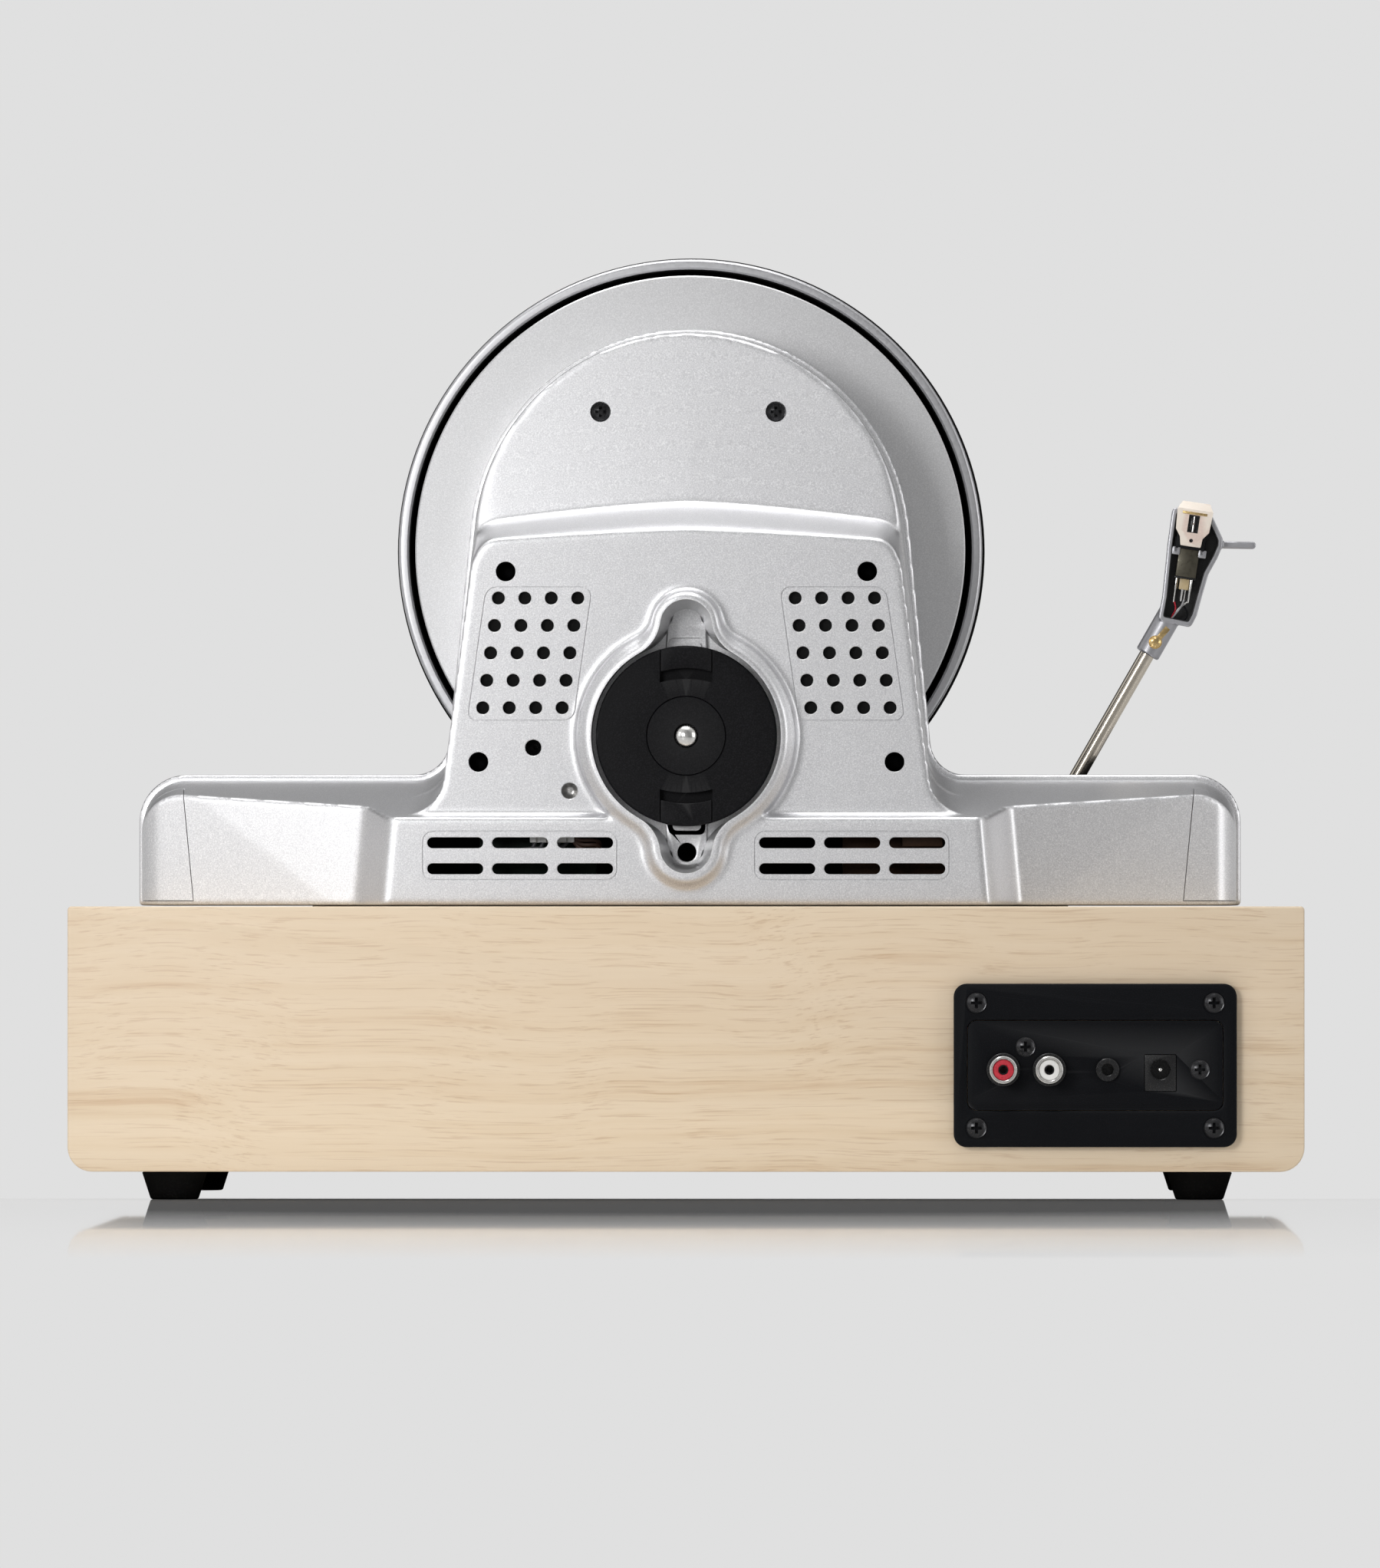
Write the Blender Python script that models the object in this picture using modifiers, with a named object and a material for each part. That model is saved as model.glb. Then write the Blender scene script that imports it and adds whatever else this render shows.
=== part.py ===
"""Vertical record player: a wooden speaker cabinet, a moulded deck with a tower that carries an
upright platter, a slot in which the lower part of a record stands, and a tonearm that rises from it.

Metres, with +Z up. The front looks along -Y, and the sockets and the stored clamp face +Y. The
floor is z = 0, and x = 0 is the middle of the cabinet. A ring or a solid of revolution is a profile
of (radius, place along its axis). An outline is a list of points in the plane that it is drawn in.
"""

import math

import bmesh
import bpy
from mathutils import Matrix, Vector

# Driving dimensions: the cabinet and its feet
CABINET_WIDTH = 0.380
CABINET_DEPTH = 0.2054
CABINET_HEIGHT = 0.0815
CABINET_CORNER_RADIUS = 0.0075
SIDE_THICKNESS = 0.009
BOARD_THICKNESS = 0.006
FOOT_HEIGHT = 0.0088
JACK_REACH = 0.0114

# Driving dimensions: the deck and its tower
DECK_HALF_WIDTH = 0.1717
DECK_HEIGHT = 0.0411
DECK_SHOULDER_RADIUS = 0.015
DECK_BACK_MARGIN = 0.009
DECK_FRONT_MARGIN = 0.0164
DECK_SLOPE = 0.19
REAR_HOUSING_DEPTH = 0.064
REAR_STEP = 0.0016
NECK_DEPTH = 0.011
WALL = 0.0022
TOWER_RADIUS = 0.0688
TOWER_LEAN = math.radians(5.6)
TOWER_FLARE_RADIUS = 0.0107

# Driving dimensions: the platter and its drive
PLATTER_RISE = 0.0701
PLATTER_RADIUS = 0.0912
PLATTER_DEPTH = 0.015
DISH_RADIUS = 0.0859
DISH_WALL = 0.0014
SPINDLE_RADIUS = 0.0036
DRIVE_RIM_RADIUS = 0.061
PULLEY_RADIUS = 0.004
MOTOR_X = 0.0472
MOTOR_DROP = 0.0623

# Driving dimensions: the record slot and the well under it
SLOT_DEPTH = 0.0575
SLOT_HALF_WIDTH = 0.138
WELL_HALF_WIDTH = 0.116
WELL_WALL = 0.002

# Driving dimensions: the tonearm
ARM_LEAN = math.radians(29.85)
ARM_PIVOT_X = -0.0755
ARM_PIVOT_RISE = 0.0347
ARM_STAND_OFF = 0.019
ARM_TUBE_RADIUS = 0.0024
ARM_TUBE_REACH = 0.144
TUBE_SEAT = 0.0082

# Driving dimensions: the clamp and the recess that stores it
CLAMP_DROP = 0.0587
CLAMP_RADIUS = 0.0278
RECESS_RADIUS = 0.0292
RECESS_RIM_RISE = 0.003

# Clearances and cuts
SEAT_GAP = 0.0003
SLIDE_GAP = 0.0004
TURN_GAP = 0.0003
PLATTER_GAP = 0.0010
CUT_OVERRUN = 0.002
JOIN_OVERLAP = 0.0006
WELD_DISTANCE = 0.000001
FLARE_SINK = 0.0001

# Counts of flats on round work, and the angle past which an edge stays sharp
FINE_STEPS = 56
ROUND_STEPS = 24
SMALL_STEPS = 16
HOLE_STEPS = 10
ARC_STEPS = 5
SHARP_ANGLE = math.radians(35)
PLANAR_ANGLE = math.radians(0.01)

# Places that follow from the driving dimensions
BACK_FACE_Y = (CABINET_DEPTH - JACK_REACH) / 2
FRONT_FACE_Y = BACK_FACE_Y - CABINET_DEPTH
CABINET_TOP_Z = FOOT_HEIGHT + CABINET_HEIGHT
DECK_BOTTOM_Z = CABINET_TOP_Z + SEAT_GAP
DECK_TOP_Z = CABINET_TOP_Z + DECK_HEIGHT
DECK_BACK_Y = BACK_FACE_Y - DECK_BACK_MARGIN
DECK_FRONT_Y = FRONT_FACE_Y + DECK_FRONT_MARGIN
PARTING_Y = DECK_BACK_Y - REAR_HOUSING_DEPTH
NECK_FRONT_Y = PARTING_Y - NECK_DEPTH
PLATTER_Z = DECK_TOP_Z + PLATTER_RISE
PLATTER_BACK_Y = NECK_FRONT_Y - 3 * PLATTER_GAP
PLATTER_FRONT_Y = PLATTER_BACK_Y - PLATTER_DEPTH
SLOT_BACK_Y = PLATTER_BACK_Y + PLATTER_GAP
SLOT_FRONT_Y = SLOT_BACK_Y - SLOT_DEPTH
WELL_FLOOR_Z = FOOT_HEIGHT + BOARD_THICKNESS + SEAT_GAP + WELL_WALL
MOTOR_Z = PLATTER_Z - MOTOR_DROP
CLAMP_Z = PLATTER_Z - CLAMP_DROP
ARM_Y = SLOT_FRONT_Y + ARM_STAND_OFF
ARM_PIVOT_Z = WELL_FLOOR_Z + ARM_PIVOT_RISE
HEADSHELL_START = ARM_TUBE_REACH - TUBE_SEAT

# Colour, roughness and metallic value of each finish
FINISHES = {
    "pale_wood": ((0.78, 0.62, 0.42), 0.55, 0.0),
    "silver_paint": ((0.62, 0.62, 0.63), 0.35, 0.6),
    "black_plastic": ((0.02, 0.02, 0.02), 0.55, 0.0),
    "black_rubber": ((0.015, 0.015, 0.015), 0.8, 0.0),
    "grille_cloth": ((0.03, 0.03, 0.03), 0.9, 0.0),
    "bright_steel": ((0.72, 0.71, 0.68), 0.18, 1.0),
    "dark_steel": ((0.05, 0.05, 0.05), 0.35, 0.9),
    "brass": ((0.75, 0.55, 0.25), 0.3, 1.0),
    "aluminium": ((0.7, 0.7, 0.7), 0.3, 1.0),
    "red_plastic": ((0.45, 0.02, 0.04), 0.35, 0.0),
    "white_plastic": ((0.85, 0.85, 0.83), 0.4, 0.0),
    "circuit_green": ((0.03, 0.2, 0.08), 0.5, 0.0),
}


# Scene and objects


def clear_scene():
    """Removes every object, so that only the record player is left."""
    for obj in list(bpy.data.objects):
        bpy.data.objects.remove(obj, do_unlink=True)


def new_collection(name):
    """Makes a collection and links it to the scene."""
    collection = bpy.data.collections.new(name)
    bpy.context.scene.collection.children.link(collection)
    return collection


clear_scene()
PARTS = new_collection("vertical_record_player")
CUTTERS = new_collection("cutters")


def add_object(name, mesh, frame=None):
    """Puts a mesh into the parts' collection at a frame, with its round faces shaded smooth."""
    obj = bpy.data.objects.new(name, mesh)
    PARTS.objects.link(obj)
    obj.matrix_world = frame or Matrix.Identity(4)
    if mesh.polygons:
        mesh.shade_smooth()
        mesh.set_sharp_from_angle(angle=SHARP_ANGLE)
    return obj


def paint(obj, finish):
    """Gives a part its own material, with the values of a finish."""
    colour, roughness, metallic = FINISHES[finish]
    material = bpy.data.materials.new(f"{obj.name}_{finish}")
    material.use_nodes = True
    shader = material.node_tree.nodes["Principled BSDF"]
    shader.inputs["Base Color"].default_value = (*colour, 1.0)
    shader.inputs["Roughness"].default_value = roughness
    shader.inputs["Metallic"].default_value = metallic
    obj.data.materials.clear()
    obj.data.materials.append(material)
    return obj


def boolean(obj, other, operation):
    """Cuts, joins or intersects obj with other, which becomes a hidden helper."""
    if other.name in PARTS.objects:
        PARTS.objects.unlink(other)
        CUTTERS.objects.link(other)
    other.hide_render = True
    other.display_type = "WIRE"
    modifier = obj.modifiers.new(f"{operation.lower()}_{other.name}", "BOOLEAN")
    modifier.operation = operation
    modifier.object = other
    modifier.solver = "EXACT"
    return obj


def cut(obj, *others):
    """Takes each of the others away from obj."""
    for other in others:
        boolean(obj, other, "DIFFERENCE")
    return obj


def join(obj, *others):
    """Fuses the others to obj."""
    for other in others:
        boolean(obj, other, "UNION")
    return obj


def soften(obj, edge, segments=2):
    """Rounds the sharp edges of obj."""
    bevel = obj.modifiers.new("edge", "BEVEL")
    bevel.width = edge
    bevel.segments = segments
    bevel.limit_method = "ANGLE"
    return obj


# Frames


def at(x, y, z):
    """A frame with the world's axes at a point."""
    return Matrix.Translation((x, y, z))


def along_y(x, z):
    """A frame whose Z axis is world +Y, so that a profile's place along its axis is a world y."""
    return at(x, 0, z) @ Matrix.Rotation(-math.pi / 2, 4, "X")


def arm_frame():
    """The tonearm's frame: Z runs up the tube, X across it along the lift axis, and Y is world +Y."""
    return at(ARM_PIVOT_X, ARM_Y, ARM_PIVOT_Z) @ Matrix.Rotation(-ARM_LEAN, 4, "Y")


# Outlines


def arc(centre, radius, start, end, steps=ARC_STEPS):
    """Points on an arc, from one angle to another."""
    points = []
    for i in range(steps + 1):
        angle = start + (end - start) * i / steps
        points.append((centre[0] + radius * math.cos(angle), centre[1] + radius * math.sin(angle)))
    return points


def circle(radius, centre=(0, 0), steps=HOLE_STEPS):
    """A closed circle."""
    return arc(centre, radius, 0, 2 * math.pi * (steps - 1) / steps, steps - 1)


def rounded_box(low, high, radii, steps=ARC_STEPS):
    """A rectangle whose corners, anticlockwise from the lower left, have the radii given."""
    corners = []
    centres = (
        (low[0], low[1], 1, 1),
        (high[0], low[1], -1, 1),
        (high[0], high[1], -1, -1),
        (low[0], high[1], 1, -1),
    )
    for number, (x, y, inward_x, inward_y) in enumerate(centres):
        radius = radii[number]
        if radius == 0:
            corners.append((x, y))
            continue
        centre = (x + inward_x * radius, y + inward_y * radius)
        start = math.pi + number * math.pi / 2
        corners.extend(arc(centre, radius, start, start + math.pi / 2, steps))
    return corners


def rounded_slot(width, height, centre, steps=ARC_STEPS):
    """A slot with half-round ends."""
    low = (centre[0] - width / 2, centre[1] - height / 2)
    high = (centre[0] + width / 2, centre[1] + height / 2)
    return rounded_box(low, high, [height / 2 - WELD_DISTANCE] * 4, steps)


def mirrored(half):
    """A closed outline from its right half, which runs from the bottom to the top."""
    return half + [(-x, y) for x, y in reversed(half) if abs(x) > WELD_DISTANCE]


def smooth_step(share):
    """Runs from 0 to 1 with level ends."""
    return share * share * (3 - 2 * share)


# Solids


def plate(name, outlines, axis, low, high, frame=None):
    """A flat plate square to an axis. Its outlines are drawn in the other two axes, in their order,
    and one inside another is a hole."""
    curve = bpy.data.curves.new(name, "CURVE")
    curve.dimensions = "2D"
    curve.fill_mode = "BOTH"
    curve.extrude = (high - low) / 2
    for outline in outlines:
        spline = curve.splines.new("POLY")
        spline.points.add(len(outline) - 1)
        spline.use_cyclic_u = True
        for point, (across, up) in zip(spline.points, outline):
            point.co = (across, up, 0, 1)
    middle = (low + high) / 2
    turns = {
        "X": Matrix(((0, 0, 1, middle), (1, 0, 0, 0), (0, 1, 0, 0), (0, 0, 0, 1))),
        "Y": Matrix(((1, 0, 0, 0), (0, 0, -1, middle), (0, 1, 0, 0), (0, 0, 0, 1))),
        "Z": Matrix(((1, 0, 0, 0), (0, 1, 0, 0), (0, 0, 1, middle), (0, 0, 0, 1))),
    }
    drawn = bpy.data.objects.new(name + "_outline", curve)
    PARTS.objects.link(drawn)
    graph = bpy.context.evaluated_depsgraph_get()
    mesh = bpy.data.meshes.new_from_object(drawn.evaluated_get(graph))
    bpy.data.objects.remove(drawn, do_unlink=True)
    mesh.transform(turns[axis])
    work = bmesh.new()
    work.from_mesh(mesh)
    bmesh.ops.remove_doubles(work, verts=work.verts, dist=WELD_DISTANCE)
    bmesh.ops.recalc_face_normals(work, faces=work.faces)
    work.to_mesh(mesh)
    work.free()
    mesh.name = name
    return add_object(name, mesh, frame)


def box(name, low, high, frame=None):
    """A box between two corners."""
    mesh = bpy.data.meshes.new(name)
    work = bmesh.new()
    bmesh.ops.create_cube(work, size=1)
    size = Vector(high) - Vector(low)
    middle = (Vector(high) + Vector(low)) / 2
    bmesh.ops.transform(work, matrix=Matrix.Diagonal((*size, 1)), verts=work.verts)
    bmesh.ops.translate(work, vec=middle, verts=work.verts)
    work.to_mesh(mesh)
    work.free()
    return add_object(name, mesh, frame)


def turned(name, profile, frame, steps=ROUND_STEPS, ring=False):
    """A solid of revolution. Its profile runs down the outer side, and a ring's runs up the bore."""
    mesh = bpy.data.meshes.new(name)
    edges = [(i, i + 1) for i in range(len(profile) - 1)]
    if ring:
        edges.append((len(profile) - 1, 0))
    mesh.from_pydata([(radius, 0, place) for radius, place in profile], edges, [])
    obj = add_object(name, mesh, frame)
    screw = obj.modifiers.new("turn", "SCREW")
    screw.steps = steps
    screw.render_steps = steps
    screw.use_merge_vertices = True
    screw.merge_threshold = WELD_DISTANCE
    screw.use_smooth_shade = True
    return obj


def bar(name, radius, low, high, frame, steps=SMALL_STEPS):
    """A plain round bar along the frame's Z axis."""
    return turned(name, [(0, high), (radius, high), (radius, low), (0, low)], frame, steps)


def pipe(name, radius, bore, low, high, frame, steps=SMALL_STEPS):
    """A plain tube along the frame's Z axis."""
    return turned(name, [(bore, high), (radius, high), (radius, low), (bore, low)], frame, steps, ring=True)


def loft(name, sections, frame=None):
    """Skins closed rings of equally many points, and closes the first and the last."""
    mesh = bpy.data.meshes.new(name)
    work = bmesh.new()
    rings = [[work.verts.new(point) for point in section] for section in sections]
    for ring, following in zip(rings, rings[1:]):
        for i, vert in enumerate(ring):
            after = (i + 1) % len(ring)
            work.faces.new((vert, ring[after], following[after], following[i]))
    bmesh.ops.connect_verts_nonplanar(work, angle_limit=PLANAR_ANGLE, faces=work.faces)
    work.faces.new(rings[0])
    work.faces.new(rings[-1])
    bmesh.ops.recalc_face_normals(work, faces=work.faces)
    work.to_mesh(mesh)
    work.free()
    return add_object(name, mesh, frame)


def upright(outline, y):
    """An outline drawn in x and z, set at a depth."""
    return [(x, y, z) for x, z in outline]


def place_origin(obj, point):
    """Moves an object's origin to a world point without moving its shape."""
    offset = obj.matrix_world.inverted() @ Vector(point)
    obj.data.transform(Matrix.Translation(-offset))
    obj.matrix_world = obj.matrix_world @ Matrix.Translation(offset)
    return obj


# The wooden cabinet: a full back panel, two sides, and boards between them


def cabinet():
    """The boards, the speaker baffle and the cloth grille."""
    half_width = CABINET_WIDTH / 2
    inner_half = half_width - SIDE_THICKNESS - SEAT_GAP
    back_panel_y = BACK_FACE_Y - SIDE_THICKNESS
    boards_back_y = back_panel_y - SEAT_GAP
    grille_recess = 0.001
    grille_thickness = 0.004
    baffle_thickness = 0.008
    speaker_hole_radius = 0.0185
    grille_edge = 0.0015

    lower_corners = [CABINET_CORNER_RADIUS, CABINET_CORNER_RADIUS, 0, 0]
    outline = rounded_box((-half_width, FOOT_HEIGHT), (half_width, CABINET_TOP_Z), lower_corners)
    middle_x, middle_z = jack_centre()
    hole_width = 0.030
    hole_height = 0.018
    hole_radius = 0.003
    hole_offsets = (0.0211, -0.0122)
    holes = [
        centred_box(hole_width, hole_height, (middle_x + offset, middle_z), hole_radius)
        for offset in hole_offsets
    ]
    back = plate("cabinet_back_panel", [outline, *holes], "Y", back_panel_y, BACK_FACE_Y)
    paint(back, "pale_wood")

    for name, side, radii in (
        ("cabinet_right_side", 1, [0, CABINET_CORNER_RADIUS, 0, 0]),
        ("cabinet_left_side", -1, [CABINET_CORNER_RADIUS, 0, 0, 0]),
    ):
        edges = sorted((side * half_width, side * (half_width - SIDE_THICKNESS)))
        outline = rounded_box((edges[0], FOOT_HEIGHT), (edges[1], CABINET_TOP_Z), radii)
        paint(plate(name, [outline], "Y", FRONT_FACE_Y, boards_back_y), "pale_wood")

    outline = rounded_box((-inner_half, FRONT_FACE_Y), (inner_half, boards_back_y), [0] * 4)
    bottom_top_z = FOOT_HEIGHT + BOARD_THICKNESS
    paint(plate("cabinet_bottom_board", [outline], "Z", FOOT_HEIGHT, bottom_top_z), "pale_wood")

    well_x = WELL_HALF_WIDTH + WELL_WALL + SEAT_GAP
    well_hole = rounded_box(
        (-well_x, SLOT_FRONT_Y - WELL_WALL - SEAT_GAP), (well_x, SLOT_BACK_Y + WELL_WALL + SEAT_GAP), [0] * 4
    )
    top_low_z = CABINET_TOP_Z - BOARD_THICKNESS
    paint(plate("cabinet_top_panel", [outline, well_hole], "Z", top_low_z, CABINET_TOP_Z), "pale_wood")

    low = (-inner_half, bottom_top_z + SEAT_GAP)
    high = (inner_half, top_low_z - SEAT_GAP)
    grille_y = FRONT_FACE_Y + grille_recess
    grille_back_y = grille_y + grille_thickness
    grille = plate("front_grille", [rounded_box(low, high, [0] * 4)], "Y", grille_y, grille_back_y)
    paint(soften(grille, grille_edge), "grille_cloth")

    baffle_y = grille_back_y + SEAT_GAP
    holes = [circle(speaker_hole_radius, (side * SPEAKER_X, speaker_z()), ROUND_STEPS) for side in (-1, 1)]
    baffle = plate(
        "front_baffle", [rounded_box(low, high, [0] * 4), *holes], "Y", baffle_y, baffle_y + baffle_thickness
    )
    paint(baffle, "pale_wood")
    return baffle_y + baffle_thickness


SPEAKER_SIDE_MARGIN = 0.060
SPEAKER_X = CABINET_WIDTH / 2 - SPEAKER_SIDE_MARGIN


def speaker_z():
    """The height of the speakers, midway up the cabinet."""
    return FOOT_HEIGHT + CABINET_HEIGHT / 2


def speakers(baffle_back_y):
    """Two drivers: a flange on the baffle's back, a cone, a basket and a magnet."""
    flange_radius = 0.0255
    flange_thickness = 0.002
    cone_radius = 0.0180
    cone_depth = 0.010
    dust_cap_radius = 0.0065
    dust_cap_rise = 0.003
    magnet_radius = 0.0145
    basket_depth = 0.016
    magnet_depth = 0.010
    front = baffle_back_y + SEAT_GAP
    basket_y = front + basket_depth
    profile = [
        (0, basket_y + magnet_depth),
        (magnet_radius, basket_y + magnet_depth),
        (magnet_radius, basket_y),
        (cone_radius + flange_thickness, front + flange_thickness),
        (flange_radius, front + flange_thickness),
        (flange_radius, front),
        (cone_radius, front),
        (dust_cap_radius, front + cone_depth),
        (0, front + cone_depth - dust_cap_rise),
    ]
    for name, side in (("speaker_right", 1), ("speaker_left", -1)):
        paint(turned(name, profile, along_y(side * SPEAKER_X, speaker_z()), ROUND_STEPS), "black_plastic")


def feet():
    """Four tapered feet under the bottom board."""
    top_radius = 0.0100
    bottom_radius = 0.0075
    side_margin = 0.032
    foot_x = CABINET_WIDTH / 2 - side_margin
    front_y = FRONT_FACE_Y + 2 * top_radius
    back_y = BACK_FACE_Y - 2 * top_radius
    bottom_edge = 0.0005
    top_z = FOOT_HEIGHT - SEAT_GAP
    profile = [
        (0, top_z),
        (top_radius, top_z),
        (bottom_radius + bottom_edge / 2, bottom_edge),
        (bottom_radius, 0),
        (0, 0),
    ]
    for end, y in (("front", front_y), ("rear", back_y)):
        for side, x in (("left", -foot_x), ("right", foot_x)):
            foot = turned(f"foot_{end}_{side}", profile, at(x, y, 0), SMALL_STEPS)
            paint(foot, "black_rubber")


# The connector panel on the back of the cabinet

PANEL_WIDTH = 0.0869
PANEL_HEIGHT = 0.0502
PANEL_THICKNESS = 0.0030
PANEL_INSET = 0.0208
PANEL_RISE = 0.0076
JACK_PLATE_WIDTH = 0.0782
JACK_PLATE_HEIGHT = 0.0274
JACK_PLATE_SINK = 0.0003
JACK_RISE = 0.0013


def panel_centre():
    """The middle of the connector panel, in x and z."""
    x = -CABINET_WIDTH / 2 + PANEL_INSET + PANEL_WIDTH / 2
    return x, FOOT_HEIGHT + PANEL_RISE + PANEL_HEIGHT / 2


def jack_centre():
    """The middle of the row of sockets, in x and z: a little under the panel's middle."""
    x, z = panel_centre()
    return x, z - JACK_RISE


def centred_box(width, height, centre, radius):
    """A rounded rectangle about a centre."""
    low = (centre[0] - width / 2, centre[1] - height / 2)
    high = (centre[0] + width / 2, centre[1] + height / 2)
    return rounded_box(low, high, [radius] * 4)


def cross_screw(name, x, z, head_y, head_radius, head_height, shank_radius, shank_length):
    """A dome-headed screw along Y with a cross recess, whose head sits on head_y."""
    recess_share = 0.6
    recess_width_share = 0.2
    recess_depth_share = 0.6
    dome_share = 0.72
    top_y = head_y + head_height
    profile = [
        (0, top_y),
        (head_radius * dome_share, top_y),
        (head_radius, head_y + head_height * (1 - dome_share)),
        (head_radius, head_y),
        (shank_radius, head_y),
        (shank_radius, head_y - shank_length),
        (0, head_y - shank_length),
    ]
    screw = turned(name, profile, along_y(x, z), HOLE_STEPS)
    reach = head_radius * recess_share
    half = head_radius * recess_width_share
    floor_y = top_y - head_height * recess_depth_share
    end_y = top_y + CUT_OVERRUN
    frame = at(x, 0, z)
    level = box(f"{name}_level_recess", (-reach, floor_y, -half), (reach, end_y, half), frame)
    upright_recess = box(f"{name}_upright_recess", (-half, floor_y, -reach), (half, end_y, reach), frame)
    return paint(cut(screw, level, upright_recess), "dark_steel")


def connector_panel():
    """The panel, the plate with its sockets, and their screws."""
    face_y = BACK_FACE_Y + SEAT_GAP
    panel_y = face_y + PANEL_THICKNESS
    corner_radius = 0.004
    plate_radius = 0.0028
    plate_gap = SEAT_GAP
    screw_inset_x = 0.0070
    screw_inset_z = 0.0059
    panel_screw_radius = 0.0031
    plate_screw_radius = 0.0030
    screw_head = 0.0009
    shank_radius = 0.0013
    shank_hole = shank_radius + SEAT_GAP
    middle = panel_centre()
    row = jack_centre()
    corners = []
    for side_x in (-1, 1):
        for side_z in (-1, 1):
            corners.append(
                (
                    middle[0] + side_x * (PANEL_WIDTH / 2 - screw_inset_x),
                    middle[1] + side_z * (PANEL_HEIGHT / 2 - screw_inset_z),
                )
            )
    window = centred_box(
        JACK_PLATE_WIDTH + 2 * plate_gap, JACK_PLATE_HEIGHT + 2 * plate_gap, middle, plate_radius + plate_gap
    )
    holes = [circle(shank_hole, corner) for corner in corners]
    outline = centred_box(PANEL_WIDTH, PANEL_HEIGHT, middle, corner_radius)
    paint(plate("connector_panel", [outline, window, *holes], "Y", face_y, panel_y), "black_plastic")
    head_y = panel_y + SEAT_GAP
    for number, (x, z) in enumerate(corners, 1):
        cross_screw(
            f"panel_screw_{number}", x, z, head_y, panel_screw_radius, screw_head,
            shank_radius, PANEL_THICKNESS,
        )

    plate_y = panel_y - JACK_PLATE_SINK
    inner_screw_offset = 0.0214
    inner_screw_rise = 0.0070
    outer_screw_offset = 0.0321
    inner_screw = (middle[0] + inner_screw_offset, row[1] + inner_screw_rise)
    outer_screw = (middle[0] - outer_screw_offset, row[1])
    screws = [inner_screw, outer_screw]
    rca_pitch = 0.0141
    rca_offset = 0.0282
    headphone_offset = 0.0038
    power_offset = 0.0200
    power_drop = 0.0010
    rca_one_x = middle[0] + rca_offset
    phono = [(rca_one_x, row[1]), (rca_one_x - rca_pitch, row[1])]
    rca_radius = 0.0042
    headphone = (middle[0] - headphone_offset, row[1])
    sleeve_radius = 0.0029
    power = (middle[0] - power_offset, row[1] - power_drop)
    power_width = 0.0095
    power_height = 0.0111
    holes = [circle(rca_radius + SEAT_GAP, centre, SMALL_STEPS) for centre in phono]
    holes.append(circle(sleeve_radius + SEAT_GAP, headphone, SMALL_STEPS))
    power_gap = 2 * SEAT_GAP
    holes.append(centred_box(power_width + power_gap, power_height + power_gap, power, SEAT_GAP))
    holes.extend(circle(shank_hole, centre) for centre in screws)
    outline = centred_box(JACK_PLATE_WIDTH, JACK_PLATE_HEIGHT, middle, plate_radius)
    paint(plate("jack_plate", [outline, *holes], "Y", face_y, plate_y), "black_plastic")
    for number, (x, z) in enumerate(screws, 1):
        cross_screw(
            f"jack_plate_screw_{number}", x, z, plate_y + SEAT_GAP, plate_screw_radius, screw_head,
            shank_radius, PANEL_THICKNESS,
        )
    phono_sockets(phono, rca_radius, plate_y)
    headphone_socket(headphone, sleeve_radius, plate_y)
    power_socket(power, power_width, power_height, plate_y)


def phono_sockets(places, radius, plate_y):
    """Two metal barrels with coloured inserts."""
    flange_radius = 0.0051
    flange_thickness = 0.0012
    end_y = BACK_FACE_Y + JACK_REACH
    barrel_bore = 0.0033
    insert_bore = 0.00155
    insert_sink = 0.0008
    barrel_tail = 0.012
    insert_floor = 0.004
    flange_y = plate_y + SEAT_GAP
    tail_y = flange_y - barrel_tail
    barrel = [
        (barrel_bore, end_y),
        (radius, end_y),
        (radius, flange_y + flange_thickness),
        (flange_radius, flange_y + flange_thickness),
        (flange_radius, flange_y),
        (radius, flange_y),
        (radius, tail_y),
        (barrel_bore, tail_y),
    ]
    insert_radius = barrel_bore - SEAT_GAP
    insert = [
        (insert_bore, end_y - insert_sink),
        (insert_radius, end_y - insert_sink),
        (insert_radius, tail_y),
        (0, tail_y),
        (0, tail_y + insert_floor),
        (insert_bore, tail_y + insert_floor),
    ]
    for side, finish, (x, z) in (("right", "red_plastic", places[0]), ("left", "white_plastic", places[1])):
        paint(turned(f"phono_socket_{side}", barrel, along_y(x, z), SMALL_STEPS, ring=True), "bright_steel")
        paint(turned(f"phono_insert_{side}", insert, along_y(x, z), SMALL_STEPS, ring=True), finish)


def headphone_socket(place, radius, plate_y):
    """A ring nut in front of the plate and a round body behind it."""
    ring_radius = 0.00355
    ring_thickness = 0.0010
    hole_radius = 0.00175
    body_radius = 0.0045
    body_tail = 0.014
    body_start = 0.0045
    ring_y = plate_y + SEAT_GAP
    profile = [
        (hole_radius, ring_y + ring_thickness),
        (ring_radius, ring_y + ring_thickness),
        (ring_radius, ring_y),
        (radius, ring_y),
        (radius, ring_y - body_start),
        (body_radius, ring_y - body_start),
        (body_radius, ring_y - body_tail),
        (0, ring_y - body_tail),
        (0, ring_y - body_tail + ring_thickness),
        (hole_radius, ring_y - body_tail + ring_thickness),
    ]
    paint(turned("headphone_socket", profile, along_y(*place), SMALL_STEPS, ring=True), "black_plastic")


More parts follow.
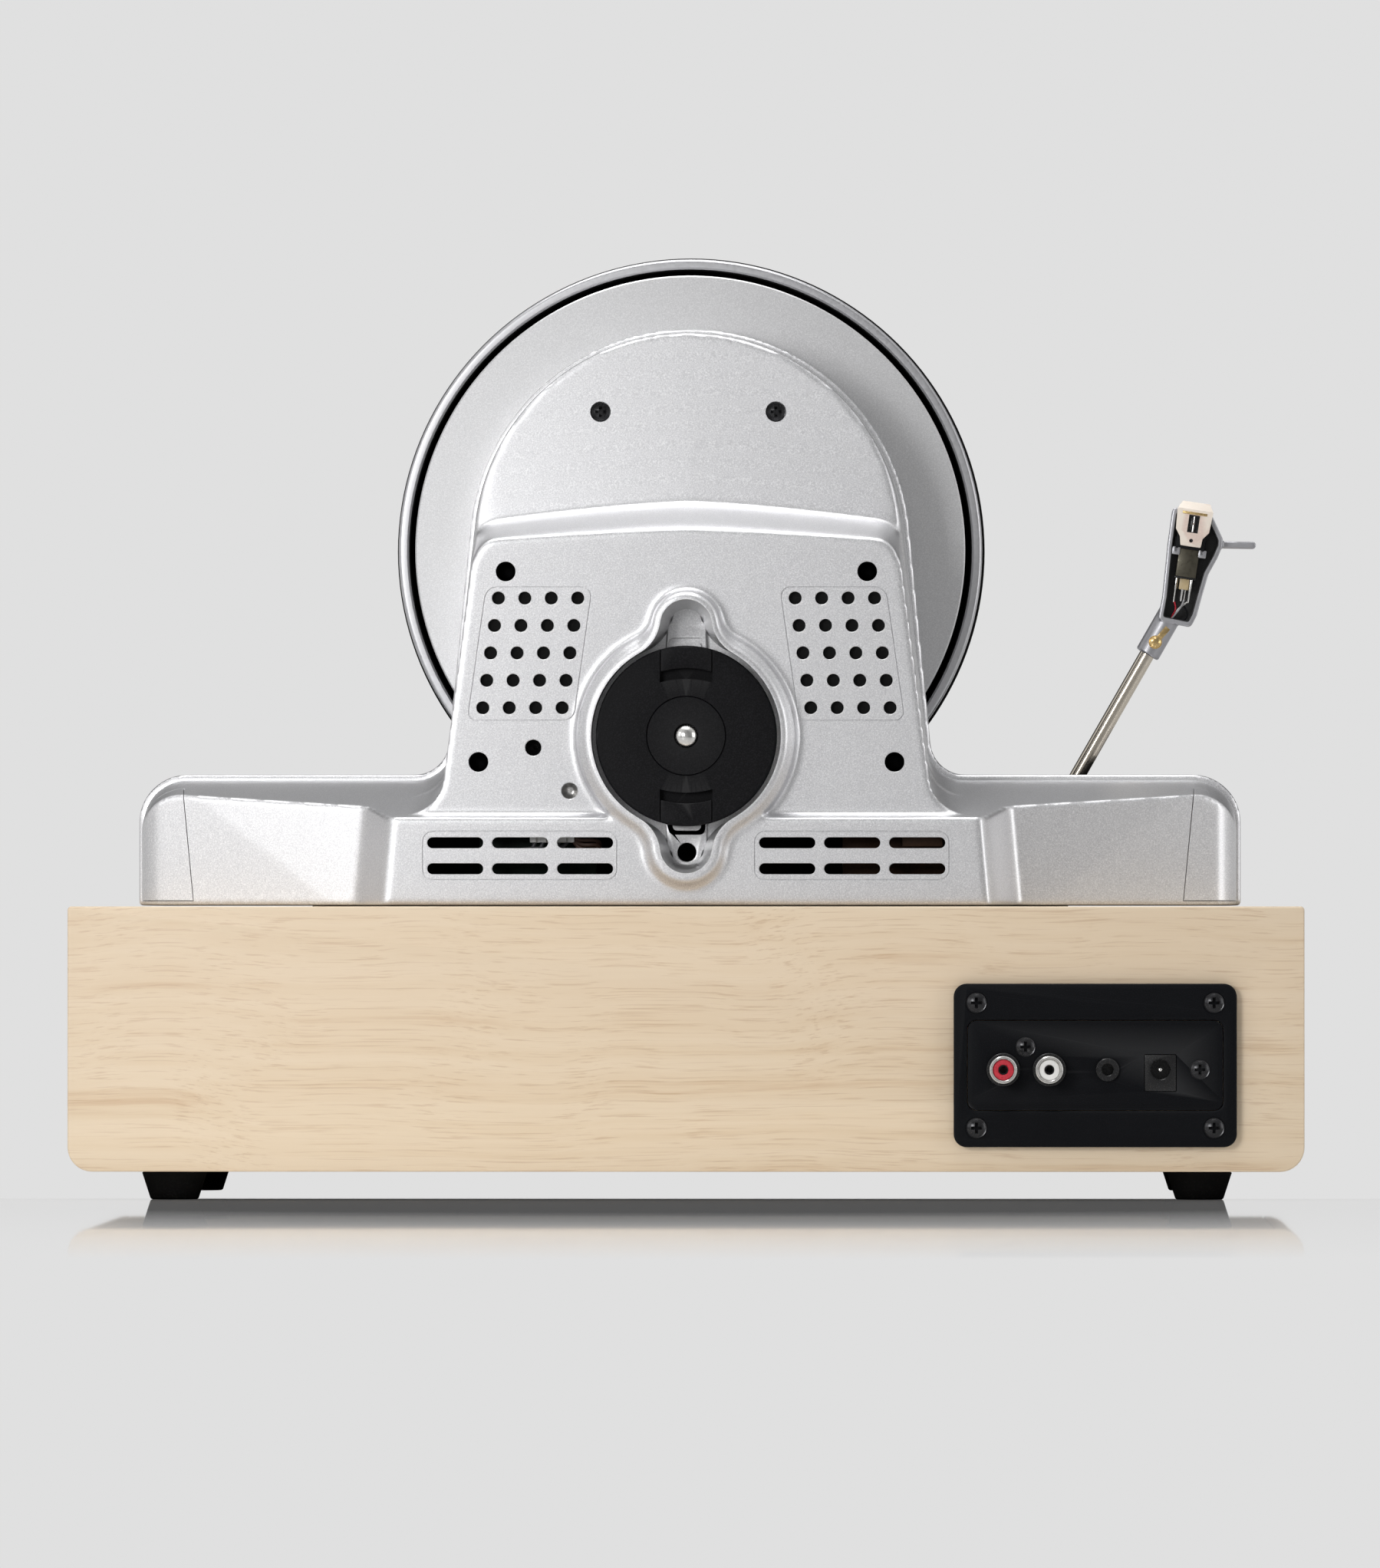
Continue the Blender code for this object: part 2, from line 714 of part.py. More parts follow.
def power_socket(place, width, height, plate_y):
    """A square body, flush with the plate, with a round well and a pin in it."""
    tail = 0.014
    well_radius = 0.00295
    well_depth = 0.009
    pin_radius = 0.0010
    pin_sink = 0.0015
    well_rise = 0.0010
    front_y = plate_y
    outline = centred_box(width, height, (place[0], place[1]), SEAT_GAP)
    body = plate("power_socket", [outline], "Y", front_y - tail, front_y)
    frame = along_y(place[0], place[1] + well_rise)
    well = pipe(
        "power_socket_well", well_radius, pin_radius, front_y - well_depth, front_y + CUT_OVERRUN, frame
    )
    tip = bar("power_pin_tip", well_radius - SEAT_GAP, front_y - pin_sink, front_y + 2 * CUT_OVERRUN, frame)
    paint(cut(body, well, tip), "black_plastic")


def amplifier():
    """The circuit board behind the sockets, on four posts, with its larger components."""
    board_width = 0.085
    board_depth = 0.050
    board_thickness = 0.0016
    post_height = 0.004
    post_radius = 0.0025
    post_inset = 0.004
    post_steps = 8
    floor_z = FOOT_HEIGHT + BOARD_THICKNESS + SEAT_GAP
    board_z = floor_z + post_height
    core_z = board_z + board_thickness / 2
    top_z = board_z + board_thickness
    middle_x, _ = panel_centre()
    board_y = BACK_FACE_Y - SIDE_THICKNESS - board_depth - 5 * PLATTER_GAP
    low_x = middle_x - board_width / 2
    board = box(
        "amplifier_board",
        (low_x, board_y, board_z),
        (low_x + board_width, board_y + board_depth, top_z),
    )
    for side_x in (0, 1):
        for side_y in (0, 1):
            x = low_x + post_inset + side_x * (board_width - 2 * post_inset)
            y = board_y + post_inset + side_y * (board_depth - 2 * post_inset)
            join(board, bar("amplifier_post", post_radius, floor_z, core_z, at(x, y, 0), post_steps))
    sink_share = (0.08, 0.42, 0.10, 0.32)
    sink_height = 0.022
    relay_share = (0.55, 0.90, 0.10, 0.36)
    relay_height = 0.012
    for name, share, height in (("heat_sink", sink_share, sink_height), ("relay", relay_share, relay_height)):
        low = (low_x + share[0] * board_width, board_y + share[2] * board_depth, core_z)
        high = (low_x + share[1] * board_width, board_y + share[3] * board_depth, top_z + height)
        join(board, box(name, low, high))
    capacitor_radius = 0.004
    capacitor_height = 0.014
    capacitor_shares = ((0.15, 0.55), (0.32, 0.55), (0.49, 0.55))
    for share_x, share_y in capacitor_shares:
        frame = at(low_x + share_x * board_width, board_y + share_y * board_depth, 0)
        join(board, bar("capacitor", capacitor_radius, core_z, top_z + capacitor_height, frame, HOLE_STEPS))
    paint(board, "circuit_green")


# The deck: two shells that meet at the parting plane, and the black well that a record stands in

TOWER_ARC_STEPS = 12
SHOULDER_STEPS = 6
HOLLOW_ARC_STEPS = 6
UPPER_FACE_INSET = 0.0034
LOWER_FACE_INSET = 0.0038
LOWER_FACE_LEAN = math.radians(7.4)
UPPER_FACE_DEPTH = 0.029
LOWER_FACE_DEPTH = 0.059
WING_TIP_DEPTH = 0.0400
STEP_TOP_DROP = 0.0145
STEP_HEIGHT = 0.010
STEP_TOP_SAG = 0.0066
STEP_BOTTOM_SAG = 0.0033
STEP_SAG_POWER = 1.4
STEP_CORNER_RADIUS = 0.007
# Places of the step's side outlines, as shares of the lower face's half width
STEP_SHARES = (0, 0.45, 0.75, 0.91, 0.955, 0.985, 1.0, 1.04)
HOLLOW_STEP_SHARES = (0, 0.5, 1.04)


def deck_top(y):
    """The height of the deck's top, which falls towards the back from the parting plane."""
    return DECK_TOP_Z - DECK_SLOPE * max(0, y - PARTING_Y)


def deck_section(y, inset, bottom_z):
    """The deck's outline at a depth: square below, with round shoulders."""
    half = DECK_HALF_WIDTH - inset
    top = deck_top(y) - inset
    radius = DECK_SHOULDER_RADIUS - min(inset, DECK_SHOULDER_RADIUS / 2)
    right = [(half, bottom_z)] + arc((half - radius, top - radius), radius, 0, math.pi / 2, SHOULDER_STEPS)
    return upright(mirrored(right), y)


def tower_section(y, inset, bottom_z, steps=TOWER_ARC_STEPS, face_inset=0.0, lean=TOWER_LEAN):
    """The tower's outline at a depth: round on top, leaning sides, and a flare onto the deck."""
    foot_z = deck_top(y) - inset
    radius = TOWER_RADIUS - inset - face_inset
    fillet = TOWER_FLARE_RADIUS + inset
    centre_z = foot_z + fillet
    centre_x = (radius + fillet - (centre_z - PLATTER_Z) * math.sin(lean)) / math.cos(lean)
    right = [(centre_x, bottom_z)]
    sunk = (centre_x, centre_z - FLARE_SINK)
    right += arc(sunk, fillet, 3 * math.pi / 2, math.pi + lean, steps // 2)
    right += arc((0, PLATTER_Z), radius, lean, math.pi / 2, steps)
    return upright(mirrored(right), y)


def front_housing():
    """The front shell: the deck's front, the tower's neck and the dish behind the platter."""
    nose_radius = 0.008
    nose_steps = 4
    end_y = PARTING_Y - SEAT_GAP / 2
    outer_low = DECK_BOTTOM_Z
    inner_low = DECK_BOTTOM_Z - CUT_OVERRUN
    nose = []
    for i in range(nose_steps + 1):
        angle = math.pi / 2 * i / nose_steps
        inset = nose_radius * (1 - math.sin(angle))
        nose.append((DECK_FRONT_Y + nose_radius * (1 - math.cos(angle)), inset))
    sections = [deck_section(y, inset, outer_low) for y, inset in nose]
    sections.append(deck_section(NECK_FRONT_Y, 0, outer_low))
    sections.append(deck_section(end_y, 0, outer_low))
    housing = loft("front_housing", sections)

    neck_y = NECK_FRONT_Y - SEAT_GAP
    neck = loft("neck", [tower_section(y, 0, outer_low + WALL) for y in (neck_y, end_y)])
    dish_front_share = 0.2333
    dish_front_y = PLATTER_FRONT_Y + PLATTER_DEPTH * dish_front_share
    dish = plate("dish", [dish_outline(0)], "Y", dish_front_y, NECK_FRONT_Y)
    join(housing, neck)

    through_y = PARTING_Y + CUT_OVERRUN
    inner = [(DECK_FRONT_Y + WALL, nose_radius)]
    inner += [(y, WALL) for y in (DECK_FRONT_Y + nose_radius, PARTING_Y, through_y)]
    deck_hollow = loft("deck_front_hollow", [deck_section(y, inset, inner_low) for y, inset in inner])
    neck_depths = (NECK_FRONT_Y + WALL, through_y)
    neck_hollow = loft(
        "neck_hollow", [tower_section(y, WALL, inner_low, HOLLOW_ARC_STEPS) for y in neck_depths]
    )
    dish_hollow = plate(
        "dish_hollow", [dish_outline(DISH_WALL)], "Y", dish_front_y - CUT_OVERRUN, NECK_FRONT_Y - WALL
    )
    slot = box(
        "record_slot_cut",
        (-SLOT_HALF_WIDTH, SLOT_FRONT_Y, inner_low),
        (SLOT_HALF_WIDTH, SLOT_BACK_Y, DECK_TOP_Z + FLARE_SINK),
    )
    cut(housing, deck_hollow, neck_hollow, slot)
    cut(join(housing, dish), dish_hollow)

    post_radius = 0.0042
    posts = plate(
        "housing_posts",
        [circle(post_radius, place) for place in screw_places()],
        "Y", NECK_FRONT_Y + WALL / 2, end_y,
    )
    frame = along_y(0, PLATTER_Z)
    bush_boss = bar("bush_boss", BUSH_RADIUS + WALL, NECK_FRONT_Y - WALL / 2, BUSH_END_Y, frame)
    join(housing, posts, bush_boss)
    bush_hole = bar("bush_hole", BUSH_RADIUS + SEAT_GAP, dish_front_y, BUSH_END_Y + CUT_OVERRUN, frame)
    shaft_hole_radius = 0.004
    shaft_hole = bar(
        "shaft_hole", shaft_hole_radius, dish_front_y, NECK_FRONT_Y + 2 * WALL, along_y(MOTOR_X, MOTOR_Z)
    )
    pilot_holes = plate(
        "pilot_holes",
        [circle(SCREW_SHANK_RADIUS + SEAT_GAP, place) for place in screw_places()[:2]],
        "Y", PARTING_Y - SCREW_BITE - SEAT_GAP, PARTING_Y + CUT_OVERRUN,
    )
    cut(housing, bush_hole, shaft_hole, pilot_holes, *control_holes())
    paint(housing, "silver_paint")


DISH_STEPS = 44
BUSH_RADIUS = 0.007
BUSH_TAIL = 0.014
BUSH_END_Y = PARTING_Y + BUSH_TAIL
SCREW_SHANK_RADIUS = 0.0013
SCREW_BITE = 0.006


def dish_outline(inset):
    """The dish: a circle cut off level with the deck."""
    radius = DISH_RADIUS - inset
    chord_z = DECK_TOP_Z + inset + FLARE_SINK
    start = -math.asin((PLATTER_Z - chord_z) / radius)
    return arc((0, PLATTER_Z), radius, start, math.pi - start, DISH_STEPS)


# Places across and above the platter's centre, as shares of the tower's radius
SCREW_SHARES = ((0.3953, 0.6134), (0.8096, -0.1163), (0.9317, -0.9695))


def screw_places():
    """The two seen screws and the four deep ones, in x and z."""
    places = []
    for across, up in SCREW_SHARES:
        x = across * TOWER_RADIUS
        z = PLATTER_Z + up * TOWER_RADIUS
        places += [(-x, z), (x, z)]
    return places


def tower_profile(x, inset):
    """The tower's side outline at x: an upper face, an S-shaped step and a lower face. The step sags
    towards the sides, and its foot turns down there round the lower face's corners."""
    step_points = 3 if inset else 6
    face_lean = 0.005
    start_y = PARTING_Y - CUT_OVERRUN
    top_z = PLATTER_Z + TOWER_RADIUS + CUT_OVERRUN
    half = TOWER_RADIUS - LOWER_FACE_INSET
    away = min(abs(x), half + STEP_CORNER_RADIUS)
    sag = (away / half) ** STEP_SAG_POWER
    corner_x = max(0, min(away - (half + JOIN_OVERLAP - STEP_CORNER_RADIUS), STEP_CORNER_RADIUS))
    corner = STEP_CORNER_RADIUS - math.sqrt(STEP_CORNER_RADIUS**2 - corner_x**2)
    step_top = PLATTER_Z + STEP_TOP_DROP - sag * STEP_TOP_SAG - corner / 2
    step_bottom = PLATTER_Z + STEP_TOP_DROP - STEP_HEIGHT - sag * STEP_BOTTOM_SAG - corner
    upper_y = PARTING_Y + UPPER_FACE_DEPTH - inset
    lower_y = PARTING_Y + LOWER_FACE_DEPTH - inset
    points = [(start_y, top_z), (upper_y - face_lean, top_z)]
    for i in range(step_points + 1):
        share = i / step_points
        y = upper_y + (lower_y - upper_y) * smooth_step(share)
        points.append((y, step_top + (step_bottom - step_top) * share - inset / 2))
    points += [(lower_y, DECK_BOTTOM_Z - CUT_OVERRUN), (start_y, DECK_BOTTOM_Z - CUT_OVERRUN)]
    return [(x, y, z) for y, z in points]


def wing_plan(z, inset):
    """The plan of the rear shell at a height: two swept wings and a box between them."""
    box_half = 0.0885
    box_draft_share = 0.09
    sweep_width = 0.0115
    wing_root_depth = 0.0195
    wing_root_y = DECK_BACK_Y - wing_root_depth
    wing_tip_y = DECK_BACK_Y - WING_TIP_DEPTH
    corner_radius = 0.010
    corner_sweep = math.radians(65)
    points_in_sweep = 3 if inset else 6
    draft = box_draft_share * (DECK_TOP_Z - z)
    half = DECK_HALF_WIDTH - REAR_STEP + FLARE_SINK
    back_y = DECK_BACK_Y - inset
    right = [(half, PARTING_Y - CUT_OVERRUN)]
    corner_y = wing_tip_y - corner_radius - inset
    right += arc((half - corner_radius, corner_y), corner_radius, 0, corner_sweep, ARC_STEPS)
    root_x = box_half + draft + sweep_width - inset
    root_y = wing_root_y - inset
    for i in range(points_in_sweep + 1):
        share = i / points_in_sweep
        right.append((root_x - sweep_width * share, root_y + (back_y - root_y) * smooth_step(share)))
    left = [(-x, y) for x, y in reversed(right)]
    return [(x, y, z) for x, y in right + left]


def rear_body(name, inset):
    """The rear shell as a solid, or its hollow when inset by the wall."""
    overrun = CUT_OVERRUN if inset else 0
    start_y = PARTING_Y + SEAT_GAP / 2 - overrun
    end_y = DECK_BACK_Y + CUT_OVERRUN
    low_z = DECK_BOTTOM_Z - overrun
    high_z = DECK_TOP_Z + CUT_OVERRUN
    total = REAR_STEP + inset
    deck = loft(f"{name}_deck", [deck_section(y, total, low_z) for y in (start_y, end_y)])
    plan = loft(f"{name}_plan", [wing_plan(z, inset) for z in (DECK_BOTTOM_Z - 2 * CUT_OVERRUN, high_z)])
    boolean(deck, plan, "INTERSECT")

    edge = UPPER_FACE_INSET - REAR_STEP
    upper_y = PARTING_Y + UPPER_FACE_DEPTH
    lower_y = PARTING_Y + LOWER_FACE_DEPTH
    upper_lean = (TOWER_LEAN + LOWER_FACE_LEAN) / 2
    depths = [
        (start_y, 0, TOWER_LEAN),
        (upper_y - edge, edge / 3, upper_lean),
        (upper_y, edge, upper_lean),
        (lower_y, LOWER_FACE_INSET - REAR_STEP, LOWER_FACE_LEAN),
        (end_y, LOWER_FACE_INSET - REAR_STEP, LOWER_FACE_LEAN),
    ]
    steps = HOLLOW_ARC_STEPS if inset else TOWER_ARC_STEPS
    foot_z = low_z + WALL - inset
    sections = [tower_section(y, total, foot_z, steps, more, lean) for y, more, lean in depths]
    tower = loft(f"{name}_tower", sections)
    half = TOWER_RADIUS - LOWER_FACE_INSET
    shares = HOLLOW_STEP_SHARES if inset else STEP_SHARES
    across = [-2 * half] + [-share * half for share in reversed(shares[1:])]
    across += [share * half for share in shares] + [2 * half]
    profile = loft(f"{name}_profile", [tower_profile(x, inset) for x in across])
    boolean(tower, profile, "INTERSECT")
    return join(deck, tower)


def keyhole(radius, top_radius, bottom_radius, neck_radius):
    """The clamp recess's outline about its centre: a circle with a finger lobe above and one below."""
    top_reach = 0.0340
    bottom_reach = 0.0343
    points = []
    for reach, lobe, upward in ((bottom_reach, bottom_radius, -1), (top_reach, top_radius, 1)):
        near = radius + neck_radius
        far = lobe + neck_radius
        swing = math.acos((near * near + reach * reach - far * far) / (2 * near * reach))
        neck_x = near * math.sin(swing)
        neck_z = near * math.cos(swing)
        to_lobe = math.atan2(reach - neck_z, -neck_x) % (2 * math.pi)
        to_main = math.atan2(-neck_z, -neck_x) % (2 * math.pi)
        piece = arc((0, reach), lobe, math.pi / 2, to_lobe - math.pi, ARC_STEPS)
        piece += arc((neck_x, neck_z), neck_radius, to_lobe, to_main, ARC_STEPS // 2)[1:]
        piece += arc((0, 0), radius, math.pi / 2 - swing, 0, ARC_STEPS)[1:]
        half = [(x, upward * z) for x, z in piece]
        points += half if upward < 0 else list(reversed(half))[1:]
    return mirrored([(max(x, 0), z) for x, z in points])


def recess_section(y, grow, top_grow=None, bottom_grow=None):
    """The recess outline at a depth, grown outwards. Its lobes grow by as much, if not told otherwise."""
    lobe = 0.008
    neck = 0.013
    top = lobe + (grow if top_grow is None else top_grow)
    bottom = lobe + (grow if bottom_grow is None else bottom_grow)
    outline = keyhole(RECESS_RADIUS + grow, top, bottom, neck - grow)
    return [(x, y, z + CLAMP_Z) for x, z in outline]


RECESS_DEPTH = 0.017
RECESS_FLOOR = 0.002
RIM_WIDTH = 0.0023
LOBE_DRAFT = 0.003
FLANK_WIDTH = 0.0021


def rear_housing():
    """The rear shell: wings, box, tower, the clamp recess, screw wells, vents and slots."""
    housing = cut(rear_body("rear_housing", 0), rear_body("rear_hollow", WALL))
    housing.name = "rear_housing"
    rim_y = DECK_BACK_Y + RECESS_RIM_RISE
    floor_y = rim_y - RECESS_DEPTH
    bead = RIM_WIDTH / 2
    bead_drop_share = 0.45
    foot_share = 0.6
    top_flank_share = 0.2
    bottom_rim_share = 1.35
    flank_foot = RIM_WIDTH + FLANK_WIDTH
    top_foot = RIM_WIDTH + top_flank_share * FLANK_WIDTH
    bottom_rim = RIM_WIDTH * bottom_rim_share
    bottom_foot = bottom_rim + FLANK_WIDTH
    foot_more = bead * foot_share
    foot_grows = (flank_foot + foot_more, top_foot + foot_more / 2, bottom_foot + foot_more)
    cup_foot_y = PARTING_Y + LOWER_FACE_DEPTH - WALL
    cup = loft(
        "recess_cup",
        [
            recess_section(floor_y - RECESS_FLOOR, RIM_WIDTH),
            recess_section(cup_foot_y, *foot_grows),
            recess_section(DECK_BACK_Y, flank_foot, top_foot, bottom_foot),
            recess_section(rim_y - bead * bead_drop_share, RIM_WIDTH, RIM_WIDTH, bottom_rim),
            recess_section(rim_y, RIM_WIDTH - bead, RIM_WIDTH - bead, bottom_rim - bead),
        ],
    )
    well_radius = 0.00305
    boss_radius = 0.0045
    seen = screw_places()[:2]
    deep = screw_places()[2:]
    upper_y = PARTING_Y + UPPER_FACE_DEPTH
    lower_y = PARTING_Y + LOWER_FACE_DEPTH
    boss_start_y = PARTING_Y + SEAT_GAP / 2
    seen_bosses = plate(
        "seen_bosses", [circle(boss_radius, p) for p in seen], "Y", boss_start_y, upper_y - WALL / 2
    )
    deep_bosses = plate(
        "deep_bosses", [circle(boss_radius, p) for p in deep], "Y", boss_start_y, lower_y - WALL / 2
    )
    join(housing, cup, seen_bosses, deep_bosses)

    hollow = loft(
        "recess_hollow",
        [recess_section(floor_y, 0, -LOBE_DRAFT, -LOBE_DRAFT), recess_section(rim_y + CUT_OVERRUN, 0)],
    )
    hole_start_y = floor_y - 2 * RECESS_FLOOR
    hole_end_y = floor_y + CUT_OVERRUN
    post_hole = bar(
        "post_hole", POST_NECK_RADIUS + SEAT_GAP, hole_start_y, hole_end_y, along_y(0, CLAMP_Z)
    )
    lobe_hole_radius = 0.0029
    lobe_hole_drop = 0.0358
    lobe_frame = along_y(0, CLAMP_Z - lobe_hole_drop)
    lobe_hole = bar("lobe_hole", lobe_hole_radius, hole_start_y, hole_end_y, lobe_frame, HOLE_STEPS)
    screw_seat_y = upper_y - 2 * WALL
    seen_wells = plate(
        "seen_wells", [circle(well_radius + SEAT_GAP, p) for p in seen],
        "Y", screw_seat_y, upper_y + CUT_OVERRUN,
    )
    seen_shafts = plate(
        "seen_shafts",
        [circle(SCREW_SHANK_RADIUS + SEAT_GAP, p) for p in seen],
        "Y", boss_start_y - CUT_OVERRUN, upper_y,
    )
    deep_floor_y = boss_start_y + 2 * WALL
    deep_wells = plate(
        "deep_wells", [circle(well_radius, p) for p in deep], "Y", deep_floor_y, lower_y + CUT_OVERRUN
    )
    cut(housing, hollow, post_hole, lobe_hole, seen_wells, seen_shafts, deep_wells)
    cut(housing, vents(lower_y), slots(), access_holes(lower_y))
    end_caps(housing)
    paint(housing, "silver_paint")
    for number, (x, z) in enumerate(seen, 1):
        head_radius = well_radius
        head_height = 0.0014
        shank_length = screw_seat_y + SEAT_GAP - (PARTING_Y - SCREW_BITE)
        cross_screw(
            f"housing_screw_{number}", x, z, screw_seat_y + SEAT_GAP, head_radius, head_height,
            SCREW_SHANK_RADIUS, shank_length,
        )
    return floor_y, rim_y


VENT_STEPS = 8


def vents(face_y):
    """Two grids of round holes in the tower's lower face, each row a little further out."""
    rows = 5
    columns = 4
    hole_radius = 0.0020
    column_pitch = 0.00815
    row_pitch = 0.00845
    row_shift = 0.0012
    first_x = 0.0335
    top_drop = 0.0162
    top_z = PLATTER_Z - top_drop
    outlines = []
    for side in (-1, 1):
        for row in range(rows):
            for column in range(columns):
                x = side * (first_x + column * column_pitch + row * row_shift)
                outlines.append(circle(hole_radius, (x, top_z - row * row_pitch), VENT_STEPS))
    return plate("vents", outlines, "Y", face_y - WALL - CUT_OVERRUN, face_y + CUT_OVERRUN)


def slots():
    """Two grids of long slots in the box under the tower."""
    slot_width = 0.0173
    slot_height = 0.0034
    pitch_x = 0.020
    pitch_z = 0.008
    first_x = 0.0311
    top_rise = 0.0193
    top_z = DECK_BOTTOM_Z + top_rise
    outlines = []
    for side in (-1, 1):
        for column in range(3):
            for row in range(2):
                centre = (side * (first_x + column * pitch_x), top_z - row * pitch_z)
                outlines.append(rounded_slot(slot_width, slot_height, centre, 2))
    return plate("slots", outlines, "Y", DECK_BACK_Y - WALL - CUT_OVERRUN, DECK_BACK_Y + CUT_OVERRUN)


def access_holes(face_y):
    """Two small holes in the tower's lower face, one of them in line with the motor."""
    radius = 0.0025
    second_side = 0.0112
    second_drop = 0.0133
    second = (MOTOR_X - second_side, MOTOR_Z - second_drop)
    outlines = [circle(radius, (MOTOR_X, MOTOR_Z)), circle(radius, second)]
    return plate("access_holes", outlines, "Y", face_y - WALL - CUT_OVERRUN, face_y + CUT_OVERRUN)


def end_caps(housing):
    """The caps at the two rear corners of the wings, each cut from the same body as the shell."""
    cap_top_width = 0.0142
    cap_bottom_width = 0.0182
    cap_top_x = DECK_HALF_WIDTH - cap_top_width
    cap_bottom_x = DECK_HALF_WIDTH - cap_bottom_width
    cap_low = 0.0015
    cap_depth = 0.018
    low_z = DECK_BOTTOM_Z + cap_low
    front_y = DECK_BACK_Y - WING_TIP_DEPTH - cap_depth / 2
    outer_x = DECK_HALF_WIDTH + CUT_OVERRUN
    for name, side in (("end_cap_right", 1), ("end_cap_left", -1)):
        for purpose, grow in (("pocket", SEAT_GAP), ("cap", 0)):
            outline = [
                (side * (cap_bottom_x - grow), low_z - grow),
                (side * outer_x, low_z - grow),
                (side * outer_x, DECK_TOP_Z + CUT_OVERRUN),
                (side * (cap_top_x - grow), DECK_TOP_Z + CUT_OVERRUN),
            ]
            region = plate(f"{name}_{purpose}", [outline], "Y", front_y - grow, DECK_BACK_Y)
            if purpose == "pocket":
                cut(housing, region)
                continue
            total = REAR_STEP
            depths = (front_y - CUT_OVERRUN, DECK_BACK_Y)
            cap = loft(name, [deck_section(y, total, DECK_BOTTOM_Z) for y in depths])
            plan_heights = (DECK_BOTTOM_Z - CUT_OVERRUN, DECK_TOP_Z + CUT_OVERRUN)
            plan = loft(f"{name}_plan", [wing_plan(z, 0) for z in plan_heights])
            boolean(cap, plan, "INTERSECT")
            boolean(cap, region, "INTERSECT")
            paint(cap, "silver_paint")


def record_well():
    """The black trough under the slot, which narrows where it enters the cabinet."""
    shelf_rise = 0.0044
    shelf_z = DECK_BOTTOM_Z + shelf_rise
    rim_z = DECK_TOP_Z - WALL - SEAT_GAP
    inner_right = [(WELL_HALF_WIDTH, WELL_FLOOR_Z), (WELL_HALF_WIDTH, shelf_z), (SLOT_HALF_WIDTH, rim_z)]
    outer_right = [
        (WELL_HALF_WIDTH + WELL_WALL, WELL_FLOOR_Z - WELL_WALL),
        (WELL_HALF_WIDTH + WELL_WALL, shelf_z - WELL_WALL),
        (SLOT_HALF_WIDTH + WELL_WALL, rim_z - WELL_WALL / 2),
        (SLOT_HALF_WIDTH + WELL_WALL, rim_z),
    ]
    inner_right.append((SLOT_HALF_WIDTH, rim_z + CUT_OVERRUN))
    well = plate(
        "record_well", [mirrored(outer_right)], "Y", SLOT_FRONT_Y - WELL_WALL, SLOT_BACK_Y + WELL_WALL
    )
    hollow = plate("record_well_hollow", [mirrored(inner_right)], "Y", SLOT_FRONT_Y, SLOT_BACK_Y)
    x, z = lift_rod_place()
    rod_hole = bar(
        "rod_hole", LIFT_ROD_RADIUS + SLIDE_GAP, SLOT_FRONT_Y - 2 * WELL_WALL, SLOT_FRONT_Y + WELL_WALL,
        along_y(x, z), HOLE_STEPS,
    )
    paint(cut(well, hollow, rod_hole), "black_plastic")


# The platter and what drives it

MAT_RADIUS = 0.092
MAT_THICKNESS = 0.0022
MOTOR_RADIUS = 0.0125
MOTOR_LENGTH = 0.024
MOTOR_FRONT_Y = NECK_FRONT_Y + WALL + SEAT_GAP
BELT_THICKNESS = 0.0010
BELT_WIDTH = 0.004


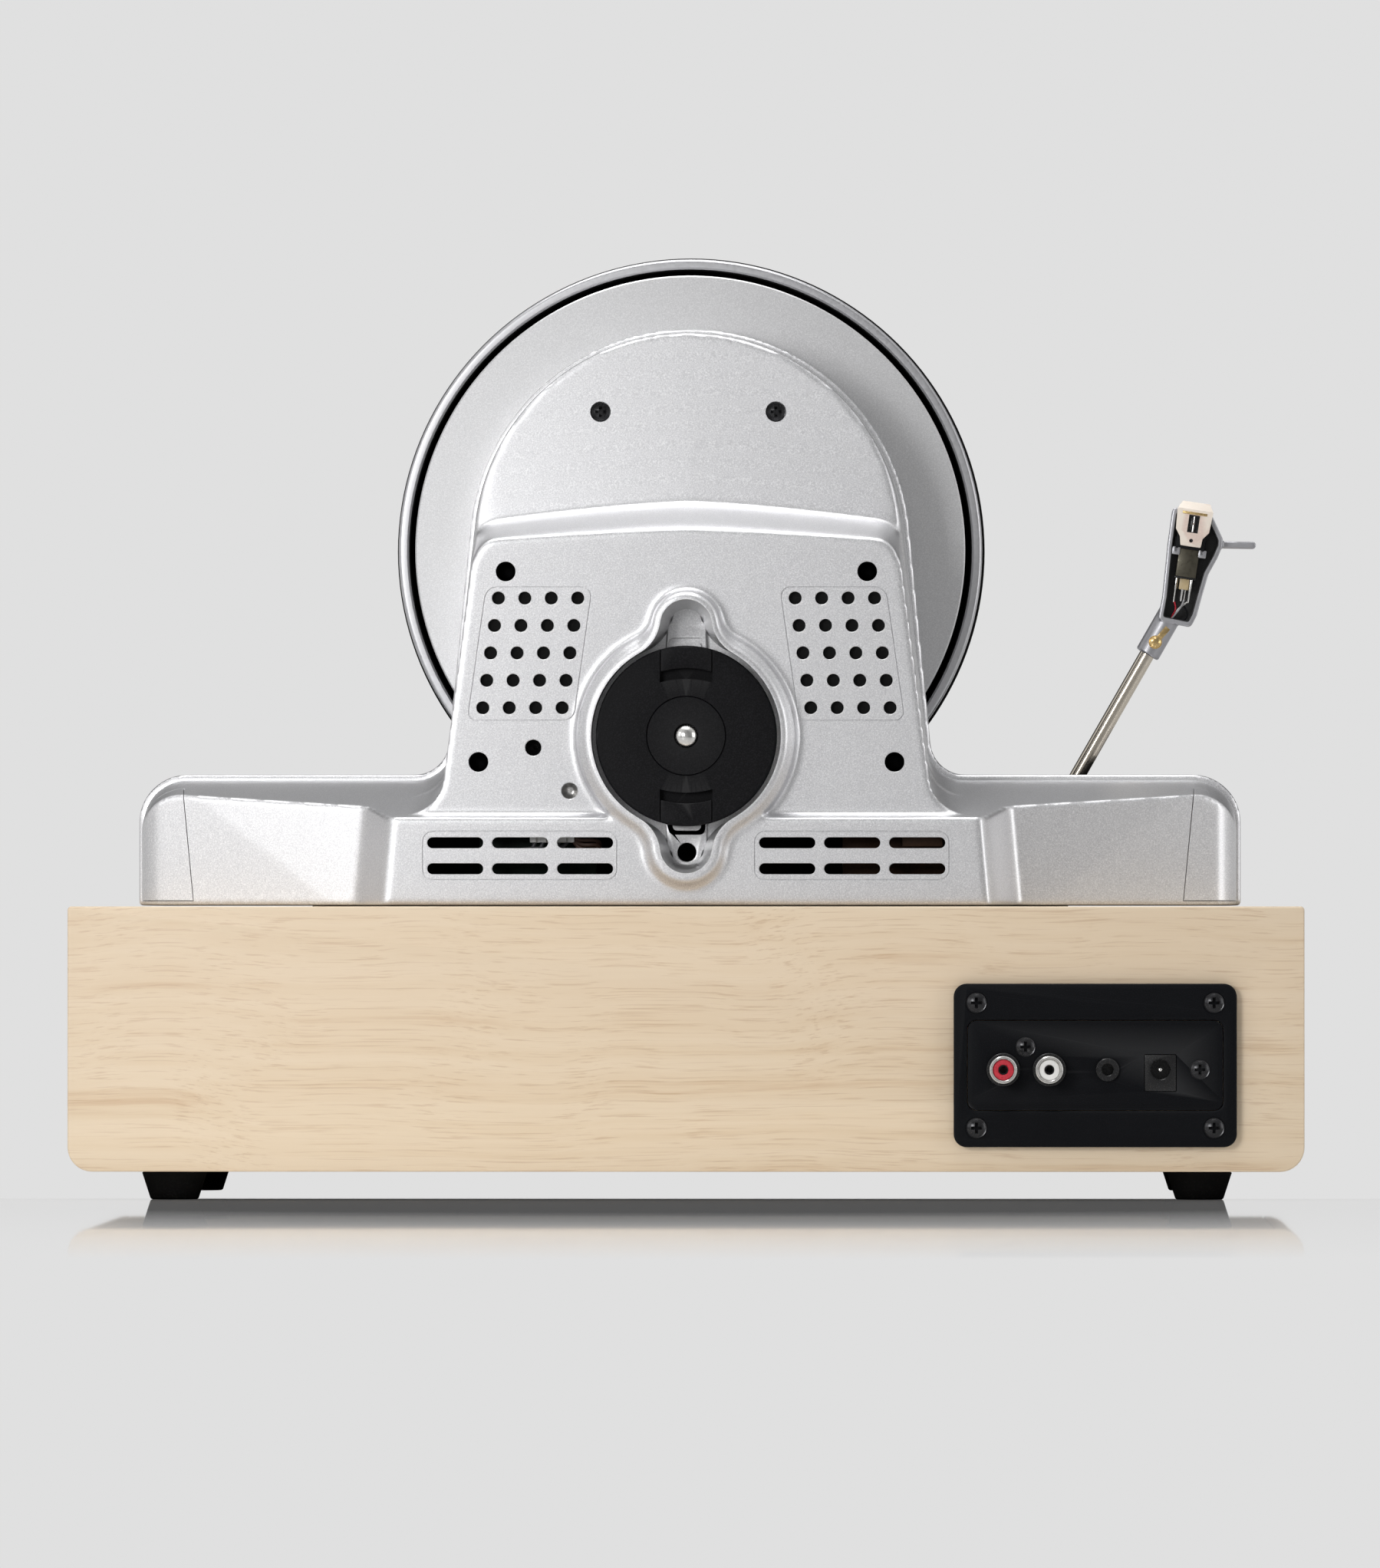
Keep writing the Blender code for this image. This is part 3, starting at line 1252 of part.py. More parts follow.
def platter():
    """The platter with its rim and drive rim, the mat on its face, and the spindle."""
    disc = 0.003
    rim_wall = 0.0032
    drive_wall = 0.003
    drive_depth = 0.010
    hub_radius = 0.010
    hub_depth = 0.0115
    edge = 0.0008
    bore = SPINDLE_RADIUS + SEAT_GAP
    disc_back = PLATTER_FRONT_Y + disc
    frame = along_y(0, PLATTER_Z)
    rim_inner = PLATTER_RADIUS - rim_wall
    drive_inner = DRIVE_RIM_RADIUS - drive_wall
    profile = [
        (bore, PLATTER_FRONT_Y + hub_depth),
        (hub_radius, PLATTER_FRONT_Y + hub_depth),
        (hub_radius, disc_back),
        (drive_inner, disc_back),
        (drive_inner, disc_back + drive_depth),
        (DRIVE_RIM_RADIUS, disc_back + drive_depth),
        (DRIVE_RIM_RADIUS, disc_back),
        (rim_inner, disc_back),
        (rim_inner, PLATTER_BACK_Y),
        (PLATTER_RADIUS - edge, PLATTER_BACK_Y),
        (PLATTER_RADIUS, PLATTER_BACK_Y - edge),
        (PLATTER_RADIUS, PLATTER_FRONT_Y + edge),
        (PLATTER_RADIUS - edge, PLATTER_FRONT_Y),
        (bore, PLATTER_FRONT_Y),
    ]
    paint(turned("platter", profile, frame, FINE_STEPS, ring=True), "silver_paint")

    mat_back = PLATTER_FRONT_Y - SEAT_GAP
    mat_front = mat_back - MAT_THICKNESS
    mat = pipe("platter_mat", MAT_RADIUS, bore, mat_front, mat_back, frame, FINE_STEPS)
    paint(mat, "black_rubber")

    tip_length = 0.0115
    tip_round = 0.0020
    tail_y = BUSH_END_Y + 2 * PLATTER_GAP
    tip_y = mat_front - tip_length
    spindle = turned(
        "spindle",
        [
            (0, tail_y),
            (SPINDLE_RADIUS, tail_y),
            (SPINDLE_RADIUS, tip_y + tip_round),
            (SPINDLE_RADIUS - tip_round / 3, tip_y + tip_round / 3),
            (SPINDLE_RADIUS / 3, tip_y),
            (0, tip_y),
        ],
        frame, SMALL_STEPS,
    )
    paint(spindle, "bright_steel")
    bush_start = PLATTER_FRONT_Y + hub_depth + SLIDE_GAP
    bush = pipe("bearing_bush", BUSH_RADIUS, SPINDLE_RADIUS + TURN_GAP, bush_start, BUSH_END_Y, frame)
    paint(bush, "brass")
    return disc_back


def drive(disc_back):
    """The motor on the neck's inner side, its pulley in the dish, and the belt."""
    shaft_radius = 0.0010
    flange_radius = 0.0052
    flange = 0.0010
    belt_margin = 0.003
    belt_start = disc_back + belt_margin
    belt_end = belt_start + BELT_WIDTH
    pulley_front = belt_start - flange - SEAT_GAP
    pulley_back = belt_end + flange + SEAT_GAP
    shaft_depth = 0.006
    frame = along_y(MOTOR_X, MOTOR_Z)
    pulley = turned(
        "motor_pulley",
        [
            (0, MOTOR_FRONT_Y + shaft_depth),
            (shaft_radius, MOTOR_FRONT_Y + shaft_depth),
            (shaft_radius, pulley_back),
            (flange_radius, pulley_back),
            (flange_radius, pulley_back - flange),
            (PULLEY_RADIUS, pulley_back - flange),
            (PULLEY_RADIUS, pulley_front + flange),
            (flange_radius, pulley_front + flange),
            (flange_radius, pulley_front),
            (0, pulley_front),
        ],
        frame, SMALL_STEPS,
    )
    paint(pulley, "brass")

    boss_radius = 0.0038
    boss_height = 0.0015
    bore = shaft_radius + TURN_GAP
    back_boss = 0.003
    motor_back = MOTOR_FRONT_Y + MOTOR_LENGTH
    motor = turned(
        "motor",
        [
            (0, motor_back + boss_height),
            (back_boss, motor_back + boss_height),
            (back_boss, motor_back),
            (MOTOR_RADIUS, motor_back),
            (MOTOR_RADIUS, MOTOR_FRONT_Y),
            (boss_radius, MOTOR_FRONT_Y),
            (boss_radius, MOTOR_FRONT_Y - boss_height),
            (bore, MOTOR_FRONT_Y - boss_height),
            (bore, MOTOR_FRONT_Y + shaft_depth + SLIDE_GAP),
            (0, MOTOR_FRONT_Y + shaft_depth + SLIDE_GAP),
        ],
        frame, SMALL_STEPS,
    )
    paint(motor, "aluminium")

    outlines = [belt_outline(SEAT_GAP + BELT_THICKNESS), belt_outline(SEAT_GAP)]
    paint(plate("drive_belt", outlines, "Y", belt_start, belt_end), "black_rubber")


def belt_outline(gap):
    """The loop that runs a gap outside the drive rim and the pulley."""
    large = DRIVE_RIM_RADIUS + gap
    small = PULLEY_RADIUS + gap
    span = math.hypot(MOTOR_X, MOTOR_DROP)
    towards = math.atan2(-MOTOR_DROP, MOTOR_X)
    spread = math.acos((large - small) / span)
    rim = arc((0, PLATTER_Z), large, towards + spread, towards + 2 * math.pi - spread, FINE_STEPS // 2)
    pulley = arc((MOTOR_X, MOTOR_Z), small, towards - spread, towards + spread, HOLE_STEPS)
    return rim + pulley


# The tonearm

YOKE_INNER_HALF = 0.009
YOKE_CHEEK = 0.0035
YOKE_PIN_RADIUS = 0.003
LIFT_AXLE_RADIUS = 0.0015
LIFT_ROD_RADIUS = 0.002
LIFT_RADIUS = 0.026
LIFT_ROD_ANGLE = math.radians(20)


def lift_rod_place():
    """Where the lift bar's rod goes through the front of the well, in x and z."""
    return (
        ARM_PIVOT_X + LIFT_RADIUS * math.sin(LIFT_ROD_ANGLE),
        ARM_PIVOT_Z + LIFT_RADIUS * math.cos(LIFT_ROD_ANGLE),
    )


def tonearm_bearings():
    """The base on the front wall of the well, and the yoke that swings on its pin."""
    flange_radius = 0.012
    flange_thickness = 0.0025
    hub_radius = 0.008
    hub_gap = SLIDE_GAP
    wall_y = SLOT_FRONT_Y + SEAT_GAP
    hub_start = wall_y + flange_thickness + hub_gap
    hub_clearance = 0.0075
    pin_tip = 0.0006
    hub_end = ARM_Y - hub_clearance
    pin_end = hub_end + pin_tip
    base = turned(
        "tonearm_base",
        [
            (0, pin_end),
            (YOKE_PIN_RADIUS, pin_end),
            (YOKE_PIN_RADIUS, wall_y + flange_thickness),
            (flange_radius, wall_y + flange_thickness),
            (flange_radius, wall_y),
            (0, wall_y),
        ],
        along_y(ARM_PIVOT_X, ARM_PIVOT_Z), SMALL_STEPS,
    )
    paint(base, "aluminium")

    frame = arm_frame()
    outer = YOKE_INNER_HALF + YOKE_CHEEK
    bridge_half = 0.005
    bridge_thickness = 0.003
    bridge_low = hub_end - bridge_thickness - ARM_Y
    bridge_high = hub_end - ARM_Y
    cheek_high = 0.004
    yoke = box("swing_yoke", (-outer, bridge_low, -bridge_half), (outer, bridge_high, bridge_half), frame)
    for side in (-1, 1):
        edges = sorted((side * YOKE_INNER_HALF, side * outer))
        cheek = box(
            "cheek", (edges[0], bridge_low, -bridge_half + JOIN_OVERLAP / 2),
            (edges[1] - JOIN_OVERLAP / 2, cheek_high, bridge_half - JOIN_OVERLAP / 2), frame,
        )
        join(yoke, cheek)
    swing_frame = along_y(ARM_PIVOT_X, ARM_PIVOT_Z)
    join(yoke, bar("yoke_hub", hub_radius, hub_start, hub_end - JOIN_OVERLAP, swing_frame))
    bore_start = hub_start - CUT_OVERRUN
    bore_end = hub_end + CUT_OVERRUN
    cut(yoke, bar("pin_bore", YOKE_PIN_RADIUS + TURN_GAP, bore_start, bore_end, swing_frame))
    axle_frame = frame @ Matrix.Rotation(math.pi / 2, 4, "Y")
    reach = outer + CUT_OVERRUN
    cut(yoke, bar("axle_bores", LIFT_AXLE_RADIUS + TURN_GAP, -reach, reach, axle_frame, HOLE_STEPS))
    place_origin(yoke, (ARM_PIVOT_X, ARM_Y, ARM_PIVOT_Z))
    paint(yoke, "black_plastic")


def arm_tube():
    """The tube with its bearing sleeve, lift axle, and the weight behind the pivot."""
    tail = -0.033
    bore = 0.0018
    sleeve_radius = 0.0042
    sleeve_half = 0.006
    weight_start = -0.015
    weight_length = 0.016
    weight_radius = 0.010
    weight_edge = 0.0008
    frame = arm_frame()
    tube = turned(
        "arm_tube",
        [
            (bore, ARM_TUBE_REACH),
            (ARM_TUBE_RADIUS, ARM_TUBE_REACH),
            (ARM_TUBE_RADIUS, sleeve_half),
            (sleeve_radius, sleeve_half),
            (sleeve_radius, -sleeve_half),
            (ARM_TUBE_RADIUS, -sleeve_half),
            (ARM_TUBE_RADIUS, tail),
            (bore, tail),
        ],
        frame, SMALL_STEPS, ring=True,
    )
    axle_frame = frame @ Matrix.Rotation(math.pi / 2, 4, "Y")
    axle_half = YOKE_INNER_HALF + YOKE_CHEEK - 2 * SEAT_GAP
    for side in (-1, 1):
        ends = sorted((side * axle_half, side * (bore + ARM_TUBE_RADIUS) / 2))
        join(tube, bar("lift_axle", LIFT_AXLE_RADIUS, ends[0], ends[1], axle_frame, HOLE_STEPS))
    paint(tube, "bright_steel")

    end = weight_start - weight_length
    weight_bore = ARM_TUBE_RADIUS + SEAT_GAP
    weight = turned(
        "counterweight",
        [
            (weight_bore, weight_start),
            (weight_radius - weight_edge, weight_start),
            (weight_radius, weight_start - weight_edge),
            (weight_radius, end + weight_edge),
            (weight_radius - weight_edge, end),
            (weight_bore, end),
        ],
        frame, ROUND_STEPS, ring=True,
    )
    paint(weight, "dark_steel")


HEADSHELL_WIDTH = 0.0173
HEADSHELL_LENGTH = 0.0361
HEADSHELL_LEAN = math.radians(8.5)
COLLAR_LENGTH = 0.013
# Points across and along the headshell, as shares of its width and length
HEADSHELL_SHARES = (
    (-0.17, -0.03),
    (0.44, -0.045),
    (0.515, 0.06),
    (0.56, 0.25),
    (0.615, 0.43),
    (0.735, 0.585),
    (0.795, 0.69),
    (0.78, 0.755),
    (0.51, 0.955),
    (0.43, 1.0),
    (-0.20, 0.96),
    (-0.205, 0.645),
    (-0.18, 0.43),
    (-0.155, 0.18),
)


def headshell_frame():
    """The headshell's frame: Z runs along the shell, X across it away from the record, Y is world -Y."""
    start = arm_frame() @ Vector((0, 0, HEADSHELL_START + COLLAR_LENGTH))
    turn = Matrix.Rotation(-HEADSHELL_LEAN, 4, "Y") @ Matrix.Rotation(math.pi, 4, "Z")
    return Matrix.Translation(start) @ turn


def headshell():
    """The hollow shell, open towards the record, with its collar and finger lift."""
    shell_wall = 0.0012
    front = 0.0060
    back = -0.0040
    collar_radius = 0.0039
    collar_bore = ARM_TUBE_RADIUS + SEAT_GAP
    lift_thickness = 0.0016
    lift_length = 0.0105
    lift_width = 0.006
    lift_share = 0.70
    frame = headshell_frame()
    outline = [(x * HEADSHELL_WIDTH, z * HEADSHELL_LENGTH) for x, z in HEADSHELL_SHARES]
    shell = plate("headshell", [outline], "Y", back, front, frame)
    edge_x = outline[6][0]
    lift_z = lift_share * HEADSHELL_LENGTH
    lift = box(
        "finger_lift", (edge_x - 2 * lift_thickness, front - lift_width, lift_z - lift_thickness / 2),
        (edge_x + lift_length, front - JOIN_OVERLAP, lift_z + lift_thickness / 2), frame,
    )
    collar = bar(
        "collar", collar_radius, HEADSHELL_START, HEADSHELL_START + COLLAR_LENGTH + JOIN_OVERLAP, arm_frame()
    )
    join(shell, lift, collar)
    inner = inset_outline(outline, shell_wall)
    hollow = plate("shell_hollow", [inner], "Y", back - CUT_OVERRUN, front - shell_wall, frame)
    bore_start = HEADSHELL_START - CUT_OVERRUN
    bore_end = HEADSHELL_START + COLLAR_LENGTH + CUT_OVERRUN
    bore = bar("collar_bore", collar_bore, bore_start, bore_end, arm_frame())
    paint(cut(shell, hollow, bore), "dark_steel")
    cartridge(frame, front - shell_wall, back)


def inset_outline(outline, distance):
    """An outline moved inwards by a distance, point by point. It runs anticlockwise."""
    points = []
    count = len(outline)
    for i, point in enumerate(outline):
        before = Vector(outline[i - 1])
        here = Vector(point)
        after = Vector(outline[(i + 1) % count])
        first = (here - before).normalized()
        second = (after - here).normalized()
        inward = Vector((-first.y, first.x)) + Vector((-second.y, second.x))
        stretch = 2 / inward.length_squared
        points.append(tuple(here + inward * distance * stretch))
    return points


def cartridge(frame, shell_floor, shell_back):
    """The cartridge in the shell and the stylus unit clipped to its record side."""
    across = 0.0036
    low = 0.0085
    mount_low = 0.0225
    mount_high = 0.0325
    mount_half = 0.0046
    shield_half = 0.00325
    mount_floor = shell_floor - SEAT_GAP
    mount_face = shell_back - SEAT_GAP
    body = box(
        "cartridge", (across - mount_half, mount_face, mount_low),
        (across + mount_half, mount_floor, mount_high), frame,
    )
    shield = box(
        "shield", (across - shield_half, shell_back + JOIN_OVERLAP, low),
        (across + shield_half, mount_floor - JOIN_OVERLAP, mount_low + JOIN_OVERLAP), frame,
    )
    join(body, shield)
    paint(body, "black_plastic")

    half = 0.00565
    unit_low = 0.0237
    unit_high = 0.0376
    thickness = 0.0034
    base_y = mount_face - SEAT_GAP
    face_y = base_y - thickness
    tip_reach = 0.0029
    tip_radius = 0.0006
    tip_z = 0.0305
    window_half = 0.0019
    window_low = 0.0275
    window_high = 0.0335
    window_depth = 0.0022
    unit = box("stylus_unit", (across - half, face_y, unit_low), (across + half, base_y, unit_high), frame)
    window = box(
        "stylus_window", (across - window_half, face_y - CUT_OVERRUN, window_low),
        (across + window_half, face_y + window_depth, window_high), frame,
    )
    cut(unit, window)
    tip_frame = frame @ at(across, 0, tip_z) @ Matrix.Rotation(math.pi / 2, 4, "X")
    tip_start = -(face_y + window_depth + JOIN_OVERLAP)
    tip_end = -face_y + tip_reach
    tip_steps = 8
    tip = turned(
        "stylus_tip",
        [
            (0, tip_end),
            (tip_radius / 2, tip_end),
            (tip_radius, tip_end - tip_reach),
            (tip_radius, tip_start),
            (0, tip_start),
        ],
        tip_frame, tip_steps,
    )
    paint(join(unit, tip), "white_plastic")


def arm_rest():
    """A bracket on the well's front wall that the raised arm leans against."""
    height = 0.067
    plate_half = 0.006
    plate_thickness = 0.002
    stem_half = 0.002
    shelf_half = 0.004
    shelf_thickness = 0.002
    lip_thickness = 0.0022
    lip_reach = 0.003
    frame = arm_frame() @ at(0, 0, height)
    wall_y = -ARM_STAND_OFF + SEAT_GAP
    shelf_y = -ARM_TUBE_RADIUS - SEAT_GAP
    outer_x = -ARM_TUBE_RADIUS - 2 * SEAT_GAP
    rest = box(
        "arm_rest", (-plate_half, wall_y, -plate_half),
        (plate_half, wall_y + plate_thickness, plate_half), frame,
    )
    stem = box(
        "rest_stem", (-stem_half, wall_y + plate_thickness / 2, -stem_half),
        (stem_half, shelf_y - shelf_thickness / 2, stem_half), frame,
    )
    shelf = box(
        "rest_shelf", (outer_x - lip_thickness / 2, shelf_y - shelf_thickness, -shelf_half),
        (ARM_TUBE_RADIUS, shelf_y, shelf_half), frame,
    )
    lip_half = shelf_half - JOIN_OVERLAP / 2
    lip = box(
        "rest_lip", (outer_x - lip_thickness, shelf_y - shelf_thickness - JOIN_OVERLAP, -lip_half),
        (outer_x, lip_reach, lip_half), frame,
    )
    paint(join(rest, stem, shelf, lip), "black_plastic")


def arm_lift():
    """The curved bar that raises the arm, on its sliding rod, and the cue lever that turns on the rod."""
    bar_width = 0.003
    bar_thickness = 0.0024
    start_angle = math.radians(-35)
    rod_end = 0.007
    x, z = lift_rod_place()
    inner = LIFT_RADIUS - bar_width / 2
    outer = LIFT_RADIUS + bar_width / 2
    front_y = ARM_Y + ARM_TUBE_RADIUS + SEAT_GAP
    back_y = front_y + bar_thickness
    pivot = (ARM_PIVOT_X, ARM_PIVOT_Z)
    first = math.pi / 2 - start_angle
    last = math.pi / 2 - LIFT_ROD_ANGLE
    outline = arc(pivot, outer, last, first, SMALL_STEPS) + arc(pivot, inner, first, last, SMALL_STEPS)
    lift = plate("lift_bar", [outline], "Y", front_y, back_y)
    rod_start = SLOT_FRONT_Y - WELL_WALL - rod_end
    rod = bar("lift_rod", LIFT_ROD_RADIUS, rod_start, back_y - JOIN_OVERLAP, along_y(x, z), HOLE_STEPS)
    join(lift, rod)
    place_origin(lift, (x, ARM_Y, z))
    paint(lift, "bright_steel")

    hub_radius = 0.005
    hub_start = SLOT_FRONT_Y + SEAT_GAP
    hub_length = 0.007
    lever_width = 0.004
    lever_thickness = 0.0026
    lever_length = 0.0595
    knob_radius = 0.0032
    knob_length = 0.010
    lever_y = hub_start + hub_length / 2
    lever = bar("cue_lever", hub_radius, hub_start, hub_start + hub_length, along_y(x, z))
    blade = box(
        "lever_blade", (x - lever_width / 2, lever_y - lever_thickness / 2, z + hub_radius / 2),
        (x + lever_width / 2, lever_y + lever_thickness / 2, z + lever_length),
    )
    knob_low = z + lever_length - knob_length
    knob_high = z + lever_length + knob_radius
    knob = bar("lever_knob", knob_radius, knob_low, knob_high, at(x, lever_y, 0), HOLE_STEPS)
    join(lever, blade, knob)
    bore_start = hub_start - CUT_OVERRUN
    bore_end = hub_start + hub_length + CUT_OVERRUN
    bore = bar("lever_bore", LIFT_ROD_RADIUS + TURN_GAP, bore_start, bore_end, along_y(x, z), HOLE_STEPS)
    cut(lever, bore)
    place_origin(lever, (x, lever_y, z))
    paint(lever, "black_plastic")


# The clamp, stored on its post in the back of the tower

CLAMP_STEPS = 40
POST_NECK_RADIUS = 0.0025
POST_RADIUS = 0.0034


def stored_clamp(floor_y, rim_y):
    """The post, the clamp on it, and the two tabs that are squeezed to free it."""
    face_sink = 0.0024
    face_y = rim_y - face_sink
    back_y = floor_y + SEAT_GAP
    frame = along_y(0, CLAMP_Z)
    post_tip = 0.0013
    nut_radius = 0.005
    nut_thickness = 0.0025
    dome = 0.0015
    post_back = floor_y - RECESS_FLOOR - SEAT_GAP
    post = turned(
        "clamp_post",
        [
            (0, face_y + post_tip),
            (POST_RADIUS / 2, face_y + post_tip - dome / 5),
            (POST_RADIUS, face_y + post_tip - dome),
            (POST_RADIUS, floor_y + SEAT_GAP),
            (POST_NECK_RADIUS, floor_y + SEAT_GAP),
            (POST_NECK_RADIUS, post_back),
            (nut_radius, post_back),
            (nut_radius, post_back - nut_thickness),
            (0, post_back - nut_thickness),
        ],
        frame, SMALL_STEPS,
    )
    paint(post, "bright_steel")

    edge = 0.0012
    groove_radius = 0.01215
    groove_width = 0.0006
    groove_depth = 0.0006
    bore = POST_RADIUS + SEAT_GAP
    clamp = turned(
        "clamp_body",
        [
            (bore, face_y),
            (groove_radius - groove_width / 2, face_y),
            (groove_radius - groove_width / 2, face_y - groove_depth),
            (groove_radius + groove_width / 2, face_y - groove_depth),
            (groove_radius + groove_width / 2, face_y),
            (CLAMP_RADIUS - edge, face_y),
            (CLAMP_RADIUS, face_y - edge),
            (CLAMP_RADIUS, back_y + edge),
            (CLAMP_RADIUS - edge, back_y),
            (bore, back_y),
        ],
        frame, CLAMP_STEPS, ring=True,
    )
    notch_half = 0.0081
    notch_reach = 0.0104
    notch_floor = 0.0045
    tab_half = notch_half - SLIDE_GAP
    tab_length = 0.0070
    tab_start = notch_floor + SLIDE_GAP
    tab_radius = CLAMP_RADIUS - SEAT_GAP
    for name, side in (("clamp_tab_upper", 1), ("clamp_tab_lower", -1)):
        far = side * (CLAMP_RADIUS + CUT_OVERRUN)
        near = side * (CLAMP_RADIUS - notch_reach)
        cut(
            clamp,
            box(f"{name}_notch", (-notch_half, back_y + notch_floor, CLAMP_Z + min(near, far)),
                (notch_half, face_y + CUT_OVERRUN, CLAMP_Z + max(near, far))),
        )
        spread = math.asin(tab_half / tab_radius)
        rim = arc((0, CLAMP_Z), tab_radius, math.pi / 2 - spread, math.pi / 2 + spread, ARC_STEPS)
        inner_z = CLAMP_Z + CLAMP_RADIUS - tab_length
        outline = [(tab_half, inner_z)] + rim + [(-tab_half, inner_z)]
        outline = [(x, CLAMP_Z + side * (z - CLAMP_Z)) for x, z in outline]
        tab = plate(name, [outline], "Y", back_y + tab_start, face_y)
        paint(soften(tab, edge / 3, 1), "black_plastic")
    paint(clamp, "black_plastic")


# The controls on the deck's front face

CONTROL_RISE = 0.019
KNOB_SIDE_MARGIN = 0.0417
BUTTON_SPACING = 0.035
SELECTOR_SIDE_MARGIN = 0.0617
KNOB_X = DECK_HALF_WIDTH - KNOB_SIDE_MARGIN
BUTTON_X = KNOB_X - BUTTON_SPACING
SELECTOR_X = SELECTOR_SIDE_MARGIN - DECK_HALF_WIDTH
KNOB_SHAFT_RADIUS = 0.003
BUTTON_RADIUS = 0.005
SELECTOR_NECK_HALF = 0.0015
SELECTOR_TRAVEL = 0.008
SELECTOR_NECK_WIDTH = 0.003


def control_z():
    """The height of the controls."""
    return DECK_BOTTOM_Z + CONTROL_RISE


def control_holes():
    """Cutters for the knob's shaft, the button and the selector's slot."""
    low = DECK_FRONT_Y - CUT_OVERRUN
    high = DECK_FRONT_Y + WALL + CUT_OVERRUN
    z = control_z()
    slot_width = SELECTOR_TRAVEL + SELECTOR_NECK_WIDTH + 2 * SLIDE_GAP
    outlines = [
        circle(KNOB_SHAFT_RADIUS + SLIDE_GAP, (KNOB_X, z), SMALL_STEPS),
        circle(BUTTON_RADIUS + SLIDE_GAP, (BUTTON_X, z), SMALL_STEPS),
        centred_box(slot_width, 2 * (SELECTOR_NECK_HALF + SLIDE_GAP), (SELECTOR_X, z), SLIDE_GAP),
    ]
    return [plate("control_holes", outlines, "Y", low, high)]


def controls():
    """The volume knob, the start button and the speed selector."""
    knob_radius = 0.011
    knob_height = 0.012
    knob_edge = 0.001
    shaft_tail = 0.004
    z = control_z()
    inner_y = DECK_FRONT_Y + WALL
    seat_y = DECK_FRONT_Y - SLIDE_GAP
    knob = turned(
        "volume_knob",
        [
            (0, inner_y + shaft_tail),
            (KNOB_SHAFT_RADIUS, inner_y + shaft_tail),
            (KNOB_SHAFT_RADIUS, seat_y),
            (knob_radius, seat_y),
            (knob_radius, seat_y - knob_height + knob_edge),
            (knob_radius - knob_edge, seat_y - knob_height),
            (0, seat_y - knob_height),
        ],
        along_y(KNOB_X, z), ROUND_STEPS,
    )
    mark_width = 0.0008
    mark_depth = 0.0005
    mark_reach_share = 0.8
    mark = box(
        "knob_mark", (KNOB_X - mark_width / 2, seat_y - knob_height - CUT_OVERRUN, z + knob_radius / 3),
        (KNOB_X + mark_width / 2, seat_y - knob_height + mark_depth, z + knob_radius * mark_reach_share),
    )
    paint(cut(knob, mark), "aluminium")

    button_reach = 0.0022
    flange = 0.0012
    button_edge = 0.0006
    button = turned(
        "start_button",
        [
            (0, inner_y + SLIDE_GAP + flange),
            (BUTTON_RADIUS + flange, inner_y + SLIDE_GAP + flange),
            (BUTTON_RADIUS + flange, inner_y + SLIDE_GAP),
            (BUTTON_RADIUS, inner_y + SLIDE_GAP),
            (BUTTON_RADIUS, DECK_FRONT_Y - button_reach + button_edge),
            (BUTTON_RADIUS - button_edge, DECK_FRONT_Y - button_reach),
            (0, DECK_FRONT_Y - button_reach),
        ],
        along_y(BUTTON_X, z), SMALL_STEPS,
    )
    paint(button, "aluminium")

    grip_half = 0.0035
    grip_height_half = 0.003
    grip_thickness = 0.0028
    start_x = SELECTOR_X - SELECTOR_TRAVEL / 2
    keeper = 0.0012
    grip = box(
        "speed_selector", (start_x - grip_half, seat_y - grip_thickness, z - grip_height_half),
        (start_x + grip_half, seat_y, z + grip_height_half),
    )
    neck_half = SELECTOR_NECK_WIDTH / 2
    neck = box(
        "selector_neck", (start_x - neck_half, seat_y - grip_thickness / 2, z - SELECTOR_NECK_HALF),
        (start_x + neck_half, inner_y + SLIDE_GAP + keeper / 2, z + SELECTOR_NECK_HALF),
    )
    back = box(
        "selector_keeper", (start_x - grip_half, inner_y + SLIDE_GAP, z - grip_height_half),
        (start_x + grip_half, inner_y + SLIDE_GAP + keeper, z + grip_height_half),
    )
    place_origin(join(grip, neck, back), (start_x, DECK_FRONT_Y, z))
    paint(grip, "black_plastic")


# The bodies that move, each hung from an empty on its joint's axis


def hang(name, point, nodes, parent=None):
    """Makes an empty on a joint's axis and parents the nodes to it without moving them."""
    axis = bpy.data.objects.new(f"{name}_axis", None)
    PARTS.objects.link(axis)
    axis.matrix_world = Matrix.Translation(point)
    bpy.context.view_layer.update()
    if parent:
        axis.parent = parent
        axis.matrix_parent_inverse = parent.matrix_world.inverted()
    for node in nodes:
        piece = bpy.data.objects[node]
        piece.parent = axis
        piece.matrix_parent_inverse = axis.matrix_world.inverted()
    return axis


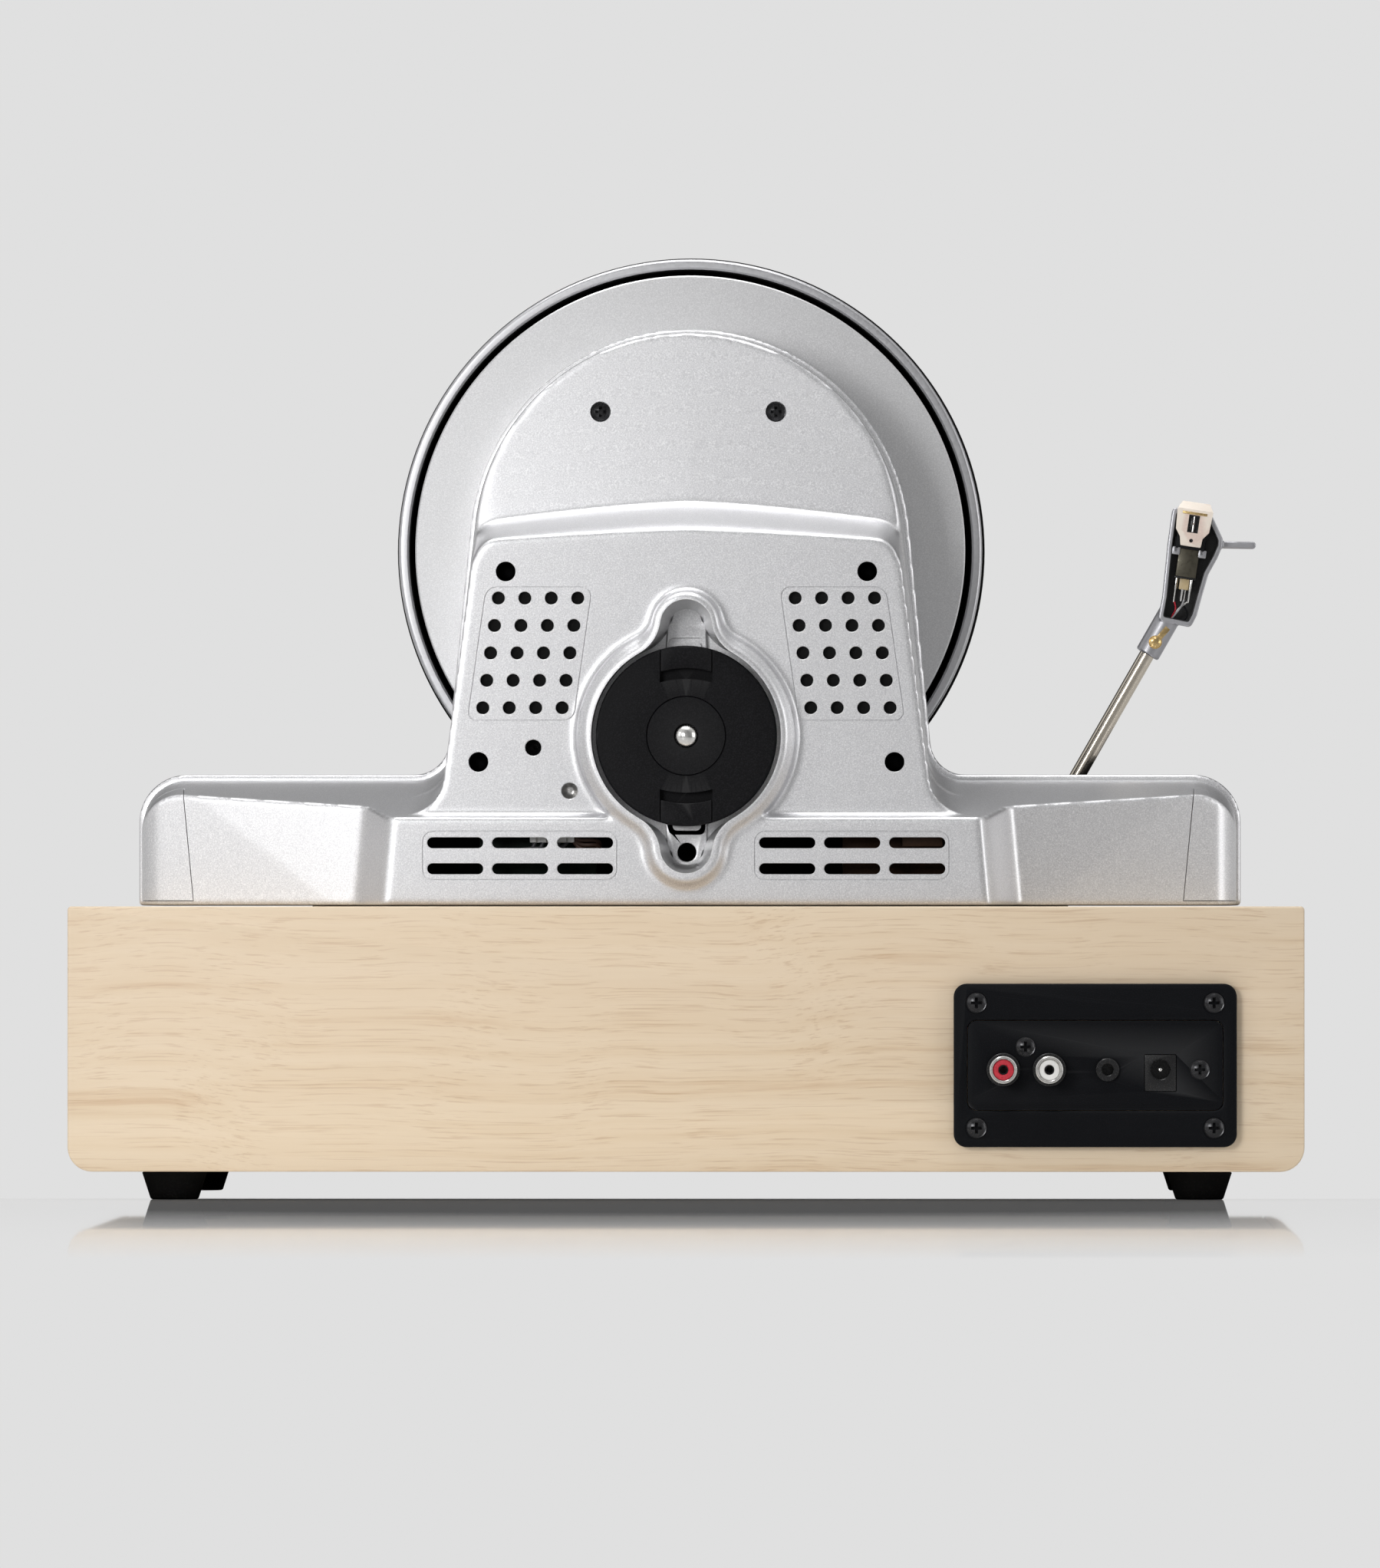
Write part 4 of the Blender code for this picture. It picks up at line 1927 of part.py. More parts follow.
def main():
    """Builds every piece and hangs the moving ones from their axes."""
    baffle_back_y = cabinet()
    speakers(baffle_back_y)
    feet()
    connector_panel()
    amplifier()
    front_housing()
    floor_y, rim_y = rear_housing()
    record_well()
    disc_back = platter()
    drive(disc_back)
    tonearm_bearings()
    arm_tube()
    headshell()
    arm_rest()
    arm_lift()
    stored_clamp(floor_y, rim_y)
    controls()

    pivot = (ARM_PIVOT_X, ARM_Y, ARM_PIVOT_Z)
    rod_x, rod_z = lift_rod_place()
    hang("platter", (0, PLATTER_FRONT_Y, PLATTER_Z), ["platter", "platter_mat", "spindle"])
    hang("motor", (MOTOR_X, MOTOR_FRONT_Y, MOTOR_Z), ["motor_pulley"])
    swing = hang("tonearm_swing", pivot, ["swing_yoke"])
    hang("tonearm_lift", pivot, ["arm_tube", "counterweight", "headshell", "cartridge", "stylus_unit"], swing)
    hang("cue", (rod_x, ARM_Y, rod_z), ["lift_bar", "cue_lever"])
    clamp = hang("clamp", (0, floor_y, CLAMP_Z), ["clamp_body"])
    hang("clamp_tabs", (0, floor_y, CLAMP_Z), ["clamp_tab_upper", "clamp_tab_lower"], clamp)
    hang("volume", (KNOB_X, DECK_FRONT_Y, control_z()), ["volume_knob"])
    hang("start", (BUTTON_X, DECK_FRONT_Y, control_z()), ["start_button"])
    hang("speed", (SELECTOR_X, DECK_FRONT_Y, control_z()), ["speed_selector"])


main()
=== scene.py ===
import math

import bmesh
import bpy
from mathutils import Matrix, Vector

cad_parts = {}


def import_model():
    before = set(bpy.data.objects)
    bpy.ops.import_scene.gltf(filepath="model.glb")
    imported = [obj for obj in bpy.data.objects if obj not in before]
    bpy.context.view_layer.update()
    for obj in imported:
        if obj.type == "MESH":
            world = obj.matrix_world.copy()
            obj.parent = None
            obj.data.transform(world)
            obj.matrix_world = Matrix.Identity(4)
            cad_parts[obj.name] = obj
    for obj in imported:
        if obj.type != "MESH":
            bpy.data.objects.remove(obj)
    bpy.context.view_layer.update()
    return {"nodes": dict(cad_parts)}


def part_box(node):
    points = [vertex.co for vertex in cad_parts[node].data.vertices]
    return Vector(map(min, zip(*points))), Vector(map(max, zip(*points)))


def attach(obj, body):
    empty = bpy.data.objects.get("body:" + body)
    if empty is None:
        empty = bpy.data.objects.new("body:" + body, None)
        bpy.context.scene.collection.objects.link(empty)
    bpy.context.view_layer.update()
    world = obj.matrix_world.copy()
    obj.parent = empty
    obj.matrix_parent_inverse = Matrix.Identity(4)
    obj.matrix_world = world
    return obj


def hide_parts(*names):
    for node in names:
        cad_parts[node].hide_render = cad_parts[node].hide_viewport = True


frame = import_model()

# Metres, in the frame's own axes: the sockets face +Y, and the platter's face looks along -Y.
# Places come from the frame's nodes. What the frame can't give is a named size here.

# Sizes shared with the solids
DECK_HEIGHT = 0.0411
DECK_SHOULDER_RADIUS = 0.015
DECK_SLOPE = 0.19
REAR_STEP = 0.0016
WALL = 0.0022
SEAT_GAP = 0.0003
CUT_OVERRUN = 0.002
TOWER_RADIUS = 0.0688
TOWER_LEAN = math.radians(5.6)
TOWER_FLARE_RADIUS = 0.0107
LOWER_FACE_LEAN = math.radians(7.4)
UPPER_FACE_INSET = 0.0034
LOWER_FACE_INSET = 0.0038
UPPER_FACE_DEPTH = 0.029
LOWER_FACE_DEPTH = 0.059
RECESS_RADIUS = 0.0292
RECESS_RIM_RISE = 0.003
RECESS_DEPTH = 0.017
DISH_RADIUS = 0.0859
CLAMP_DROP = 0.0587
WELD_DISTANCE = 0.000001

# Counts of flats on round work
SMOOTH_STEPS = 160
ROUND_STEPS = 64
SMALL_STEPS = 32
ARC_STEPS = 12
SHARP_ANGLE = math.radians(32)
SIDES = (-1, 1)
QUARTER = math.pi / 2

# Places read from the frame
FRONT_LOW, FRONT_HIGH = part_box("front_housing")
REAR_LOW, REAR_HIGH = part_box("rear_housing")
PLATTER_LOW, PLATTER_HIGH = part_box("platter")
CLAMP_LOW, CLAMP_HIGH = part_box("clamp_body")
DECK_HALF_WIDTH = FRONT_HIGH.x
DECK_BOTTOM_Z = FRONT_LOW.z
DECK_TOP_Z = DECK_BOTTOM_Z - SEAT_GAP + DECK_HEIGHT
DECK_FRONT_Y = FRONT_LOW.y
PLATTER_Z = (PLATTER_LOW.z + PLATTER_HIGH.z) / 2
CLAMP_Z = PLATTER_Z - CLAMP_DROP
RIM_Y = REAR_HIGH.y
DECK_BACK_Y = RIM_Y - RECESS_RIM_RISE
PARTING_Y = REAR_LOW.y - SEAT_GAP / 2
UPPER_Y = PARTING_Y + UPPER_FACE_DEPTH
LOWER_Y = PARTING_Y + LOWER_FACE_DEPTH
RECESS_Y = RIM_Y - RECESS_DEPTH


# Modelling helpers


def add_object(name, data):
    """Puts a mesh, curve, lamp or camera into the scene."""
    obj = bpy.data.objects.new(name, data)
    bpy.context.scene.collection.objects.link(obj)
    return obj


def remove(*objects):
    """Deletes helper objects."""
    for obj in objects:
        bpy.data.objects.remove(obj, do_unlink=True)


def evaluated_mesh(obj):
    """An object's mesh with its modifiers, or the mesh that a curve draws."""
    bpy.context.view_layer.update()
    graph = bpy.context.evaluated_depsgraph_get()
    return bpy.data.meshes.new_from_object(obj.evaluated_get(graph))


def applied(obj):
    """Fixes an object's modifiers and place into its mesh."""
    mesh = evaluated_mesh(obj)
    mesh.transform(obj.matrix_world)
    obj.modifiers.clear()
    obj.matrix_world = Matrix.Identity(4)
    obj.data = mesh
    return obj


def boolean(obj, others, operation, solver="MANIFOLD"):
    """Cuts, joins or intersects obj with the others, which are deleted."""
    for other in others:
        modifier = obj.modifiers.new(operation.lower(), "BOOLEAN")
        modifier.operation = operation
        modifier.object = other
        modifier.solver = solver
    applied(obj)
    remove(*others)
    return obj


def cut(obj, *others):
    """Takes the others away from obj."""
    return boolean(obj, others, "DIFFERENCE")


def join(obj, *others, solver="MANIFOLD"):
    """Fuses the others to obj."""
    return boolean(obj, others, "UNION", solver)


def gather(name, objects):
    """Makes one object of several that don't touch."""
    work = bmesh.new()
    for obj in objects:
        work.from_mesh(applied(obj).data)
    remove(*objects)
    return from_work(name, work)


def from_work(name, work):
    """Makes an object of a finished bmesh."""
    mesh = bpy.data.meshes.new(name)
    work.to_mesh(mesh)
    work.free()
    return add_object(name, mesh)


def along_y(x, z, y=0):
    """A frame at a place whose Z axis is world +Y."""
    return Matrix.Translation((x, y, z)) @ Matrix.Rotation(-QUARTER, 4, "X")


def shifted(place, *offset):
    """A frame moved along its own axes."""
    return place @ Matrix.Translation(offset)


def arc(centre, radius, start, end, steps=ARC_STEPS):
    """Points on an arc, from one angle to another."""
    angles = [start + (end - start) * i / steps for i in range(steps + 1)]
    return [(centre[0] + radius * math.cos(angle), centre[1] + radius * math.sin(angle)) for angle in angles]


def circle(radius, centre=(0, 0), steps=SMALL_STEPS):
    """A closed circle."""
    return arc(centre, radius, 0, 2 * math.pi * (steps - 1) / steps, steps - 1)


def rounded_box(low, high, radius, steps=ARC_STEPS // 2):
    """A rectangle with round corners; radius is one value, or four anticlockwise from the lower left."""
    radii = radius if isinstance(radius, (tuple, list)) else [radius] * 4
    corners = []
    centres = (
        (low[0], low[1], 1, 1), (high[0], low[1], -1, 1), (high[0], high[1], -1, -1), (low[0], high[1], 1, -1)
    )
    for number, (x, y, inward_x, inward_y) in enumerate(centres):
        if radii[number] <= WELD_DISTANCE:
            corners.append((x, y))
            continue
        centre = (x + inward_x * radii[number], y + inward_y * radii[number])
        start = math.pi + number * QUARTER
        corners.extend(arc(centre, radii[number], start, start + QUARTER, steps))
    return corners


def centred_box(centre, width, height, radius, steps=ARC_STEPS // 2):
    """A rounded rectangle about a centre."""
    low = (centre[0] - width / 2, centre[1] - height / 2)
    high = (centre[0] + width / 2, centre[1] + height / 2)
    return rounded_box(low, high, radius, steps)


def mirrored(half):
    """A closed outline from its right half, which runs from the bottom to the top."""
    return half + [(-x, y) for x, y in reversed(half) if abs(x) > WELD_DISTANCE]


def smooth_step(share):
    """Runs from 0 to 1 with level ends."""
    return share * share * (3 - 2 * share)


PLATE_TURNS = {
    "X": ((0, 0, 1, 0), (1, 0, 0, 0), (0, 1, 0, 0), (0, 0, 0, 1)),
    "Y": ((1, 0, 0, 0), (0, 0, -1, 0), (0, 1, 0, 0), (0, 0, 0, 1)),
}
FLAT_ANGLE = math.radians(0.5)


def plate(name, outlines, axis, low, high, place=Matrix.Identity(4)):
    """A flat plate square to an axis, with holes where one outline lies in another."""
    curve = bpy.data.curves.new(name, "CURVE")
    curve.dimensions = "2D"
    curve.fill_mode = "BOTH"
    curve.extrude = (high - low) / 2
    for outline in outlines:
        spline = curve.splines.new("POLY")
        spline.points.add(len(outline) - 1)
        spline.use_cyclic_u = True
        for point, (across, up) in zip(spline.points, outline):
            point.co = (across, up, 0, 1)
    drawn = add_object(name + "_outline", curve)
    mesh = evaluated_mesh(drawn)
    remove(drawn)
    turn = Matrix(PLATE_TURNS[axis])
    turn["XY".index(axis)][3] = (low + high) / 2
    mesh.transform(place @ turn)
    work = bmesh.new()
    work.from_mesh(mesh)
    bmesh.ops.remove_doubles(work, verts=work.verts, dist=WELD_DISTANCE)
    bmesh.ops.recalc_face_normals(work, faces=work.faces)
    bmesh.ops.dissolve_limit(work, angle_limit=FLAT_ANGLE, verts=work.verts, edges=work.edges)
    return from_work(name, work)


def block(name, low, high, edge=0, place=Matrix.Identity(4), segments=2):
    """A box between two corners with eased edges."""
    outline = [(low[0], low[2]), (high[0], low[2]), (high[0], high[2]), (low[0], high[2])]
    box = plate(name, [outline], "Y", low[1], high[1], place)
    return bevelled(box, edge, segments) if edge else box


def turned(name, profile, place, steps=ROUND_STEPS, ring=False):
    """A solid of revolution about the place's Z axis. A ring's profile closes on itself."""
    mesh = bpy.data.meshes.new(name)
    edges = [(i, i + 1) for i in range(len(profile) - 1)]
    if ring:
        edges.append((len(profile) - 1, 0))
    mesh.from_pydata([(radius, 0, along) for radius, along in profile], edges, [])
    obj = add_object(name, mesh)
    obj.matrix_world = place
    screw = obj.modifiers.new("turn", "SCREW")
    screw.steps = steps
    screw.render_steps = steps
    screw.use_merge_vertices = True
    screw.merge_threshold = WELD_DISTANCE
    applied(obj)
    work = bmesh.new()
    work.from_mesh(obj.data)
    bmesh.ops.recalc_face_normals(work, faces=work.faces)
    work.to_mesh(obj.data)
    work.free()
    return obj


def bar(name, radius, low, high, place, steps=SMALL_STEPS):
    """A round cutter or rod along the place's Z axis."""
    return turned(name, [(0, high), (radius, high), (radius, low), (0, low)], place, steps)


def loft(name, sections):
    """Skins closed rings of equally many points, and closes the first and the last."""
    work = bmesh.new()
    rings = [[work.verts.new(point) for point in section] for section in sections]
    for ring, following in zip(rings, rings[1:]):
        for i, vert in enumerate(ring):
            after = (i + 1) % len(ring)
            work.faces.new((vert, ring[after], following[after], following[i]))
    work.faces.new(rings[0])
    work.faces.new(rings[-1])
    bmesh.ops.recalc_face_normals(work, faces=work.faces)
    bmesh.ops.triangulate(work, faces=work.faces)
    return from_work(name, work)


def upright(outline, y):
    """An outline drawn in x and z, set at a depth."""
    return [(x, y, z) for x, z in outline]


def bevelled(obj, width, segments=3, angle=math.radians(30)):
    """Rounds an object's sharp edges."""
    bevel = obj.modifiers.new("edge", "BEVEL")
    bevel.width = width
    bevel.segments = segments
    bevel.limit_method = "ANGLE"
    bevel.angle_limit = angle
    return applied(obj)


def moulded(obj, voxel, rounds):
    """Remeshes a solid finely and softens it, as a moulded shell's edges are soft."""
    remesh = obj.modifiers.new("remesh", "REMESH")
    remesh.mode = "VOXEL"
    remesh.voxel_size = voxel
    smooth = obj.modifiers.new("soften", "SMOOTH")
    smooth.factor = 0.5
    smooth.iterations = rounds
    return applied(obj)


def tube(name, points, radius):
    """A round wire along a smooth curve through points."""
    curve = bpy.data.curves.new(name, "CURVE")
    curve.dimensions = "3D"
    curve.bevel_depth = radius
    curve.bevel_resolution = 3
    curve.use_fill_caps = True
    spline = curve.splines.new("BEZIER")
    spline.bezier_points.add(len(points) - 1)
    spline.resolution_u = 8
    for bezier, point in zip(spline.bezier_points, points):
        bezier.co = point
        bezier.handle_left_type = "AUTO"
        bezier.handle_right_type = "AUTO"
    drawn = add_object(name + "_path", curve)
    mesh = evaluated_mesh(drawn)
    remove(drawn)
    return add_object(name, mesh)


def finish(obj, body, finish_name, *nodes, angle=SHARP_ANGLE):
    """Shades a piece, gives it its material and hangs it on its body in place of some nodes."""
    material, slot = FINISHES[finish_name]
    obj.data.shade_smooth()
    obj.data.set_sharp_from_angle(angle=angle)
    obj.data.materials.clear()
    obj.data.materials.append(material)
    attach(obj, body)
    if nodes:
        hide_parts(*nodes)


def round_node(name):
    """A node's box, its middle in x and z, and half its width."""
    low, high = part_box(name)
    return low, high, (low.x + high.x) / 2, (low.z + high.z) / 2, (high.x - low.x) / 2


# Materials


def new_material(name):
    """A material with its node tree, shader and object coordinates."""
    material = bpy.data.materials.new(name)
    material.use_nodes = True
    tree = material.node_tree
    place = tree.nodes.new("ShaderNodeTexCoord").outputs["Object"]
    return material, tree, tree.nodes["Principled BSDF"], place


def noise(tree, place, scale, detail=3.0, stretch=(1, 1, 1), roughness=0.5):
    """A noise texture's value, stretched along axes."""
    mapping = tree.nodes.new("ShaderNodeMapping")
    mapping.inputs["Scale"].default_value = stretch
    tree.links.new(place, mapping.inputs["Vector"])
    texture = tree.nodes.new("ShaderNodeTexNoise")
    texture.inputs["Scale"].default_value = scale
    texture.inputs["Detail"].default_value = detail
    texture.inputs["Roughness"].default_value = roughness
    tree.links.new(mapping.outputs["Vector"], texture.inputs["Vector"])
    return texture.outputs["Fac"]


def ramp(tree, value, *stops):
    """A colour ramp over a value. Each stop is a place and a colour."""
    node = tree.nodes.new("ShaderNodeValToRGB")
    elements = node.color_ramp.elements
    while len(elements) < len(stops):
        elements.new(1.0)
    for element, (position, colour) in zip(elements, stops):
        element.position = position
        element.color = (*colour, 1.0)
    tree.links.new(value, node.inputs["Fac"])
    return node.outputs["Color"]


def spread(tree, value, low, high, start=0.0, end=1.0):
    """A value's range moved to low and high."""
    node = tree.nodes.new("ShaderNodeMapRange")
    for socket, number in zip(("From Min", "From Max", "To Min", "To Max"), (start, end, low, high)):
        node.inputs[socket].default_value = number
    tree.links.new(value, node.inputs["Value"])
    return node.outputs["Result"]


def mix(tree, factor, first, second, mode="MIX"):
    """Mixes two colours. A factor, and the second colour, may be a number or a socket."""
    node = tree.nodes.new("ShaderNodeMix")
    node.data_type = "RGBA"
    node.blend_type = mode
    sockets = [node.inputs["Factor"], node.inputs[6], node.inputs[7]]
    for socket, value in zip(sockets, (factor, first, second)):
        if isinstance(value, bpy.types.NodeSocket):
            tree.links.new(value, socket)
        elif isinstance(value, tuple):
            socket.default_value = (*value, 1.0)
        else:
            socket.default_value = value
    return node.outputs[2]


def math_node(tree, operation, first, second):
    """The product or the larger of two values."""
    node = tree.nodes.new("ShaderNodeMath")
    node.operation = operation
    tree.links.new(first, node.inputs[0])
    tree.links.new(second, node.inputs[1])
    return node.outputs["Value"]


def blend(tree, factor, first, second):
    """Mixes two shaders by a value."""
    node = tree.nodes.new("ShaderNodeMixShader")
    for socket, value in zip(node.inputs, (factor, first, second)):
        tree.links.new(value, socket)
    return node.outputs["Shader"]


def bump(tree, shader, value, strength, distance=0.0001):
    """Raises the surface by a value."""
    node = tree.nodes.new("ShaderNodeBump")
    node.inputs["Strength"].default_value = strength
    node.inputs["Distance"].default_value = distance
    tree.links.new(value, node.inputs["Height"])
    tree.links.new(node.outputs["Normal"], shader.inputs["Normal"])


def set_looks(tree, shader, colour, rough, metallic=0.0, shine=0.5):
    """Links a shader's colour and roughness, and sets its metal and shine."""
    tree.links.new(colour, shader.inputs["Base Color"])
    tree.links.new(rough, shader.inputs["Roughness"])
    shader.inputs["Metallic"].default_value = metallic
    shader.inputs["Specular IOR Level"].default_value = shine


def edge_wear(tree, colour, worn, strength):
    """Lightens a colour along convex edges."""
    geometry = tree.nodes.new("ShaderNodeNewGeometry")
    edge = spread(tree, geometry.outputs["Pointiness"], 0.0, strength, 0.52, 0.62)
    return mix(tree, edge, colour, worn)


def shade(colour, level, rise=0.0):
    """A colour made darker or lighter."""
    return tuple(min(1.0, c * level + rise) for c in colour)


# Where most of a noise's values lie
NOISE_SPAN = (0.3, 0.7)


def silver_paint(name, level):
    """Metallic silver paint with a fine sparkle."""
    material, tree, shader, place = new_material(name)
    flake = noise(tree, place, scale=2600, detail=2.0)
    cloud = noise(tree, place, scale=60)
    stops = ((0.28, (0.57, 0.57, 0.585)), (0.50, (0.66, 0.66, 0.675)), (0.74, (0.82, 0.82, 0.83)))
    colour = ramp(tree, flake, *((stop, shade(tone, level)) for stop, tone in stops))
    colour = mix(tree, spread(tree, cloud, 0.0, 0.10), colour, shade((0.62, 0.605, 0.59), level))
    colour = edge_wear(tree, colour, shade((0.86, 0.86, 0.85), level), strength=0.35)
    rough = spread(tree, flake, 0.34, 0.43, *NOISE_SPAN)
    set_looks(tree, shader, colour, rough, metallic=0.82, shine=0.35)
    bump(tree, shader, flake, strength=0.10)
    return material


def pale_wood(name, long_stretch):
    """Pale veneer with a fine straight grain, which a small stretch lengthens along its axis."""
    material, tree, shader, place = new_material(name)
    bent = tree.nodes.new("ShaderNodeVectorMath")
    bent.operation = "MULTIPLY_ADD"
    bent.inputs[1].default_value = (0, 0.016, 0.016)
    tree.links.new(noise(tree, place, scale=9, detail=2.0), bent.inputs[0])
    tree.links.new(place, bent.inputs[2])
    flow = bent.outputs["Vector"]
    fine_stretch = (long_stretch[0] * 1.5, long_stretch[1], 1)
    bands = noise(tree, flow, scale=210, detail=5.0, stretch=long_stretch, roughness=0.62)
    fine = noise(tree, flow, scale=1500, stretch=fine_stretch, roughness=0.6)
    broad = noise(tree, flow, scale=22, stretch=long_stretch)
    base = ramp(tree, bands, (0.28, (0.66, 0.475, 0.30)), (0.40, (0.77, 0.615, 0.43)), (0.60, (0.81, 0.665, 0.485)))
    base = mix(tree, spread(tree, broad, 0.0, 0.45, 0.35, 0.7), base, (0.82, 0.66, 0.49))
    pores = ramp(tree, fine, (0.32, (0.62, 0.46, 0.34)), (0.46, (1.0, 1.0, 1.0)))
    colour = mix(tree, 0.36, base, mix(tree, 1.0, base, pores, "MULTIPLY"))
    colour = edge_wear(tree, colour, (0.88, 0.76, 0.58), strength=0.25)
    set_looks(tree, shader, colour, spread(tree, fine, 0.38, 0.60, *NOISE_SPAN))
    bump(tree, shader, fine, strength=0.20)
    return material


def grained(name, colour, roughness, grain, scale, lighter=0.35, shine=0.5):
    """Moulded plastic or rubber with a fine grain, a little uneven in colour and gloss."""
    material, tree, shader, place = new_material(name)
    speck = noise(tree, place, scale, detail=2.0)
    cloud = noise(tree, place, scale=90)
    light = shade(colour, 1 + lighter, 0.004)
    base = ramp(tree, speck, (0.30, shade(colour, 1 - lighter / 2)), (0.50, colour), (0.72, light))
    base = mix(tree, spread(tree, cloud, 0.0, 0.25), base, light)
    base = edge_wear(tree, base, shade(colour, 1.4, 0.03), strength=0.6)
    rough = spread(tree, speck, roughness - 0.06, roughness + 0.10, *NOISE_SPAN)
    set_looks(tree, shader, base, rough, shine=shine)
    bump(tree, shader, speck, grain)
    return material


def brushed(name, colour, roughness, metallic=1.0, wear=1.0):
    """Turned or brushed metal with fine scratches."""
    material, tree, shader, place = new_material(name)
    scratch = noise(tree, place, scale=900, detail=4.0, roughness=0.6)
    base = ramp(tree, scratch, (0.30, shade(colour, 1 - 0.18 * wear)), (0.65, colour))
    base = edge_wear(tree, base, shade(colour, 1.15), strength=0.5)
    rough = spread(tree, scratch, roughness * (1 - 0.3 * wear), roughness * (1 + 0.5 * wear), *NOISE_SPAN)
    set_looks(tree, shader, base, rough, metallic)
    bump(tree, shader, scratch, strength=0.12 * wear, distance=0.00005)
    return material


def woven_cloth(name):
    """Black speaker cloth: two crossing sets of threads."""
    material, tree, shader, place = new_material(name)
    heights = []
    for direction in ("X", "Z"):
        wave = tree.nodes.new("ShaderNodeTexWave")
        wave.bands_direction = direction
        for socket, number in (("Scale", 420), ("Distortion", 0.4), ("Detail Scale", 3.0)):
            wave.inputs[socket].default_value = number
        tree.links.new(place, wave.inputs["Vector"])
        heights.append(wave.outputs["Fac"])
    value = math_node(tree, "MAXIMUM", *heights)
    fuzz = noise(tree, place, scale=1800)
    colour = ramp(tree, value, (0.35, (0.004, 0.004, 0.004)), (0.9, (0.035, 0.034, 0.033)))
    colour = mix(tree, spread(tree, fuzz, 0.0, 0.5, 0.4, 0.7), colour, (0.05, 0.049, 0.048))
    tree.links.new(colour, shader.inputs["Base Color"])
    shader.inputs["Roughness"].default_value = 0.9
    shader.inputs["Sheen Weight"].default_value = 0.3
    bump(tree, shader, value, strength=0.6, distance=0.0003)
    return material


# Each finish's slot, then what its material function takes
FINISH_ROWS = {
    "silver_paint": ("silver_shell", silver_paint, 1.0),
    # The dish's silver is the housing's paint at four fifths of its level: painted shade
    "dish_paint": ("silver_shell", silver_paint, 0.80),
    "pale_wood_x": ("pale_wood", pale_wood, (0.012, 1, 1)),
    "pale_wood_y": ("pale_wood", pale_wood, (1, 0.012, 1)),
    "grille_cloth": ("grille_cloth", woven_cloth),
    # Colour, roughness, strength and scale of the grain, how much lighter its specks are, and shine
    "black_plastic": ("black_plastic", grained, (0.0032, 0.0036, 0.0048), 0.45, 0.20, 3200, 0.35, 0.07),
    "black_plastic_smooth": ("black_plastic", grained, (0.0035, 0.0035, 0.0040), 0.22, 0.04, 1800, 0.2, 0.35),
    "clamp_black": ("black_plastic", grained, (0.0042, 0.0042, 0.0050), 0.50, 0.40, 2600, 0.9, 0.09),
    "black_rubber": ("black_rubber", grained, (0.0012, 0.0012, 0.0012), 0.85, 0.30, 1500, 0.35, 0.01),
    "shell_inside": ("black_plastic", grained, (0.016, 0.016, 0.017), 0.38, 0.25, 2600, 0.9),
    "red_plastic": ("red_plastic", grained, (0.48, 0.018, 0.035), 0.30, 0.06, 1600, 0.25),
    "white_plastic": ("white_plastic", grained, (0.80, 0.79, 0.76), 0.38, 0.06, 1600, 0.06),
    "beige_plastic": ("white_plastic", grained, (0.50, 0.39, 0.22), 0.35, 0.06, 1600, 0.1),
    "stylus_plastic": ("white_plastic", grained, (0.80, 0.655, 0.575), 0.36, 0.06, 1800, 0.06, 0.3),
    "grey_plastic": ("white_plastic", grained, (0.36, 0.36, 0.37), 0.40, 0.06, 1600, 0.1),
    "wire_grey": ("black_plastic", grained, (0.045, 0.045, 0.050), 0.40, 0.06, 1600, 0.3),
    "wire_brown": ("black_plastic", grained, (0.045, 0.020, 0.010), 0.40, 0.06, 1600, 0.3),
    "circuit_green": ("circuit_green", grained, (0.003, 0.010, 0.006), 0.45, 0.05, 1400, 0.3, 0.1),
    "brown_board": ("circuit_green", grained, (0.035, 0.016, 0.007), 0.50, 0.10, 1400, 0.3, 0.1),
    # Colour, roughness, metal and depth of the scratches
    "bright_steel": ("bright_steel", brushed, (0.74, 0.73, 0.71), 0.16),
    "dark_steel": ("dark_steel", brushed, (0.030, 0.030, 0.032), 0.22, 0.7),
    "arm_metal": ("arm_metal", brushed, (0.40, 0.40, 0.42), 0.38, 0.8, 0.3),
    "arm_tube_steel": ("bright_steel", brushed, (0.66, 0.60, 0.51), 0.20, 1.0, 0.25),
    "brass": ("brass", brushed, (0.72, 0.52, 0.24), 0.24),
    "aluminium": ("aluminium", brushed, (0.74, 0.74, 0.75), 0.28, 1.0, 0.35),
    "platter_metal": ("platter_metal", brushed, (0.50, 0.50, 0.515), 0.33, 0.85, 0.5),
    "olive_metal": ("dark_steel", brushed, (0.085, 0.078, 0.058), 0.34, 0.7),
}
FINISHES = {name: (make(name, *row), slot) for name, (slot, make, *row) in FINISH_ROWS.items()}


# The rear shell's outlines, as in the solids but in finer steps


def deck_section(y, inset, bottom_z):
    """The deck's outline at a depth: square below, with round shoulders, and falling towards the back."""
    half = DECK_HALF_WIDTH - inset
    top = deck_top(y) - inset
    radius = DECK_SHOULDER_RADIUS - min(inset, DECK_SHOULDER_RADIUS / 2)
    right = [(half, bottom_z)] + arc((half - radius, top - radius), radius, 0, QUARTER, 2 * ARC_STEPS)
    return upright(mirrored(right), y)


def deck_top(y):
    """The height of the deck's top, which falls towards the back from the parting plane."""
    return DECK_TOP_Z - DECK_SLOPE * max(0, y - PARTING_Y)


